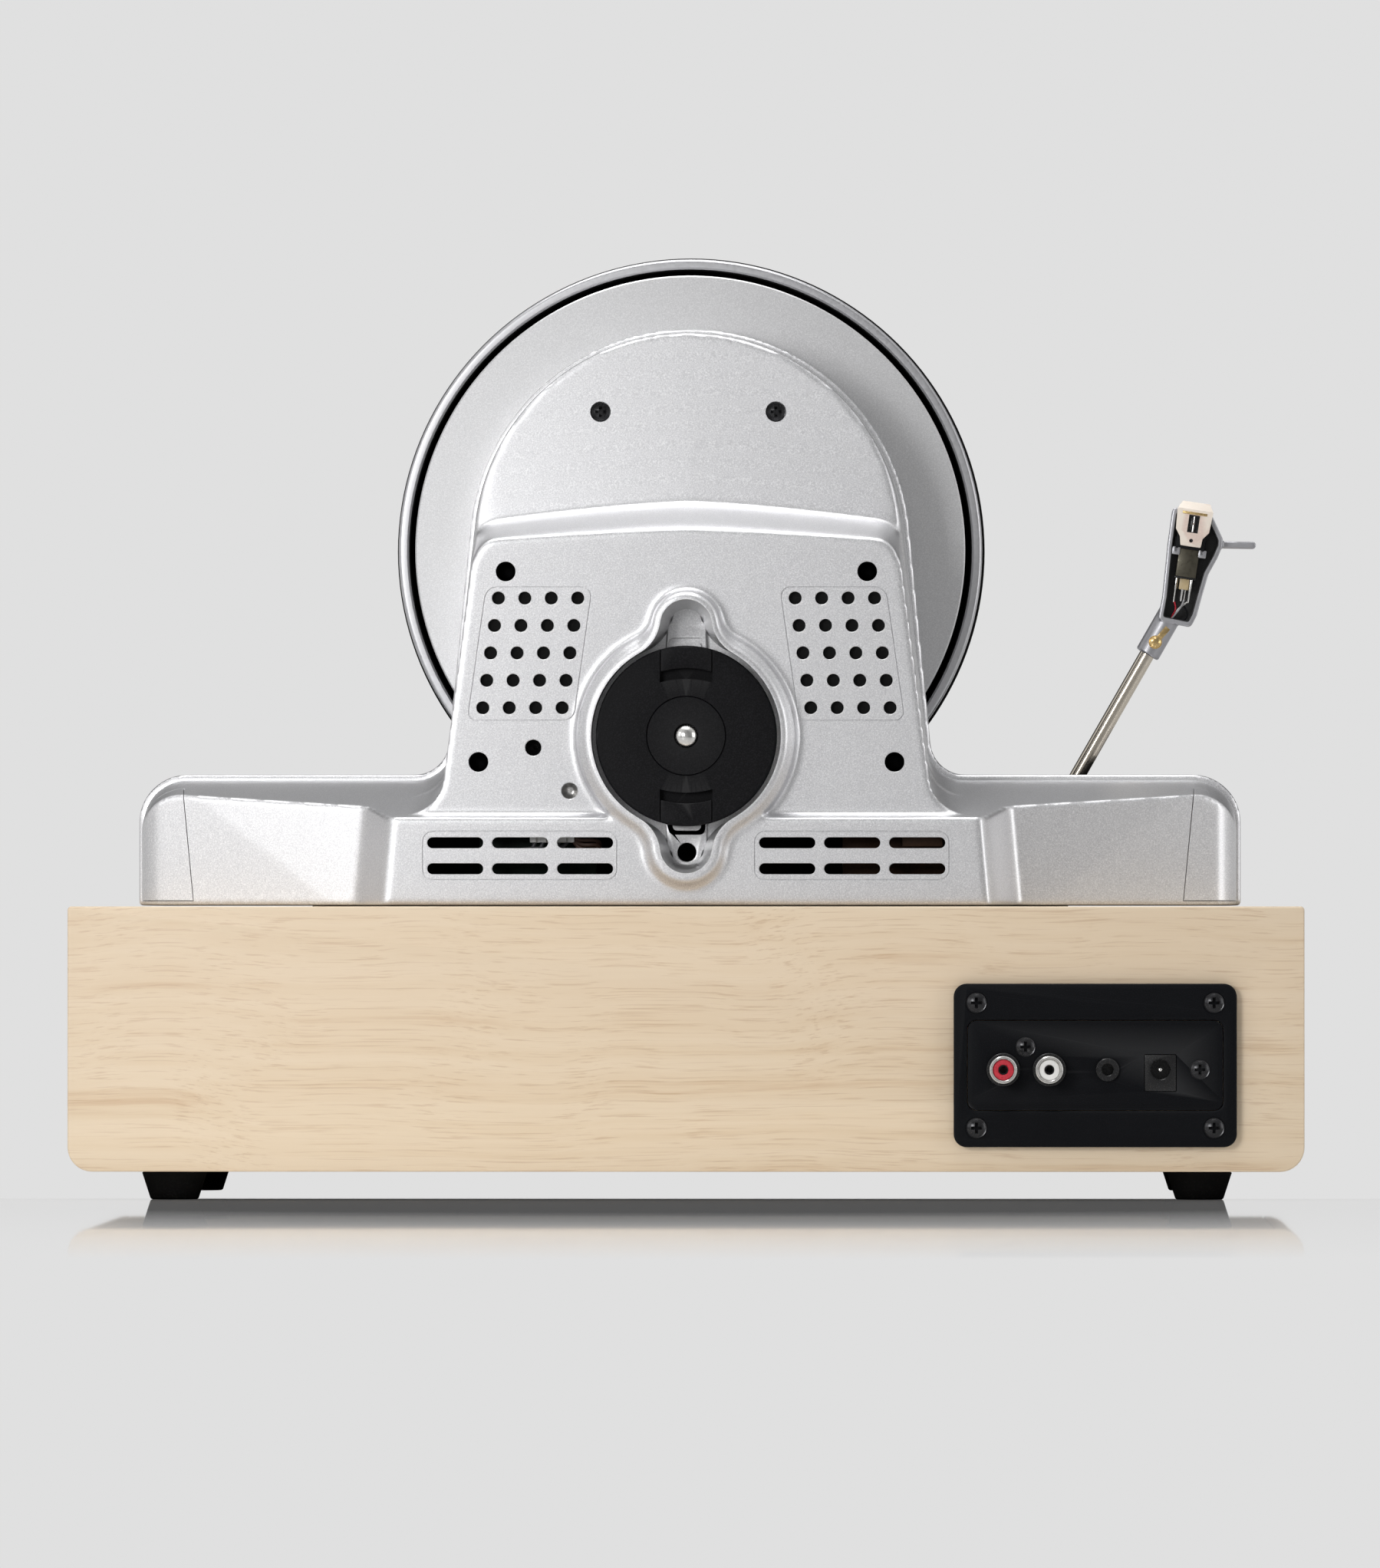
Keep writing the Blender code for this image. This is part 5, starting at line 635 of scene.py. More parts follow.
def tower_section(y, inset, bottom_z, face_inset=0.0, lean=TOWER_LEAN):
    """The tower's outline at a depth: round on top, leaning sides, and a flare onto the deck."""
    radius = TOWER_RADIUS - inset - face_inset
    fillet = TOWER_FLARE_RADIUS + inset
    centre_z = deck_top(y) - inset + fillet
    centre_x = (radius + fillet - (centre_z - PLATTER_Z) * math.sin(lean)) / math.cos(lean)
    right = [(centre_x, bottom_z)]
    right += arc((centre_x, centre_z), fillet, 3 * QUARTER, math.pi + lean, 2 * ARC_STEPS)
    right += arc((0, PLATTER_Z), radius, lean, QUARTER, 4 * ARC_STEPS)
    return upright(mirrored(right), y)


STEP_TOP_Z = PLATTER_Z + 0.0145
STEP_HEIGHT = 0.010
STEP_TOP_SAG = 0.0066
STEP_BOTTOM_SAG = 0.0033
STEP_SAG_POWER = 1.4
STEP_CORNER_RADIUS = 0.007
STEP_POINTS = 18
LOWER_HALF_WIDTH = TOWER_RADIUS - LOWER_FACE_INSET


def tower_profile(x, inset):
    """The tower's side outline at x: an upper face, an S-shaped step and a lower face. The step sags
    towards the sides, and its foot turns down there round the lower face's corners."""
    face_lean = 0.004
    start_y = PARTING_Y - CUT_OVERRUN
    low_z = DECK_BOTTOM_Z - CUT_OVERRUN
    away = min(abs(x), LOWER_HALF_WIDTH + STEP_CORNER_RADIUS)
    sag = (away / LOWER_HALF_WIDTH) ** STEP_SAG_POWER
    corner_start = LOWER_HALF_WIDTH + SEAT_GAP - STEP_CORNER_RADIUS
    corner_x = max(0, min(away - corner_start, STEP_CORNER_RADIUS))
    corner = STEP_CORNER_RADIUS - math.sqrt(STEP_CORNER_RADIUS**2 - corner_x**2)
    top = STEP_TOP_Z - sag * STEP_TOP_SAG - corner / 2
    bottom = STEP_TOP_Z - STEP_HEIGHT - sag * STEP_BOTTOM_SAG - corner
    upper_y = UPPER_Y - inset
    lower_y = LOWER_Y - inset
    points = [(start_y, PLATTER_Z + TOWER_RADIUS + CUT_OVERRUN)]
    points += [(upper_y - face_lean, PLATTER_Z + TOWER_RADIUS + CUT_OVERRUN)]
    for i in range(STEP_POINTS + 1):
        share = i / STEP_POINTS
        y = upper_y + (lower_y - upper_y) * smooth_step(share)
        points.append((y, top + (bottom - top) * share - inset / 2))
    return [(x, y, z) for y, z in points + [(lower_y, low_z), (start_y, low_z)]]


BOX_HALF = 0.0885
BOX_DRAFT_SHARE = 0.09
SWEEP_WIDTH = 0.0115
WING_ROOT_DEPTH = 0.0195
WING_TIP_DEPTH = 0.0400
WING_CORNER_RADIUS = 0.010
WING_CORNER_TURN = math.radians(65)


def wing_plan(z, inset):
    """The plan of the rear shell at a height: two swept wings and a box between them."""
    half = DECK_HALF_WIDTH - REAR_STEP
    back_y = DECK_BACK_Y - inset
    corner = (half - WING_CORNER_RADIUS, back_y - WING_TIP_DEPTH - WING_CORNER_RADIUS)
    right = [(half, PARTING_Y - CUT_OVERRUN)] + arc(corner, WING_CORNER_RADIUS, 0, WING_CORNER_TURN)
    root_x = BOX_HALF + BOX_DRAFT_SHARE * (DECK_TOP_Z - z) + SWEEP_WIDTH - inset
    for i in range(STEP_POINTS + 1):
        share = i / STEP_POINTS
        right.append((root_x - SWEEP_WIDTH * share, back_y - WING_ROOT_DEPTH * (1 - smooth_step(share))))
    return [(x, y, z) for x, y in right + [(-x, y) for x, y in reversed(right)]]


def rear_body(name, inset):
    """The rear shell as a solid, or its hollow when inset by the wall."""
    overrun = CUT_OVERRUN if inset else 0
    start_y = PARTING_Y + SEAT_GAP / 2 - overrun
    end_y = DECK_BACK_Y + CUT_OVERRUN
    low_z = DECK_BOTTOM_Z - overrun
    total = REAR_STEP + inset
    deck = loft(f"{name}_deck", [deck_section(y, total, low_z) for y in (start_y, end_y)])
    heights = (DECK_BOTTOM_Z - 2 * CUT_OVERRUN, DECK_TOP_Z + CUT_OVERRUN)
    plan = loft(f"{name}_plan", [wing_plan(z, inset) for z in heights])
    boolean(deck, [plan], "INTERSECT")

    edge = UPPER_FACE_INSET - REAR_STEP
    lower_edge = LOWER_FACE_INSET - REAR_STEP
    upper_lean = (TOWER_LEAN + LOWER_FACE_LEAN) / 2
    depths = [
        (start_y, 0, TOWER_LEAN),
        (UPPER_Y - edge, edge / 3, upper_lean),
        (UPPER_Y, edge, upper_lean),
        (LOWER_Y, lower_edge, LOWER_FACE_LEAN),
        (end_y, lower_edge, LOWER_FACE_LEAN),
    ]
    foot_z = low_z + WALL - inset
    tower = loft(f"{name}_tower", [tower_section(y, total, foot_z, more, lean) for y, more, lean in depths])
    count = 40
    reach = LOWER_HALF_WIDTH * 1.04
    across = [reach * i / count for i in range(-count, count + 1)]
    across = [-2 * LOWER_HALF_WIDTH] + across + [2 * LOWER_HALF_WIDTH]
    profile = loft(f"{name}_profile", [tower_profile(x, inset) for x in across])
    return join(deck, boolean(tower, [profile], "INTERSECT"))


LOBE_RADIUS = 0.008
NECK_RADIUS = 0.013
TOP_LOBE_REACH = 0.0340
BOTTOM_LOBE_REACH = 0.0343


def recess_section(y, grow, top_grow=None, bottom_grow=None):
    """The clamp recess's outline at a depth, grown outwards: a circle with a finger lobe above and one
    below, which grow by as much if not told otherwise."""
    radius = RECESS_RADIUS + grow
    neck_radius = NECK_RADIUS - grow
    near = radius + neck_radius
    points = []
    for reach, lobe_grow, upward in ((BOTTOM_LOBE_REACH, bottom_grow, -1), (TOP_LOBE_REACH, top_grow, 1)):
        lobe = LOBE_RADIUS + (grow if lobe_grow is None else lobe_grow)
        far = lobe + neck_radius
        swing = math.acos((near * near + reach * reach - far * far) / (2 * near * reach))
        neck_x = near * math.sin(swing)
        neck_z = near * math.cos(swing)
        to_lobe = math.atan2(reach - neck_z, -neck_x) % (2 * math.pi)
        to_main = math.atan2(-neck_z, -neck_x) % (2 * math.pi)
        piece = arc((0, reach), lobe, QUARTER, to_lobe - math.pi, 2 * ARC_STEPS)
        piece += arc((neck_x, neck_z), neck_radius, to_lobe, to_main)[1:]
        piece += arc((0, 0), radius, QUARTER - swing, 0, 2 * ARC_STEPS)[1:]
        half = [(max(x, 0), upward * z) for x, z in piece]
        points += half if upward < 0 else list(reversed(half))[1:]
    return [(x, y, z + CLAMP_Z) for x, z in mirrored(points)]


RIM_WIDTH = 0.0023
FLANK_WIDTH = 0.0021
TOP_FLANK_SHARE = 0.2
BOTTOM_RIM_SHARE = 1.35
RECESS_FLOOR = 0.002
LOBE_DRAFT = 0.003


def recess_cup():
    """The raised cup round the clamp, with a round rim and a flank that widens towards its foot."""
    bead = RIM_WIDTH / 2
    bead_steps = 6
    foot = RIM_WIDTH + FLANK_WIDTH
    top_foot = RIM_WIDTH + TOP_FLANK_SHARE * FLANK_WIDTH
    bottom_rim = RIM_WIDTH * BOTTOM_RIM_SHARE
    bottom_foot = bottom_rim + FLANK_WIDTH
    more = bead * 0.6
    sections = [
        recess_section(RECESS_Y - RECESS_FLOOR, RIM_WIDTH),
        recess_section(LOWER_Y - WALL, foot + more, top_foot + more / 2, bottom_foot + more),
        recess_section(DECK_BACK_Y, foot, top_foot, bottom_foot),
    ]
    for inward, up in arc((0, 0), bead, 0, QUARTER, bead_steps):
        rim = RIM_WIDTH - bead + inward
        sections.append(recess_section(RIM_Y - bead + up, rim, rim, rim + bottom_rim - RIM_WIDTH))
    return loft("recess_cup", sections)


THROUGH_Y = LOWER_Y - WALL - CUT_OVERRUN
# Places of the screws, as shares of the tower's radius across and above the platter's centre
SCREW_SHARES = ((0.3953, 0.6134), (0.8096, -0.1163), (0.9317, -0.9695))
# The two seen screws, then the four deep ones, in x and z
SCREW_PLACES = [
    (side * across * TOWER_RADIUS, PLATTER_Z + up * TOWER_RADIUS) for across, up in SCREW_SHARES for side in SIDES
]
ACCESS_PLACE = (0.0360, 0.1259)
FREE_HOLE_PLACE = (0.0472, 0.1392)
WELL_RADIUS = 0.00305
WELL_CHAMFER = 0.0001
ACCESS_RADIUS = 0.0025
ACCESS_CHAMFER = 0.0002
POST_HOLE_RADIUS = 0.0028
LOBE_HOLE_DROP = 0.0358
LOBE_HOLE_RADIUS = 0.0029
VENT_ROWS = 5
VENT_COLUMNS = 4
VENT_RADIUS = 0.0020
VENT_CHAMFER = 0.00015
VENT_STEPS = 28
VENT_PITCH_X = 0.00815
VENT_PITCH_Z = 0.00845
VENT_SHIFT = 0.0012
VENT_FIRST_X = 0.0335
VENT_TOP_Z = PLATTER_Z - 0.0162
VENT_REACH = (VENT_COLUMNS - 1) * VENT_PITCH_X
VENT_DROP = (VENT_ROWS - 1) * VENT_PITCH_Z
SLOT_COLUMNS = 3
SLOT_WIDTH = 0.0173
SLOT_HEIGHT = 0.0034
SLOT_LIP = 0.00022
SLOT_PITCH_X = 0.020
SLOT_PITCH_Z = 0.008
SLOT_FIRST_X = 0.0311
SLOT_TOP_Z = DECK_BOTTOM_Z + 0.0193
SLOTS_Z = SLOT_TOP_Z - SLOT_PITCH_Z / 2
GROOVE_WIDTH = 0.00055
GROOVE_DEPTH = 0.00050
GROOVE_RADIUS = 0.0032
VENT_MARGIN = 0.0044
VENT_GROOVE_MORE = 0.0082
SLOT_GROOVE_WIDTH = 0.0598
SLOT_GROOVE_HEIGHT = 0.0149


def chamfered_bore(radius, chamfer, floor_y, face_y, x, z, steps=SMALL_STEPS):
    """A cutter for a round hole into a rear face, with a small chamfer at its mouth."""
    top = face_y + CUT_OVERRUN
    profile = [(0, top), (radius + chamfer + CUT_OVERRUN, top), (radius, face_y - chamfer)]
    return turned("bore", profile + [(radius, floor_y), (0, floor_y)], along_y(x, z), steps)


def vent_cutters():
    """Two grids of round vents in the lower face, each row a little further out."""
    cutters = []
    for side in SIDES:
        for row in range(VENT_ROWS):
            for column in range(VENT_COLUMNS):
                x = side * (VENT_FIRST_X + column * VENT_PITCH_X + row * VENT_SHIFT)
                z = VENT_TOP_Z - row * VENT_PITCH_Z
                cutters.append(chamfered_bore(VENT_RADIUS, VENT_CHAMFER, THROUGH_Y, LOWER_Y, x, z, VENT_STEPS))
    return cutters


def slot_cutters():
    """Two grids of long slots in the box, with a small step at each mouth."""
    cutters = []
    for side in SIDES:
        for column in range(SLOT_COLUMNS):
            for z in (SLOT_TOP_Z, SLOT_TOP_Z - SLOT_PITCH_Z):
                parts = []
                for lip, low, overrun in ((0, WALL + CUT_OVERRUN, CUT_OVERRUN), (SLOT_LIP, SLOT_LIP, 2 * CUT_OVERRUN)):
                    centre = (side * (SLOT_FIRST_X + column * SLOT_PITCH_X), z)
                    height = SLOT_HEIGHT + 2 * lip
                    outline = centred_box(centre, SLOT_WIDTH + 2 * lip, height, height / 2 - WELD_DISTANCE, 10)
                    parts.append(plate("slot", [outline], "Y", DECK_BACK_Y - low, DECK_BACK_Y + overrun))
                cutters.append(join(*parts))
    return cutters


def groove_cutters():
    """The thin engraved outlines round the vents and the slots."""
    cutters = []
    slant = VENT_SHIFT / VENT_PITCH_Z
    top_z = VENT_TOP_Z + VENT_MARGIN * 0.75
    bottom_z = VENT_TOP_Z - VENT_DROP - VENT_MARGIN * 0.9
    width = VENT_REACH + VENT_GROOVE_MORE
    for side in SIDES:
        vents = []
        slots = []
        for grow in (GROOVE_WIDTH / 2, -GROOVE_WIDTH / 2):
            radius = GROOVE_RADIUS + grow
            centre = (side * (VENT_FIRST_X + VENT_REACH / 2), (top_z + bottom_z) / 2)
            outline = centred_box(centre, width + 2 * grow, top_z - bottom_z + 2 * grow, radius, 8)
            vents.append([(x + side * slant * (VENT_TOP_Z - z), z) for x, z in outline])
            centre = (side * (SLOT_FIRST_X + SLOT_PITCH_X), SLOTS_Z)
            size = (SLOT_GROOVE_WIDTH + 2 * grow, SLOT_GROOVE_HEIGHT + 2 * grow)
            slots.append(centred_box(centre, *size, radius, 8))
        for outlines, face_y in ((vents, LOWER_Y), (slots, DECK_BACK_Y)):
            cutters.append(plate("outline", outlines, "Y", face_y - GROOVE_DEPTH, face_y + CUT_OVERRUN))
    return cutters


CAP_LOW = 0.0015
CAP_BOTTOM_WIDTH = 0.0182
CAP_TOP_WIDTH = 0.0142
CAP_HALF_DEPTH = 0.009


def cap_region(side, grow):
    """The corner block that an end cap fills, grown by a gap."""
    low_z = DECK_BOTTOM_Z + CAP_LOW - grow
    top_z = DECK_TOP_Z + CUT_OVERRUN
    outer_x = DECK_HALF_WIDTH + CUT_OVERRUN
    inner_bottom = DECK_HALF_WIDTH - CAP_BOTTOM_WIDTH - grow
    inner_top = DECK_HALF_WIDTH - CAP_TOP_WIDTH - grow
    outline = [(inner_bottom, low_z), (outer_x, low_z), (outer_x, top_z), (inner_top, top_z)]
    front_y = DECK_BACK_Y - WING_TIP_DEPTH - CAP_HALF_DEPTH - grow
    return plate("cap_region", [[(side * x, z) for x, z in outline]], "Y", front_y, DECK_BACK_Y)


def rear_housing():
    """The rear shell with its end caps."""
    solid = join(rear_body("rear_shell", 0), recess_cup())
    moulded(solid, voxel=0.0007, rounds=7)
    for name, side in (("end_cap_right", 1), ("end_cap_left", -1)):
        cap = add_object(f"{name}_shell", solid.data.copy())
        boolean(cap, [cap_region(side, -SEAT_GAP / 3)], "INTERSECT")
        finish(cap, "housing", "silver_paint", name)
        cut(solid, cap_region(side, SEAT_GAP / 2))
    hollow = rear_body("rear_hollow", WALL)
    cut(hollow, loft("cup_back", [recess_section(y, WALL * 0.8) for y in (RECESS_Y - RECESS_FLOOR, DECK_BACK_Y)]))
    recess = [recess_section(RECESS_Y, 0, -LOBE_DRAFT, -LOBE_DRAFT), recess_section(RIM_Y, 0)]
    recess.append(recess_section(RIM_Y + CUT_OVERRUN, CUT_OVERRUN))
    cut(solid, hollow, loft("recess_hollow", recess))
    cutters = vent_cutters() + slot_cutters()
    for x, z in SCREW_PLACES[:2]:
        cutters.append(chamfered_bore(WELL_RADIUS + SEAT_GAP / 2, WELL_CHAMFER, UPPER_Y - 2 * WALL, UPPER_Y, x, z))
    for x, z in SCREW_PLACES[2:]:
        cutters.append(chamfered_bore(WELL_RADIUS, WELL_CHAMFER, PARTING_Y + 2 * WALL, LOWER_Y, x, z))
    for x, z in (FREE_HOLE_PLACE, ACCESS_PLACE):
        cutters.append(chamfered_bore(ACCESS_RADIUS, ACCESS_CHAMFER, THROUGH_Y, LOWER_Y, x, z))
    for radius, drop in ((LOBE_HOLE_RADIUS, LOBE_HOLE_DROP), (POST_HOLE_RADIUS, 0)):
        place = along_y(0, CLAMP_Z - drop, RECESS_Y)
        cutters.append(bar("floor_hole", radius, -2 * RECESS_FLOOR, CUT_OVERRUN, place))
    cut(solid, gather("rear_cutters", cutters + groove_cutters()))
    solid.name = "rear_shell"
    finish(solid, "housing", "silver_paint", "rear_housing")


# The front shell and its dish

NOSE_RADIUS = 0.008
NECK_FRONT_Y = PARTING_Y - 0.011
SLOT_HALF_WIDTH = 0.138
SLOT_BACK_Y = PLATTER_HIGH.y + 0.001
SLOT_FRONT_Y = SLOT_BACK_Y - 0.0575
DISH_FRONT_Y = PLATTER_LOW.y + 0.0035
DISH_WALL = 0.0014
DISH_EDGE = 0.0004
DISH_BORE = 0.0075


def front_housing():
    """The front shell, with the deck, the tower's neck and the slot for the record, and the dish."""
    end_y = PARTING_Y - SEAT_GAP / 2
    start_y = DECK_FRONT_Y + NOSE_RADIUS
    nose = arc((start_y, NOSE_RADIUS), NOSE_RADIUS, math.pi, QUARTER, 10)
    sections = [deck_section(y, 2 * NOSE_RADIUS - up, DECK_BOTTOM_Z) for y, up in nose]
    shell = loft("front_shell", sections + [deck_section(end_y, 0, DECK_BOTTOM_Z)])
    neck_depths = (NECK_FRONT_Y - SEAT_GAP, end_y)
    join(shell, loft("neck", [tower_section(y, 0, DECK_BOTTOM_Z + WALL) for y in neck_depths]))
    moulded(shell, voxel=0.0008, rounds=4)
    low = DECK_BOTTOM_Z - CUT_OVERRUN
    through_y = PARTING_Y + CUT_OVERRUN
    depths = ((DECK_FRONT_Y + WALL, NOSE_RADIUS), (start_y, WALL), (PARTING_Y, WALL), (through_y, WALL))
    deck_hollow = loft("deck_hollow", [deck_section(y, inset, low) for y, inset in depths])
    neck_hollow = loft("neck_hollow", [tower_section(y, WALL, low) for y in (NECK_FRONT_Y + WALL, through_y)])
    corners = ((-SLOT_HALF_WIDTH, SLOT_FRONT_Y, low), (SLOT_HALF_WIDTH, SLOT_BACK_Y, DECK_TOP_Z + WALL))
    cut(shell, deck_hollow, neck_hollow, block("record_slot", *corners, edge=0.0015, segments=4))
    finish(shell, "housing", "silver_paint", "front_housing")

    inner = DISH_RADIUS - DISH_WALL
    profile = [
        (DISH_BORE, NECK_FRONT_Y),
        (DISH_RADIUS - DISH_EDGE, NECK_FRONT_Y),
        (DISH_RADIUS, NECK_FRONT_Y - DISH_EDGE),
        (DISH_RADIUS, DISH_FRONT_Y + DISH_EDGE),
        (DISH_RADIUS - DISH_EDGE, DISH_FRONT_Y),
        (inner + DISH_EDGE, DISH_FRONT_Y),
        (inner, DISH_FRONT_Y + DISH_EDGE),
        (inner, NECK_FRONT_Y - WALL),
        (DISH_BORE, NECK_FRONT_Y - WALL),
    ]
    dish = turned("dish", profile, along_y(0, PLATTER_Z), SMOOTH_STEPS, ring=True)
    corner = (DISH_RADIUS, NECK_FRONT_Y + WALL, DECK_TOP_Z)
    cut(dish, block("below_deck", (-DISH_RADIUS, DISH_FRONT_Y - WALL, DECK_BOTTOM_Z), corner))
    # The dish gets the darker copy of the silver paint, which paints shade on it
    finish(dish, "housing", "dish_paint")


# The platter and its mat

PLATTER_DISC = 0.003
PLATTER_RIM = 0.0032
PLATTER_EDGE = 0.0012
PLATTER_BORE = 0.0039
DRIVE_RADIUS = 0.061
DRIVE_WALL = 0.003
DRIVE_DEPTH = 0.010
MAT_EDGE = 0.0006
MAT_GROOVE = 0.0007
MAT_GROOVES = 24
MAT_FIRST_GROOVE = 0.004
MAT_PLAIN_RADIUS = 0.030
# A black ring lining the inside of the platter's rim: painted shadow for the deep gap between the rim and the dish
SHADOW_RING_WALL = 0.0004
SHADOW_RING_WIDTH = 0.0045
SHADOW_RING_SINK = 0.0030


def platter():
    """The platter with its rounded rim, a black ring inside the rim that paints the shadow of the deep gap there, and
    the ribbed mat on its face.
    """
    place = along_y(0, PLATTER_Z)
    radius = PLATTER_HIGH.x
    high = PLATTER_HIGH.y
    disc_back = PLATTER_LOW.y + PLATTER_DISC
    inner = radius - PLATTER_RIM
    profile = [(PLATTER_BORE, disc_back), (DRIVE_RADIUS - DRIVE_WALL, disc_back)]
    profile += [(DRIVE_RADIUS - DRIVE_WALL, disc_back + DRIVE_DEPTH), (DRIVE_RADIUS, disc_back + DRIVE_DEPTH)]
    profile += [(DRIVE_RADIUS, disc_back), (inner, disc_back), (inner, high - PLATTER_EDGE / 2)]
    profile += [(inner + PLATTER_EDGE / 2, high)]
    profile += arc((radius - PLATTER_EDGE, high - PLATTER_EDGE), PLATTER_EDGE, QUARTER, 0, 6)
    profile += arc((radius - PLATTER_EDGE, PLATTER_LOW.y + PLATTER_EDGE), PLATTER_EDGE, 0, -QUARTER, 6)
    disc = turned("platter_disc", profile + [(PLATTER_BORE, PLATTER_LOW.y)], place, SMOOTH_STEPS, ring=True)
    finish(disc, "platter", "platter_metal", "platter")

    # The black rubber ring inside the rim is painted shadow, not a damper
    wall = SHADOW_RING_WALL
    start = inner - SHADOW_RING_WIDTH
    stop = high - SHADOW_RING_SINK
    liner = [(start, disc_back - wall / 4), (start, disc_back + wall), (inner - wall, disc_back + wall)]
    liner += [(inner - wall, stop), (inner + wall / 4, stop), (inner + wall / 4, disc_back - wall / 4)]
    finish(turned("rim_shadow_ring", liner, place, SMOOTH_STEPS, ring=True), "platter", "black_rubber")

    low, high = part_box("platter_mat")
    radius = high.x
    profile = [(PLATTER_BORE, high.y), (radius - MAT_EDGE, high.y), (radius, high.y - MAT_EDGE)]
    profile += [(radius, low.y + MAT_EDGE), (radius - MAT_EDGE, low.y)]
    pitch = (radius - MAT_PLAIN_RADIUS) / MAT_GROOVES
    for i in range(MAT_GROOVES):
        at = radius - MAT_FIRST_GROOVE - i * pitch
        profile += [(at, low.y), (at - MAT_GROOVE, low.y + MAT_GROOVE), (at - 2 * MAT_GROOVE, low.y)]
    mat = turned("mat_ring", profile + [(PLATTER_BORE, low.y)], place, SMOOTH_STEPS, ring=True)
    finish(mat, "platter", "black_rubber", "platter_mat", angle=math.radians(25))


# The clamp in its recess

CLAMP_EDGE = 0.0007
CLAMP_RING_RADIUS = 0.01215
CLAMP_RING_HALF = 0.00022
CLAMP_RING_DEPTH = 0.0004
CLAMP_BORE = 0.0037
CLAMP_BORE_EDGE = 0.0003
NOTCH_HALF = 0.0081
NOTCH_REACH = 0.0103
NOTCH_DEPTH = 0.0032
TAB_GAP = 0.00022
TAB_LENGTH = 0.0070
BOW_SAG = 0.0011
POST_RADIUS = 0.0034
POST_DOME = 0.0042
POST_SIDE = 0.004
POST_FOOT = 0.012
TAB_EDGE = 0.0004


def clamp():
    """The clamp's disc with its ring, notches and tabs, and the metal post."""
    face_y, back_y, radius = CLAMP_HIGH.y, CLAMP_LOW.y, CLAMP_HIGH.x
    place = along_y(0, CLAMP_Z)
    profile = [(CLAMP_BORE, back_y), (CLAMP_BORE, face_y - CLAMP_BORE_EDGE), (CLAMP_BORE + CLAMP_BORE_EDGE, face_y)]
    profile += [
        (CLAMP_RING_RADIUS - CLAMP_RING_HALF, face_y),
        (CLAMP_RING_RADIUS, face_y - CLAMP_RING_DEPTH),
        (CLAMP_RING_RADIUS + CLAMP_RING_HALF, face_y),
    ]
    profile += arc((radius - CLAMP_EDGE, face_y - CLAMP_EDGE), CLAMP_EDGE, QUARTER, 0, 5)
    profile += [(radius, back_y + CLAMP_EDGE), (radius - CLAMP_EDGE, back_y)]
    disc = turned("clamp_disc", profile, place, SMOOTH_STEPS, ring=True)
    tab_half = NOTCH_HALF - TAB_GAP
    tab_radius = radius - SEAT_GAP / 2
    swing = math.asin(tab_half / tab_radius)
    far = radius + CUT_OVERRUN
    notch = bowed(NOTCH_HALF, radius - NOTCH_REACH) + [(NOTCH_HALF, far), (-NOTCH_HALF, far)]
    tab = bowed(tab_half, radius - TAB_LENGTH) + arc((0, 0), tab_radius, QUARTER - swing, QUARTER + swing)
    cutters = []
    for name, side in (("clamp_tab_upper", 1), ("clamp_tab_lower", -1)):
        notch_outline, tab_outline = [[(x, CLAMP_Z + side * z) for x, z in outline] for outline in (notch, tab)]
        cutters.append(plate("notch", [notch_outline], "Y", face_y - NOTCH_DEPTH, face_y + CUT_OVERRUN))
        piece = plate(f"{name}_shell", [tab_outline], "Y", face_y - NOTCH_DEPTH + SEAT_GAP / 3, face_y)
        finish(bevelled(piece, TAB_EDGE), name, "clamp_black", name)
    cut(disc, gather("notches", cutters))
    finish(disc, "clamp", "clamp_black", "clamp_body")

    tip_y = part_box("clamp_post")[1].y
    profile = arc((0, tip_y - POST_DOME), POST_DOME, QUARTER, math.acos(POST_RADIUS / POST_DOME), 8)
    foot = face_y - POST_FOOT
    profile += [(POST_RADIUS, tip_y - POST_SIDE), (POST_RADIUS, foot), (0, foot)]
    finish(turned("post_tip", profile, place), "housing", "bright_steel", "clamp_post")


def bowed(half, level, steps=10):
    """Points from -half to half whose height is level at the middle and sags at the ends."""
    shares = [2 * i / steps - 1 for i in range(steps + 1)]
    return [(half * share, level - BOW_SAG * share * share) for share in shares]


LOBE_FLOOR_RISE = 0.0016
LOBE_FLOOR_SINK = 0.0008
LOBE_FLOOR_EDGE = 0.0005
LOBE_FLOOR_HALF = 0.0066
LOBE_FLOOR_END = 0.0046
LOBE_FLOOR_NEAR = 0.0262
LOBE_FLOOR_FAR = LOBE_HOLE_DROP - 0.002
CHANNEL_DEPTH = 0.0011
# The channel's outer and inner outline: half width as a share, start, end and corner radius
CHANNEL_RINGS = ((0.86, 0.0222, 0.0304, 0.0018), (0.66, 0.0202, 0.0291, 0.0014))


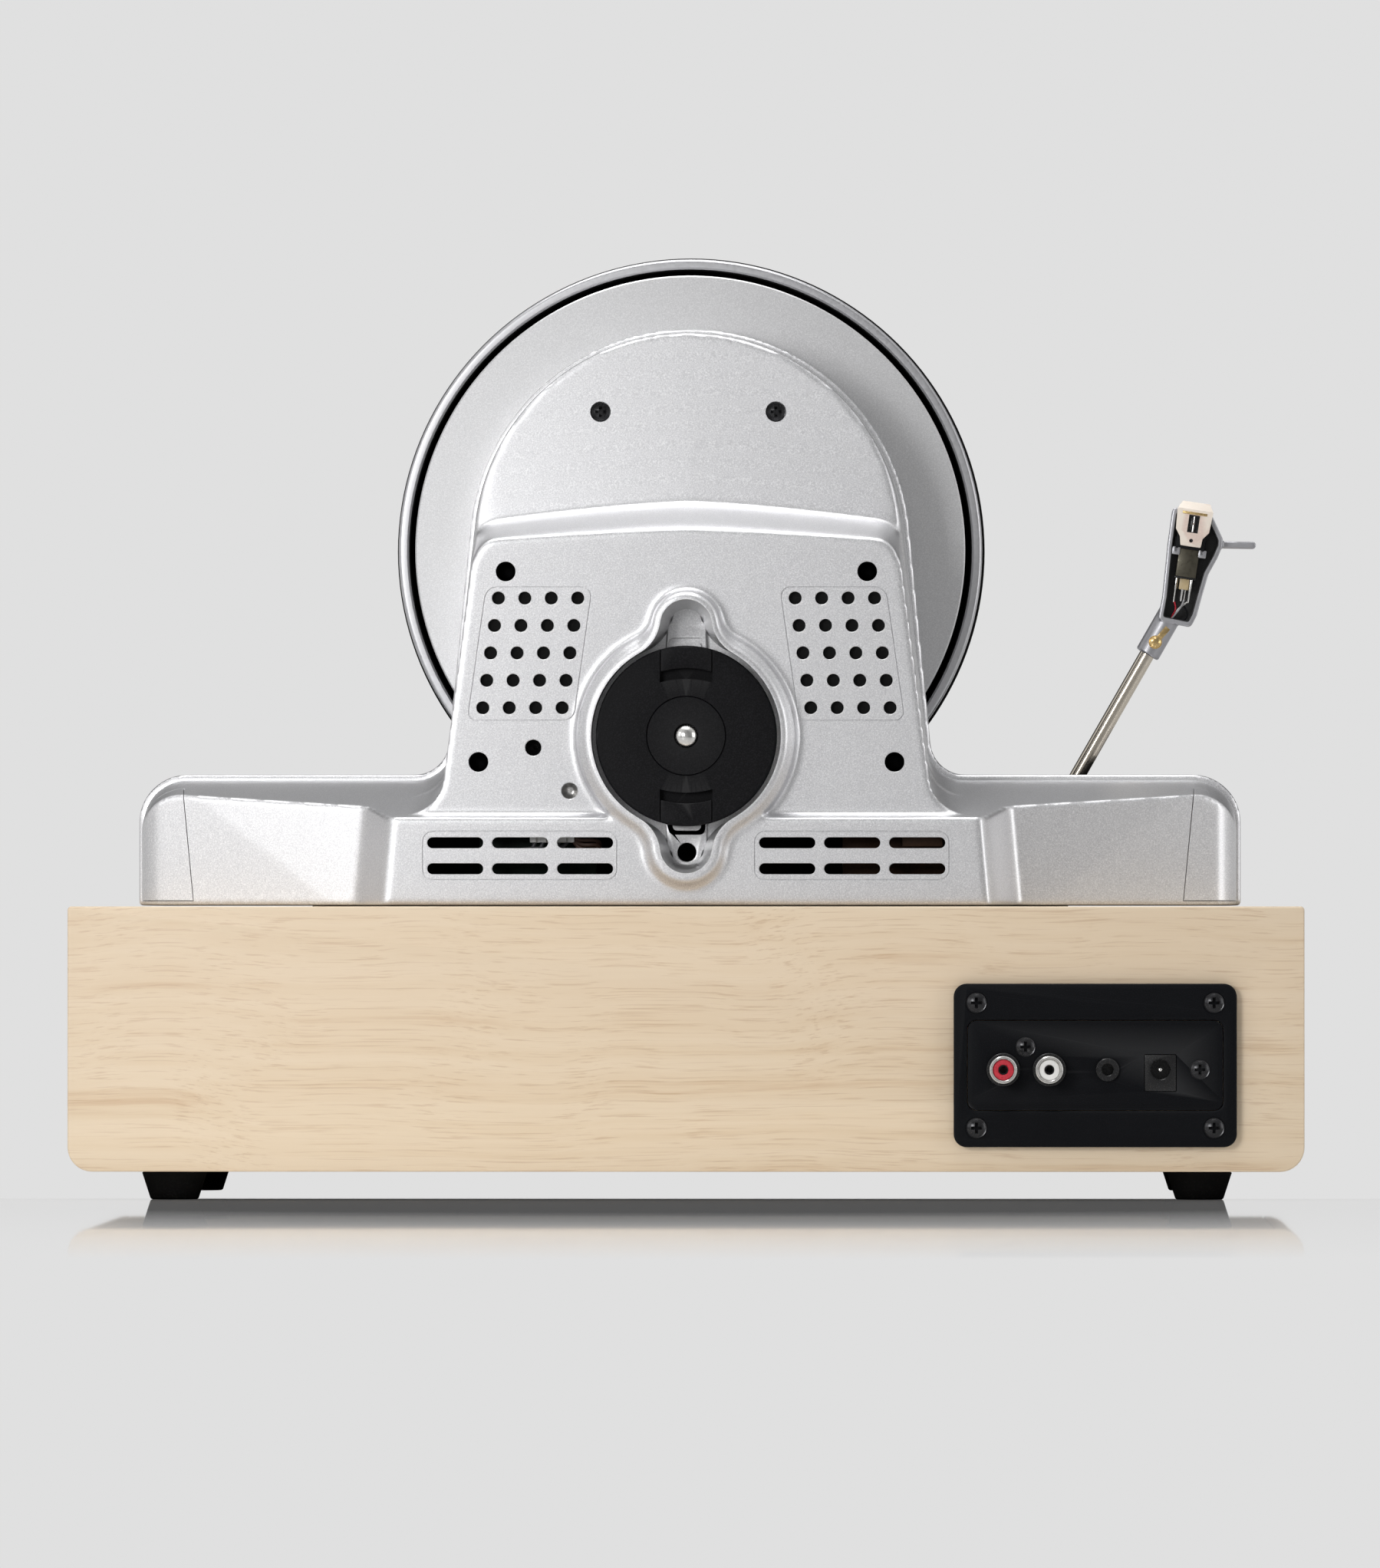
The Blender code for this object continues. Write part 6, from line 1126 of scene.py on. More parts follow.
def lobe_floors():
    """A raised floor in each finger lobe, with a groove across it beside the clamp."""
    top = RECESS_Y + LOBE_FLOOR_RISE
    half, near, far = LOBE_FLOOR_HALF, LOBE_FLOOR_NEAR, LOBE_FLOOR_FAR
    floor_ring = [(half, near), (half * 0.92, far)]
    floor_ring += arc((0, LOBE_HOLE_DROP), LOBE_FLOOR_END, 0, math.pi, 2 * ARC_STEPS)
    floor_ring += [(-half * 0.92, far), (-half, near)]
    rings = [floor_ring]
    rings += [rounded_box((-half * share, low), (half * share, high), edge) for share, low, high, edge in CHANNEL_RINGS]
    hole = circle(LOBE_HOLE_RADIUS, (0, CLAMP_Z - LOBE_HOLE_DROP))
    for name, side in (("lobe_floor_upper", 1), ("lobe_floor_lower", -1)):
        outline, *channel = [[(x, CLAMP_Z + side * z) for x, z in ring] for ring in rings]
        outlines = [outline, hole] if side < 0 else [outline]
        piece = bevelled(plate(name, outlines, "Y", RECESS_Y - LOBE_FLOOR_SINK, top), LOBE_FLOOR_EDGE)
        cut(piece, plate("channel", channel, "Y", top - CHANNEL_DEPTH, top + CUT_OVERRUN))
        finish(piece, "housing", "silver_paint")


# The cabinet

BOARD_RADIUS = 0.0075
BOARD_TOP_RADIUS = 0.0012
BOARD_EDGE = 0.0005
PANEL_HOLE = (0.074, 0.022, 0.003)


def cabinet():
    """The wooden boards, with eased edges and round lower corners at the sides."""
    hole = centred_box(round_node("connector_panel")[2:4], *PANEL_HOLE)
    for node, name, grain, holes in (
        ("cabinet_back_panel", "back_board", "pale_wood_x", [hole]),
        ("cabinet_right_side", "cabinet_right_side_board", "pale_wood_y", []),
        ("cabinet_left_side", "cabinet_left_side_board", "pale_wood_y", []),
    ):
        low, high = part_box(node)
        at_low, at_high = low.x < 0, high.x > 0
        radii = [BOARD_RADIUS * at_low, BOARD_RADIUS * at_high, BOARD_TOP_RADIUS * at_high, BOARD_TOP_RADIUS * at_low]
        outline = rounded_box((low.x, low.z), (high.x, high.z), radii, 8)
        finish(bevelled(plate(name, [outline, *holes], "Y", low.y, high.y), BOARD_EDGE), "housing", grain, node)


# Screws and sockets

# Shares of a screw head's radius, and of its height for the straight side
HEAD_HEIGHT = 0.42
HEAD_DOME = 1.6
HEAD_EDGE = 0.9
HEAD_SHANK = 0.42
HEAD_SIDE = 0.42
# The cross recess's reach at the top and at its floor, half width and depth
CROSS_SHARES = (0.62, 0.62 * 0.45, 0.15, HEAD_HEIGHT * 1.1)
CROSS_RISE = 0.00002


def cross_screw(node):
    """A dome-headed screw with a cross recess, in place of a node."""
    low, high, x, z, radius = round_node(node)
    height = radius * HEAD_HEIGHT
    seat_y = high.y - height
    dome = radius * HEAD_DOME
    shank = radius * HEAD_SHANK
    profile = arc((0, high.y - dome), dome, QUARTER, QUARTER - math.asin(radius * HEAD_EDGE / dome), 6)
    profile += [(radius, seat_y + height * HEAD_SIDE), (radius, seat_y), (shank, seat_y), (shank, low.y), (0, low.y)]
    screw = turned(f"{node}_head", profile, along_y(x, z), 40)
    reach, foot, half, depth = (radius * share for share in CROSS_SHARES)
    outline = [(-reach, 0), (reach, 0), (foot, -depth), (-foot, -depth)]
    for turn in (0, QUARTER):
        blade_place = Matrix.Translation((x, high.y + CROSS_RISE, z)) @ Matrix.Rotation(turn, 4, "Y")
        cut(screw, plate("blade", [outline], "Y", -half, half, blade_place @ Matrix.Rotation(-QUARTER, 4, "X")))
    finish(screw, "housing", "dark_steel", node)


PANEL_GAP = 0.0002
PANEL_SCREWS = [f"panel_screw_{number}" for number in range(1, 5)]
WINDOW_RADIUS = 0.0028
RING_GAP = 0.0001
RING_WIDTH = 0.0006
RING_DEPTH = 0.0004
PHONO_RADIUS = 0.0042
PHONO_BORE = 0.0033
PHONO_LIP = 0.00025
PHONO_FLANGE = 0.0012
INSERT_BORE = 0.00155
INSERT_SINK = 0.0008
INSERT_DEPTH = 0.004
HEADPHONE_HOLE = 0.0030
PANEL_RADIUS = 0.004
PANEL_EDGE = 0.0006
PLATE_EDGE = 0.00035
FIT = 0.0001
SLEEVE_WALL = 0.0003
SLEEVE_SINK = 0.0016
# The headphone socket's ring, hole, lip, neck, the depth of its body and its solid end
RING_NUT = 0.00355, 0.00175, 0.0003, 0.0029, 0.0042, 0.001
# The power socket's well and pin, lip and edge, the depths of the well, the pin's tip and its foot
POWER_WELL = 0.00295
POWER_PIN = 0.0010
POWER_LIP = 0.0003
POWER_RISE = 0.0010
POWER_DEPTH = 0.009
PIN_SINK = 0.0015
PIN_LENGTH = 0.0012


def connector_panel():
    """The panel, the plate in it, the sockets and their screws."""
    low, high, x, z, half = round_node("connector_panel")
    plate_low, plate_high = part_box("jack_plate")
    width, height = plate_high.x - plate_low.x, plate_high.z - plate_low.z
    outline = centred_box((x, z), 2 * half, high.z - low.z, PANEL_RADIUS, 8)
    window = centred_box((x, z), width + 2 * PANEL_GAP, height + 2 * PANEL_GAP, WINDOW_RADIUS + PANEL_GAP, 8)
    panel = bevelled(plate("panel_frame", [outline, window], "Y", low.y, high.y), PANEL_EDGE, 4)
    top = high.y + CUT_OVERRUN
    for node in PANEL_SCREWS:
        _, _, screw_x, screw_z, radius = round_node(node)
        inner = radius + RING_GAP
        ring = [(inner, high.y - RING_DEPTH), (inner + RING_WIDTH, top), (inner, top)]
        cut(panel, turned("screw_ring", ring, along_y(screw_x, screw_z), 48, ring=True))
    finish(panel, "housing", "black_plastic", "connector_panel")

    outlines = [centred_box((x, z), width, height, WINDOW_RADIUS, 8)]
    for name, radius in (
        ("phono_socket_right", PHONO_RADIUS), ("phono_socket_left", PHONO_RADIUS), ("headphone_socket", HEADPHONE_HOLE)
    ):
        outlines.append(circle(radius, round_node(name)[2:4], 40))
    low, high, x, z, half = round_node("power_socket")
    size = (2 * half + 2 * PANEL_GAP, high.z - low.z + 2 * PANEL_GAP)
    outlines.append(centred_box((x, z), *size, 0.0004, 3))
    face = bevelled(plate("jack_face", outlines, "Y", plate_low.y, plate_high.y), PLATE_EDGE)
    finish(face, "housing", "black_plastic", "jack_plate")

    for node in (*PANEL_SCREWS, "jack_plate_screw_1", "jack_plate_screw_2"):
        cross_screw(node)
    phono_socket("right", "red_plastic", plate_high.y)
    phono_socket("left", "white_plastic", plate_high.y)
    headphone_socket(plate_high.y)
    power_socket()


def phono_socket(side, colour, face_y):
    """A metal barrel with a rounded lip, on a black washer, with a coloured insert and a sleeve in it."""
    low, high, x, z, flange_radius = round_node(f"phono_socket_{side}")
    place = along_y(x, z)
    lip = PHONO_LIP
    seat_y = face_y + SEAT_GAP
    flange_y = seat_y + PHONO_FLANGE
    neck = PHONO_RADIUS - lip
    profile = [(PHONO_BORE, low.y), (PHONO_BORE, high.y - lip), (PHONO_BORE + lip, high.y), (neck, high.y)]
    profile += [(PHONO_RADIUS, high.y - lip), (PHONO_RADIUS, flange_y - lip), (neck, flange_y - lip), (neck, low.y)]
    barrel = turned(f"phono_barrel_{side}", profile, place, 72, ring=True)
    finish(barrel, "housing", "bright_steel", f"phono_socket_{side}")
    profile = [(neck, seat_y), (neck, flange_y - lip), (PHONO_RADIUS, flange_y), (flange_radius - lip, flange_y)]
    profile += [(flange_radius, flange_y - lip), (flange_radius, seat_y)]
    washer = turned(f"phono_washer_{side}", profile, place, ring=True)
    finish(washer, "housing", "black_plastic_smooth")
    insert_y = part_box(f"phono_insert_{side}")[0].y
    floor_y = insert_y + INSERT_DEPTH
    radius = PHONO_BORE - FIT
    top = high.y - INSERT_SINK
    profile = [(INSERT_BORE, floor_y), (INSERT_BORE, top - lip), (INSERT_BORE + lip, top), (radius - lip, top)]
    profile += [(radius, top - lip), (radius, insert_y), (0, insert_y), (0, floor_y)]
    insert = turned(f"phono_core_{side}", profile, place, 48, ring=True)
    finish(insert, "housing", colour, f"phono_insert_{side}")
    inner, outer, end = INSERT_BORE - FIT - SLEEVE_WALL, INSERT_BORE - FIT, top - SLEEVE_SINK
    profile = [(inner, floor_y), (inner, end), (outer, end), (outer, floor_y)]
    sleeve = turned(f"phono_sleeve_{side}", profile, place, SMALL_STEPS, ring=True)
    finish(sleeve, "housing", "dark_steel")


def headphone_socket(face_y):
    """A black ring nut with a lined hole."""
    low, high, x, z, body = round_node("headphone_socket")
    radius, hole, lip, neck, depth, end = RING_NUT
    body_y = face_y - depth
    seat_y = face_y + SEAT_GAP
    profile = [(hole, low.y + end), (hole, high.y - lip), (hole + lip, high.y), (radius - lip, high.y)]
    profile += [(radius, high.y - lip), (radius, seat_y), (neck, seat_y), (neck, body_y), (body, body_y)]
    profile += [(body, low.y), (0, low.y), (0, low.y + end)]
    socket = turned("headphone_ring", profile, along_y(x, z), ring=True)
    finish(socket, "housing", "black_plastic_smooth", "headphone_socket")


def power_socket():
    """A square body with a round well and a pin."""
    low, high, x, z, half = round_node("power_socket")
    well, pin, lip = POWER_WELL, POWER_PIN, POWER_LIP
    floor_y = high.y - POWER_DEPTH
    tip_y = high.y - PIN_SINK
    top = high.y + CUT_OVERRUN
    place = along_y(x, z + POWER_RISE)
    body = plate("power_body", [centred_box((x, z), 2 * half, high.z - low.z, lip, 3)], "Y", low.y, high.y)
    bevelled(body, lip, 2)
    cutter = [(pin, floor_y), (well, floor_y), (well, high.y - lip), (well + lip + CUT_OVERRUN, top), (pin, top)]
    cut(body, turned("well", cutter, place, 56, ring=True))
    cut(body, bar("pin_top", pin + FIT, tip_y - PIN_LENGTH / 2, top, place, 24))
    finish(body, "housing", "black_plastic_smooth", "power_socket")
    dome = arc((0, tip_y - pin), pin, QUARTER, 0, 6)
    cap = turned("power_pin", dome + [(pin, tip_y - PIN_LENGTH), (0, tip_y - PIN_LENGTH)], place, 24)
    finish(cap, "housing", "bright_steel")


# The feet, the knob and the button


def feet():
    """Four tapered feet with a soft lower edge."""
    edge = 0.0009
    for name in ("foot_front_left", "foot_front_right", "foot_rear_left", "foot_rear_right"):
        low, high, x, _, top = round_node(name)
        bottom = top * 0.75
        slope = math.atan2(top - bottom, high.z - low.z)
        profile = [(0, high.z), (top - edge / 3, high.z), (top, high.z - edge / 3)]
        profile += arc((bottom - edge * 0.9, low.z + edge), edge, -slope, -QUARTER, 6)
        profile += [(bottom * 0.55, low.z), (bottom * 0.5, low.z + 0.0004), (0, low.z + 0.0004)]
        foot = turned(f"{name}_cone", profile, Matrix.Translation((x, (low.y + high.y) / 2, 0)), 72)
        finish(foot, "housing", "black_rubber", name)


KNOB_RIBS = 48
KNOB_STEPS = KNOB_RIBS * 6
KNOB_RIB_DEPTH = 0.00016
KNOB_EDGE = 0.0007
KNOB_DEPTH = 0.012
KNOB_SHAFT = 0.003


def knob():
    """The ribbed volume knob, with the mark on its face."""
    low, high, x, z, radius = round_node("volume_knob")
    edge = KNOB_EDGE
    seat_y = low.y + KNOB_DEPTH
    inner = radius - edge * 1.4
    sections = []
    # Each ring's depth, its radius, and how deep the ribs are there
    for y, size, share in (
        (seat_y, radius - edge / 2, 0),
        (seat_y - edge, radius, 1),
        (low.y + 2 * edge, radius, 1),
        (low.y + edge * 0.6, radius - edge * 0.35, 0.5),
        (low.y + edge * 0.15, radius - edge, 0),
        (low.y, inner, 0),
        (low.y, inner * 0.9, 0),
        (low.y + 0.0003, inner * 0.87, 0),
    ):
        ring = []
        for i in range(KNOB_STEPS):
            angle = 2 * math.pi * i / KNOB_STEPS
            reach = size - KNOB_RIB_DEPTH * share * (0.5 - 0.5 * math.cos(KNOB_RIBS * angle))
            ring.append((x + reach * math.cos(angle), y, z + reach * math.sin(angle)))
        sections.append(ring)
    body = loft("knob_body", sections)
    mark_low = (x - 0.0004, low.y - CUT_OVERRUN, z + radius * 0.35)
    cut(body, block("mark", mark_low, (x + 0.0004, low.y + 0.0009, z + radius * 0.75)))
    join(body, bar("knob_shaft", KNOB_SHAFT, seat_y - edge, high.y, along_y(x, z)))
    finish(body, "volume_knob", "aluminium", "volume_knob", angle=math.radians(40))


BUTTON_RADIUS = 0.005
BUTTON_EDGE = 0.0006
BUTTON_FLANGE = 0.0012


def start_button():
    """The start button with its hidden flange and a dished face."""
    low, high, x, z, flange = round_node("start_button")
    radius, edge = BUTTON_RADIUS, BUTTON_EDGE
    seat_y = high.y - BUTTON_FLANGE
    profile = [(0, high.y), (flange, high.y), (flange, seat_y), (radius, seat_y)]
    profile += arc((radius - edge, low.y + edge), edge, 0, -QUARTER, 5)
    profile += [(radius * 0.62, low.y), (radius * 0.5, low.y + 0.0003), (0, low.y + 0.00035)]
    finish(turned("button_body", profile, along_y(x, z)), "start_button", "aluminium", "start_button")


# The tonearm

TENTH = 0.0001
ARM_TUBE_RADIUS = 0.0024
ARM_TUBE_REACH = 0.144
ARM_BORE = 0.0018
ARM_SLEEVE = 0.0042
SLEEVE_HALF = 0.006
ARM_TAIL = -0.033
AXLE_REACH = 0.0119
AXLE_RADIUS = 0.0015
WEIGHT_RADIUS = 0.010
WEIGHT_EDGE = 0.0009
WEIGHT_START = -0.015
WEIGHT_END = -0.031
WEIGHT_GROOVE = 0.0005
WEIGHT_PITCH = 0.003
COLLAR_START = 0.1358
COLLAR_END = COLLAR_START + 0.013
COLLAR_RADIUS = 0.0039
SHELL_FRONT = 0.0060
SHELL_BACK = -0.0040
SHELL_WALL = 0.0013
SHELL_EDGE = 0.0006
SHELL_FLOOR = SHELL_FRONT - SHELL_WALL
LINER_WALL = 0.0003
LIFT_HALF = 0.00112
LIFT_ROOT = Vector((0.0105, 0.0252))
LIFT_TIP = Vector((0.0230, 0.0268))
OUTER_FILLET = 0.0016
INNER_FILLET = 0.0010
LINER_FILLET = 0.0008
LINER_SINK = 0.0007
CARTRIDGE_ACROSS = 0.0036
# The tonearm's frame: Z runs up the tube, and Y is world +Y
ARM = Matrix.Translation((-0.0755, -0.0270, 0.0518)) @ Matrix.Rotation(-math.radians(29.85), 4, "Y")
# The headshell's frame: Z runs along the shell, X across it away from the record, Y is world -Y
SHELL = Matrix.Translation(ARM @ Vector((0, 0, COLLAR_END))) @ Matrix.Rotation(-math.radians(8.5), 4, "Y")
SHELL = SHELL @ Matrix.Rotation(math.pi, 4, "Z")
# The cartridge's frame, at the shell's open side
CARTRIDGE = shifted(SHELL, CARTRIDGE_ACROSS, SHELL_BACK, 0)
CARTRIDGE_FLOOR = SHELL_FLOOR - LINER_WALL - SHELL_BACK
# The stylus unit's frame, at its face
STYLUS_BACK = 0.0034
STYLUS_Y = SHELL_BACK - 0.0006 - STYLUS_BACK
STYLUS = shifted(SHELL, CARTRIDGE_ACROSS, STYLUS_Y, 0)
# The frame of what is behind the slots, at the shell's inner face
INSIDE = Matrix.Translation((0, DECK_BACK_Y - WALL, SLOT_TOP_Z))
BOARD_Y = -0.0145
BOARD_THICK = 0.0016
BOARD_FACE_Y = BOARD_Y + BOARD_THICK
# In tenths of a millimetre, across and along the shell
HEADSHELL_OUTLINE = [
    (x * TENTH, z * TENTH)
    for x, z in (
        (-30, -10), (76, -16), (89, 23), (97, 90), (106, 156), (127, 212), (137, 250), (135, 272), (88, 344),
        (75, 361), (-36, 348), (-35, 233), (-31, 156), (-27, 65),
    )
]


def filleted(points, radius, steps=5):
    """A closed outline with every corner rounded by a radius, or less where an edge is short."""
    outline = []
    for i, point in enumerate(points):
        here = Vector(point)
        before = Vector(points[i - 1]) - here
        after = Vector(points[(i + 1) % len(points)]) - here
        reach = min(radius / math.tan(before.angle(after) / 2), before.length * 0.45, after.length * 0.45)
        first = here + before.normalized() * reach
        last = here + after.normalized() * reach
        for j in range(steps + 1):
            share = j / steps
            outline.append(tuple(first.lerp(here, share).lerp(here.lerp(last, share), share)))
    return outline


def shell_outline(distance, radius):
    """The headshell's outline, which runs anticlockwise, moved inwards by a distance and filleted."""
    points = []
    for i, point in enumerate(HEADSHELL_OUTLINE):
        here = Vector(point)
        first = (here - Vector(HEADSHELL_OUTLINE[i - 1])).normalized()
        second = (Vector(HEADSHELL_OUTLINE[(i + 1) % len(HEADSHELL_OUTLINE)]) - here).normalized()
        inward = Vector((-first.y, first.x)) + Vector((-second.y, second.x))
        points.append(tuple(here + inward * distance * 2 / inward.length_squared))
    return filleted(points, radius)


def arm_tube():
    """The polished tube, its bearing sleeve and lift axle, and the counterweight."""
    edge = 0.0004
    half = SLEEVE_HALF
    radius = ARM_TUBE_RADIUS
    profile = [(ARM_BORE, ARM_TUBE_REACH), (radius - edge / 2, ARM_TUBE_REACH), (radius, ARM_TUBE_REACH - edge / 2)]
    profile += [(radius, half), (ARM_SLEEVE - edge, half), (ARM_SLEEVE, half - edge), (ARM_SLEEVE, edge - half)]
    profile += [(ARM_SLEEVE - edge, -half), (radius, -half), (radius, ARM_TAIL), (ARM_BORE, ARM_TAIL)]
    tube_piece = turned("arm_tube_body", profile, ARM, ring=True)
    axle = bar("axle", AXLE_RADIUS, -AXLE_REACH, AXLE_REACH, ARM @ Matrix.Rotation(QUARTER, 4, "Y"), 24)
    cut(axle, bar("axle_middle", ARM_BORE + 2 * FIT, ARM_TAIL, half * 2, ARM))
    join(tube_piece, axle, solver="EXACT")
    finish(tube_piece, "tonearm", "arm_tube_steel", "arm_tube")

    bore, radius, edge = ARM_TUBE_RADIUS + FIT, WEIGHT_RADIUS, WEIGHT_EDGE
    profile = [(bore, WEIGHT_START), (radius - edge, WEIGHT_START), (radius, WEIGHT_START - edge)]
    for i in range(3):
        at = WEIGHT_START - 0.005 - i * WEIGHT_PITCH
        profile += [(radius, at), (radius - 0.0006, at - WEIGHT_GROOVE), (radius, at - 2 * WEIGHT_GROOVE)]
    profile += [(radius, WEIGHT_END + edge), (radius - edge, WEIGHT_END), (bore, WEIGHT_END)]
    finish(turned("counterweight_body", profile, ARM, 80, ring=True), "tonearm", "dark_steel", "counterweight")


def headshell():
    """The hollow shell with its collar and finger lift, and its dark inside."""
    shell = plate("headshell_body", [filleted(HEADSHELL_OUTLINE, OUTER_FILLET)], "Y", SHELL_BACK, SHELL_FRONT, SHELL)
    bevelled(shell, SHELL_EDGE)
    profile = [(0, COLLAR_END + 0.005), (COLLAR_RADIUS, COLLAR_END + 0.004), (COLLAR_RADIUS, COLLAR_START + 0.0004)]
    collar = turned("collar", profile + [(COLLAR_RADIUS - 0.0004, COLLAR_START), (0, COLLAR_START)], ARM)
    along = (LIFT_TIP - LIFT_ROOT).normalized()
    side = Vector((-along.y, along.x)) * LIFT_HALF
    turn = math.atan2(along.y, along.x)
    outline = [tuple(LIFT_ROOT - side)] + arc(LIFT_TIP, LIFT_HALF, turn - QUARTER, turn + QUARTER, 10)
    outline.append(tuple(LIFT_ROOT + side))
    lift = plate("lift", [outline], "Y", 0.0, SHELL_FRONT - SHELL_EDGE, SHELL)
    join(shell, collar, bevelled(lift, 0.0004, 2, math.radians(50)))
    moulded(shell, voxel=0.00028, rounds=3)
    inner = shell_outline(SHELL_WALL, INNER_FILLET)
    cut(shell, plate("hollow", [inner], "Y", SHELL_BACK - CUT_OVERRUN, SHELL_FLOOR, SHELL))
    cut(shell, bar("collar_bore", ARM_TUBE_RADIUS + FIT, COLLAR_START - CUT_OVERRUN, COLLAR_END, ARM))
    finish(shell, "tonearm", "arm_metal", "headshell")

    outer = shell_outline(SHELL_WALL + FIT / 5, INNER_FILLET)
    within = shell_outline(SHELL_WALL + LINER_WALL, LINER_FILLET)
    liner = plate("shell_liner", [outer], "Y", SHELL_BACK + LINER_SINK, SHELL_FLOOR, SHELL)
    cut(liner, plate("hollow", [within], "Y", SHELL_BACK - CUT_OVERRUN, SHELL_FLOOR - LINER_WALL, SHELL))
    cut(liner, bar("liner_bore", ARM_TUBE_RADIUS, COLLAR_START, COLLAR_END + 0.006, ARM))
    finish(liner, "tonearm", "shell_inside")


# Boxes in their unit's frame: low corner, high corner and edge
BOXES = {
    "mount": ((-0.0046, -0.0003, 0.0225), (0.0046, CARTRIDGE_FLOOR, 0.0325), 0.0003),
    "cheek_inner": ((-0.0050, 0.001, 0.0205), (-0.0032, CARTRIDGE_FLOOR, 0.0260), 0.0002),
    "cheek_outer": ((0.0032, 0.001, 0.0205), (0.0050, CARTRIDGE_FLOOR, 0.0260), 0.0002),
    "clip_inner": ((-0.0054, -0.0004, 0.0203), (-0.0029, 0.0035, 0.0228), 0.0003),
    "clip_outer": ((0.0029, -0.0004, 0.0203), (0.0054, 0.0035, 0.0228), 0.0003),
    "notch_inner": ((-0.0046, -0.001, 0.0213), (-0.0036, 0.0008, 0.0240)),
    "notch_outer": ((0.0036, -0.001, 0.0213), (0.0046, 0.0008, 0.0240)),
    "shield": ((-0.00325, 0.0002, 0.0136), (0.00325, CARTRIDGE_FLOOR - 0.0004, 0.0228), 0.0004),
    "shield_edge": ((-0.0034, 0.0001, 0.0131), (0.0034, CARTRIDGE_FLOOR - 0.0002, 0.0137), 0.0001),
    "pin_block": ((-0.0016, 0.0010, 0.0097), (0.0014, CARTRIDGE_FLOOR - 0.001, 0.0133), 0.0003),
    "tag_tongue": ((-0.0009, -0.0060, 0.0034), (0.0009, 0.0, 0.0042), 0.0001),
    "screw_blade": ((-0.001045, -0.000247, 0.0046), (0.001045, 0.000247, 0.0070)),
    "window": ((-0.0017, -CUT_OVERRUN, 0.0277), (0.0017, 0.0022, 0.0333)),
    "window_lining": ((-0.00169, 0.0012, 0.02771), (0.00169, 0.00219, 0.03329)),
    "ridge": ((-0.0009, 0.0006, 0.0285), (0.0009, 0.0016, 0.0325), 0.0003),
    "gold_strip": ((-0.0039, -0.00015, 0.0334), (0.0039, 0.0004, 0.0342), 0.0001),
    "white_connector": ((0.0346, BOARD_FACE_Y, 0.0001), (0.0483, -0.005, 0.0075), 0.0003),
    "brown_block": ((-0.0790, BOARD_FACE_Y, -0.0012), (-0.0665, -0.004, 0.0042), 0.0004),
}
# Profiles in their unit's frame: radius and height
PROFILES = {
    "tag_ring": [(0, 0.0043), (0.0021, 0.0043), (0.0021, 0.0023), (0, 0.0023)],
    "collar_screw": [(0, 0.0052), (0.001045, 0.00512), (0.00171, 0.0048), (0.0019, 0.0043), (0, 0.0043)],
    "hole": [(0, 0.004), (0.0006, 0.004), (0.0006, -0.0012), (0, -0.0012)],
    "stylus_hole": [(0, -0.0004), (0.00035, -0.0002), (0.00059, -0.0002), (0.00059, -0.0016), (0, -0.0016)],
    "cantilever": [(0, 0.0329), (0.00022, 0.0329), (0.00030, 0.0280), (0, 0.0280)],
    "needle": [(0, 0.0033), (0.00008, 0.0032), (0.00035, 0.0024), (0.00035, 0.0), (0, 0.0)],
    "screw_well": [
        (0, -0.0073), (0.0012, -0.0074), (0.0022, -0.0078), (0.0026, -0.0085), (0.0031, -0.0085), (0.0031, 0.0001),
        (0.0039, 0.0001), (0.0039, -0.0095), (0, -0.0095),
    ],
    "access_boss": [(0.0026, 0.0002), (0.0034, 0.0002), (0.0034, -0.009), (0.0026, -0.009)],
    "access_pin": [
        (0, -0.0042), (0.0012, -0.0045), (0.0022, -0.0056), (0.0026, -0.006), (0.0026, -0.0088), (0, -0.0088)
    ],
}
# Each pin's place across, its depth and its reach
PINS = ((-0.0026, 0.0030, 0.0038), (-0.0004, 0.0016, 0.0032), (0.0006, 0.0030, 0.0030), (0.0020, 0.0016, 0.0034))
PIN_TOP = 0.0134
PIN_NECK = 0.0098
PIN_FOOT = 0.0092
PIN_WIDE = 0.00055
PIN_RADIUS = 0.0004
PIN_TIP = 0.00025
SCREW_OFFSET = (-0.0003, 0, COLLAR_START + 0.0046)
SCREW_TURN = 0.5
TAG_LEAN = math.radians(-12)
WIRE_RADIUS = 0.00028
# In the headshell's frame, in tenths of a millimetre
LEADS = (
    ("lead_red", "red_plastic", (10, -10, 62), (20, -8, 34), (14, 0, 12), (9, 4, -6)),
    ("lead_white", "white_plastic", (56, -10, 64), (40, -12, 48), (26, -6, 30), (10, 6, -2)),
    ("lead_grey", "grey_plastic", (42, -24, 66), (36, -20, 44), (22, -10, 18), (6, 2, -10)),
    ("lead_black", "black_plastic", (32, -10, 64), (58, -12, 12), (30, -10, -2), (12, -4, -14)),
)
LEAD_END = (-4, 6, -30)


def boxed(name, place):
    """A box from the table."""
    return block(name, *BOXES[name], place=place)


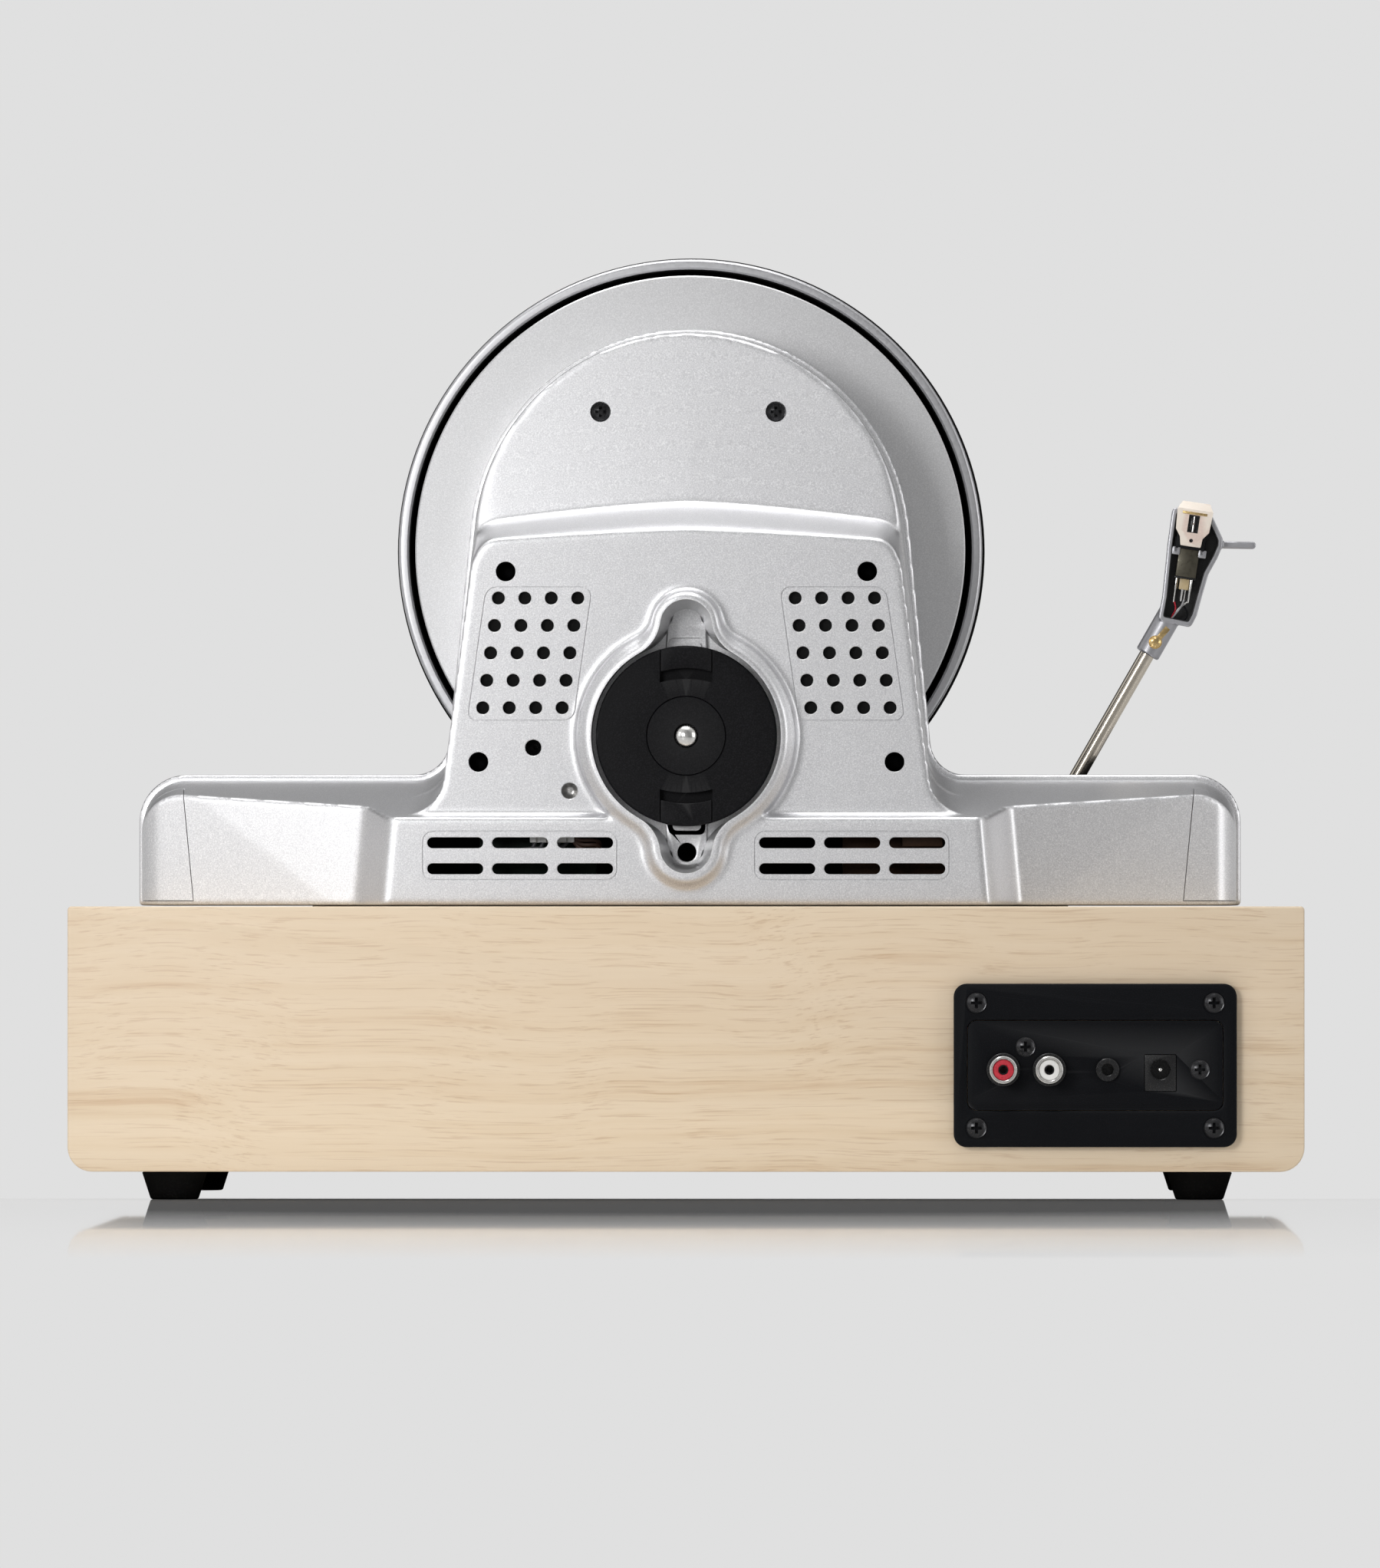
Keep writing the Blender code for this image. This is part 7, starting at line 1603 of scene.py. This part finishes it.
def cartridge():
    """The cartridge: a black mount with grey clips, a metal shield, a pin block and its leads."""
    mount = join(boxed("mount", CARTRIDGE), boxed("cheek_inner", CARTRIDGE), boxed("cheek_outer", CARTRIDGE))
    finish(mount, "tonearm", "black_plastic", "cartridge")
    for end in ("inner", "outer"):
        clip = cut(boxed(f"clip_{end}", CARTRIDGE), boxed(f"notch_{end}", CARTRIDGE))
        finish(clip, "tonearm", "arm_metal")
    for name, look in (
        ("shield", "olive_metal"), ("shield_edge", "black_plastic_smooth"), ("pin_block", "beige_plastic")
    ):
        finish(boxed(name, CARTRIDGE), "tonearm", look)
    pins = []
    for x, y, reach in PINS:
        end = PIN_FOOT - reach
        profile = [(0, PIN_TOP), (PIN_WIDE, PIN_TOP), (PIN_WIDE, PIN_NECK), (PIN_RADIUS, PIN_FOOT)]
        profile += [(PIN_RADIUS, end + SEAT_GAP), (PIN_TIP, end), (0, end)]
        pins.append(turned("pin", profile, shifted(CARTRIDGE, x, y, 0), 16))
    finish(gather("cartridge_pins", pins), "tonearm", "bright_steel")
    for name, colour, *route in LEADS:
        points = [SHELL @ (Vector(point) * TENTH) for point in (*route, LEAD_END)]
        finish(tube(name, points, WIRE_RADIUS), "tonearm", colour)


def collar_screw():
    """The brass screw on the collar and the solder tag under it."""
    place = shifted(ARM, *SCREW_OFFSET) @ Matrix.Rotation(-QUARTER, 4, "X")
    tag = turned("tag_ring", PROFILES["tag_ring"], place, 40)
    join(tag, boxed("tag_tongue", place @ Matrix.Rotation(TAG_LEAN, 4, "Z")))
    finish(tag, "tonearm", "brass")
    screw = turned("collar_screw", PROFILES["collar_screw"], place, 40)
    for turn in (0, QUARTER):
        cut(screw, boxed("screw_blade", place @ Matrix.Rotation(turn + SCREW_TURN, 4, "Z")))
    finish(screw, "tonearm", "brass")


STYLUS_HALF = 0.00565
STYLUS_LIP = 0.0349
STYLUS_TOP = 0.0374
STYLUS_OUTLINE = [
    (CARTRIDGE_ACROSS + x, z)
    for x, z in (
        (-0.0031, 0.0234), (0.0033, 0.0234), (0.0035, 0.0262), (0.00525, 0.0284), (STYLUS_HALF, STYLUS_LIP),
        (0.0043, STYLUS_TOP), (-0.0043, STYLUS_TOP), (-STYLUS_HALF, STYLUS_LIP), (-0.00525, 0.0284), (-0.0037, 0.0262),
    )
]
STYLUS_SLOPE = 0.0028
STYLUS_HOLE_Z = 0.0252
NEEDLE_OFFSET = (0, 0.0006, 0.0305)


def stylus():
    """The stylus unit: a pale body with a sloping bare top, a gold strip, a window and the needle."""
    face = STYLUS_Y
    out = face - CUT_OVERRUN
    body = plate("stylus_body", [filleted(STYLUS_OUTLINE, 0.0004, 3)], "Y", face, face + STYLUS_BACK, SHELL)
    slope = [(out, STYLUS_LIP + TENTH), (face, STYLUS_LIP + TENTH), (face + STYLUS_SLOPE, STYLUS_TOP + 2 * TENTH)]
    slope += [(face + STYLUS_SLOPE, STYLUS_TOP + CUT_OVERRUN), (out, STYLUS_TOP + CUT_OVERRUN)]
    reach = 2 * STYLUS_HALF
    cut(body, plate("slope", [slope], "X", CARTRIDGE_ACROSS - reach, CARTRIDGE_ACROSS + reach, SHELL))
    bevelled(body, 0.0003)
    hole_place = shifted(STYLUS, 0, 0, STYLUS_HOLE_Z) @ Matrix.Rotation(QUARTER, 4, "X")
    cut(body, boxed("window", STYLUS))
    cut(body, turned("hole", PROFILES["hole"], hole_place, 24))
    finish(turned("stylus_hole", PROFILES["stylus_hole"], hole_place, 24), "tonearm", "black_plastic_smooth")
    finish(body, "tonearm", "stylus_plastic", "stylus_unit")
    lining = join(boxed("window_lining", STYLUS), boxed("ridge", STYLUS))
    finish(lining, "tonearm", "black_plastic_smooth")
    finish(boxed("gold_strip", STYLUS), "tonearm", "brass")
    rod = turned("cantilever", PROFILES["cantilever"], shifted(STYLUS, 0, 0.0005, 0), 16)
    needle_place = shifted(STYLUS, *NEEDLE_OFFSET) @ Matrix.Rotation(QUARTER, 4, "X")
    join(rod, turned("needle", PROFILES["needle"], needle_place, 16))
    finish(rod, "tonearm", "bright_steel")


# What shows through the slots and holes

PLUG_X = 0.0346
PLUG_GAPS = 4
PLUG_PITCH = 0.0031
GAP_HALF = 0.0003
INNER_WIRE_RADIUS = 0.0006
# Each board's low and high x, its post's x and its finish
BOARDS = {
    "inner_board_right": (0.0280, 0.0640, 0.0411, "circuit_green"),
    "inner_board_left": (-0.0840, -0.0480, -0.0611, "brown_board"),
}
BOARD_HEIGHTS = (-0.007, 0.011)
POST_RADIUS_INSIDE = 0.0014
# Wires start at the white connector. Each point moves by the second triple from wire to wire.
GREY_ROUTE = (
    ((0.0018, -0.007, 0.0006), (0.0025, 0, 0)),
    ((0.0038, -0.0066, -0.0012), (0.0025, 0, -0.0003)),
    ((0.0138, -0.0064, -0.0018), (0.0025, 0, -0.0006)),
    ((0.0258, -0.0070, -0.0040), (0.0025, 0, -0.0004)),
)
BROWN_ROUTE = (
    ((0.001, -0.0066, 0.0014), (0, 0, 0)),
    ((-0.0020, -0.0058, 0.0009), (0, 0, -0.0013)),
    ((-0.0075, -0.0062, 0.0003), (0, 0, -0.0013)),
    ((-0.0060, -0.0120, -0.0031), (0, 0, -0.0013)),
)


def inside():
    """Connector blocks, wires and small boards behind the slots, on posts from the shell's back wall."""
    low_z, high_z = (SLOTS_Z - SLOT_TOP_Z + height for height in BOARD_HEIGHTS)
    for name, (low_x, high_x, post_x, look) in BOARDS.items():
        board = block(name, (low_x, BOARD_Y, low_z), (high_x, BOARD_FACE_Y, high_z), 0.0002, INSIDE)
        post_place = along_y(post_x, SLOTS_Z, DECK_BACK_Y - WALL)
        join(board, bar("post", POST_RADIUS_INSIDE, BOARD_Y + BOARD_THICK / 2, 0.0002, post_place))
        finish(board, "housing", look)
    gaps = []
    for i in range(PLUG_GAPS):
        x = PLUG_X + 0.0022 + i * PLUG_PITCH
        gaps.append(block("gap", (x - GAP_HALF, -0.0062, -0.001), (x + GAP_HALF, -0.004, 0.0065), place=INSIDE))
    finish(cut(boxed("white_connector", INSIDE), gather("gaps", gaps)), "housing", "white_plastic")
    start = shifted(INSIDE, PLUG_X, 0, 0)
    for colour, count, route in (("grey", 5, GREY_ROUTE), ("brown", 3, BROWN_ROUTE)):
        for i in range(count):
            points = [start @ (Vector(point) + i * Vector(step)) for point, step in route]
            finish(tube(f"{colour}_wire_{i + 1}", points, INNER_WIRE_RADIUS), "housing", f"wire_{colour}")
    finish(boxed("brown_block", INSIDE), "housing", "brown_board")


SHADE_SHEET_MARGINS = (0.0035, 0.0075)


def behind_lower_face():
    """Black sheets behind the vents, which paint the shade inside the holes; black cups in the deep wells, a screw head
    at each floor with a sleeve whose black paints the well's shade; and a pin in the access hole.
    """
    face = LOWER_Y - WALL
    near, far = VENT_FIRST_X - SHADE_SHEET_MARGINS[0], VENT_FIRST_X + VENT_REACH + SHADE_SHEET_MARGINS[1]
    # Black rubber sheets close the vents from behind: painted shade for the dark inside of the holes
    for name, low_x, high_x in (("vent_shade_sheet_right", -far, -near), ("vent_shade_sheet_left", near, far)):
        low = (low_x, face - 0.0010, VENT_TOP_Z - VENT_DROP - 0.0035)
        shade_sheet = block(name, low, (high_x, face + TENTH, VENT_TOP_Z + 0.0028), 0.0002)
        finish(shade_sheet, "housing", "black_rubber")
    # Each deep well holds a black screw head at its floor and a black sleeve up to the face: the screw is real, the
    # sleeve's black is painted shade
    for number, (x, z) in enumerate(SCREW_PLACES[2:], 1):
        well = turned(f"screw_well_{number}", PROFILES["screw_well"], along_y(x, z, face), 48)
        finish(well, "housing", "black_plastic")
    place = along_y(*ACCESS_PLACE, face)
    finish(turned("access_boss", PROFILES["access_boss"], place, 40, ring=True), "housing", "silver_paint")
    finish(turned("access_pin", PROFILES["access_pin"], place, 40), "housing", "bright_steel")


def repaint_nodes():
    """Better materials for the nodes whose shape is right as it is."""
    for look, *nodes in (
        ("pale_wood_x", "cabinet_top_panel", "cabinet_bottom_board", "front_baffle"),
        ("grille_cloth", "front_grille"),
        ("black_plastic", "record_well", "speaker_right", "speaker_left", "arm_rest"),
        ("black_plastic", "swing_yoke", "cue_lever", "speed_selector"),
        ("black_rubber", "drive_belt"),
        ("brass", "bearing_bush", "motor_pulley"),
        ("aluminium", "tonearm_base"),
        ("dark_steel", "motor"),
        ("bright_steel", "spindle", "lift_bar"),
        ("circuit_green", "amplifier_board"),
    ):
        for name in nodes:
            mesh = frame["nodes"][name].data
            mesh.materials.clear()
            mesh.materials.append(FINISHES[look][0])


# The stage

# The photograph's background, an even pale grey
BACKGROUND = (0.745, 0.745, 0.745, 1.0)


def coloured(nodes, kind, colour, output):
    """A shader node of one colour, and the socket that it gives."""
    node = nodes.new(kind)
    node.inputs["Color"].default_value = colour
    return node, node.outputs[output]


def floor():
    """A pale, slightly glossy floor that fades into the background at its edge."""
    work = bmesh.new()
    bmesh.ops.create_circle(work, cap_ends=True, radius=1.6, segments=96)
    obj = from_work("floor", work)
    material, tree, shader, place = new_material("floor_grey")
    nodes = tree.nodes
    _, diffuse = coloured(nodes, "ShaderNodeBsdfDiffuse", (0.80, 0.80, 0.80, 1.0), "BSDF")
    gloss, mirrored_light = coloured(nodes, "ShaderNodeBsdfGlossy", (0.95, 0.95, 0.95, 1.0), "BSDF")
    gloss.inputs["Roughness"].default_value = 0.022
    _, pale = coloured(nodes, "ShaderNodeEmission", BACKGROUND, "Emission")
    from_camera = nodes.new("ShaderNodeLightPath").outputs["Is Camera Ray"]
    matt = blend(tree, spread(tree, from_camera, 0.0, 0.5), diffuse, pale)
    edge_on = nodes.new("ShaderNodeLayerWeight")
    edge_on.inputs["Blend"].default_value = 0.5
    facing = edge_on.outputs["Facing"]
    surface = blend(tree, spread(tree, facing, 0.04, 0.88, 0.80, 0.98), matt, mirrored_light)
    grazing = spread(tree, facing, 0.0, 1.0, 0.92, 0.965)
    distance = nodes.new("ShaderNodeVectorMath")
    distance.operation = "LENGTH"
    tree.links.new(place, distance.inputs[0])
    fade = spread(tree, distance.outputs["Value"], 0.0, 1.0, 0.30, 0.95)
    split = nodes.new("ShaderNodeSeparateXYZ")
    tree.links.new(place, split.inputs["Vector"])
    behind = spread(tree, split.outputs["Y"], 1.0, 0.0, 0.055, 0.075)
    level_view = math_node(tree, "MULTIPLY", behind, grazing)
    gone = math_node(tree, "MAXIMUM", fade, math_node(tree, "MULTIPLY", level_view, from_camera))
    clear = nodes.new("ShaderNodeBsdfTransparent").outputs["BSDF"]
    tree.links.new(blend(tree, gone, surface, clear), nodes["Material Output"].inputs["Surface"])
    nodes.remove(shader)
    obj.data.materials.append(material)


def world():
    """An even pale background, dark low down behind the platter where the deck's slope mirrors it."""
    scene_world = bpy.data.worlds.new("studio")
    scene_world.use_nodes = True
    tree = scene_world.node_tree
    nodes = tree.nodes
    split = nodes.new("ShaderNodeSeparateXYZ")
    tree.links.new(nodes.new("ShaderNodeTexCoord").outputs["Generated"], split.inputs["Vector"])
    x, y, z = (split.outputs[axis] for axis in "XYZ")
    band = math_node(tree, "MULTIPLY", spread(tree, z, 1.0, 0.0, 0.62, 0.82), spread(tree, z, 0.0, 1.0, 0.06, 0.16))
    dark = math_node(tree, "MULTIPLY", spread(tree, y, 1.0, 0.0, -0.60, -0.25), band)
    near_side = spread(tree, y, 0.0, 0.70, 0.30, 0.75)
    dimmed = math_node(tree, "MULTIPLY", near_side, spread(tree, x, 1.0, 0.45, -0.55, 0.60))
    mirrored_level = spread(tree, math_node(tree, "MAXIMUM", dark, dimmed), 1.0, 0.06)
    shown, lit, mirror = (coloured(nodes, "ShaderNodeBackground", BACKGROUND, "Background") for _ in range(3))
    shown[0].inputs["Strength"].default_value = 1.0
    lit[0].inputs["Strength"].default_value = 0.18
    tree.links.new(mirrored_level, mirror[0].inputs["Strength"])
    path = nodes.new("ShaderNodeLightPath").outputs
    studio = blend(tree, path["Is Glossy Ray"], lit[1], mirror[1])
    direct = math_node(tree, "MAXIMUM", path["Is Camera Ray"], path["Is Transmission Ray"])
    tree.links.new(blend(tree, direct, studio, shown[1]), nodes["World Output"].inputs["Surface"])
    bpy.context.scene.world = scene_world


def aim(obj, place, target):
    """Puts a lamp or camera at a place and turns it to a point."""
    obj.location = place
    obj.rotation_euler = (Vector(target) - Vector(place)).to_track_quat("-Z", "Y").to_euler()


MIDDLE = (0, 0.05, 0.14)
# Each lamp's place and target, its width and height, and its power
LAMPS = (
    ("key", (0.48, 1.08, 0.36), MIDDLE, 0.35, 0.35, 4.8),
    ("side", (1.00, 0.70, 0.45), MIDDLE, 0.4, 0.6, 1.2),
    ("right", (-1.10, 0.55, 0.30), MIDDLE, 0.4, 0.6, 2.0),
    ("top", (0.10, 0.38, 1.25), MIDDLE, 0.9, 0.35, 6.5),
    ("crown", (0.06, -0.12, 1.25), (0, 0.07, 0.2), 0.9, 0.20, 3.5),
)


def lights():
    """A soft key from above on the sockets' side, and softer fills, all out of the camera's sight."""
    for name, place, target, width, height, power in LAMPS:
        lamp = bpy.data.lights.new(name, "AREA")
        lamp.shape = "RECTANGLE"
        lamp.size = width
        lamp.size_y = height
        lamp.energy = power
        obj = add_object(name, lamp)
        aim(obj, place, target)
        obj.visible_camera = False


def flag():
    """A low dark card behind the cabinet, seen only in the floor's reflection of the gap underneath."""
    card = block("flag", (-0.168, -0.135, 0.0), (0.168, -0.134, 0.016))
    material, _, shader, _ = new_material("flag_black")
    shader.inputs["Base Color"].default_value = (0.002, 0.002, 0.002, 1.0)
    shader.inputs["Specular IOR Level"].default_value = 0.0
    card.data.materials.append(material)
    card.visible_camera = False
    card.visible_diffuse = False
    card.visible_shadow = False
    card.visible_transmission = False


def camera():
    """The photograph's camera: a long lens five metres behind the player."""
    data = bpy.data.cameras.new("camera")
    data.lens = 373.8
    data.sensor_width = 36
    data.clip_end = 50
    obj = add_object("camera", data)
    aim(obj, (-0.085, 5.097, 0.088), (-0.00135, 0.097, 0.1279))
    bpy.context.scene.camera = obj


def main():
    """Builds every piece and the stage."""
    bpy.context.scene.view_settings.view_transform = "Standard"
    rear_housing()
    front_housing()
    platter()
    clamp()
    lobe_floors()
    cross_screw("housing_screw_1")
    cross_screw("housing_screw_2")
    cabinet()
    connector_panel()
    feet()
    knob()
    start_button()
    arm_tube()
    headshell()
    cartridge()
    collar_screw()
    stylus()
    inside()
    behind_lower_face()
    repaint_nodes()
    camera()
    world()
    lights()
    floor()
    flag()


main()
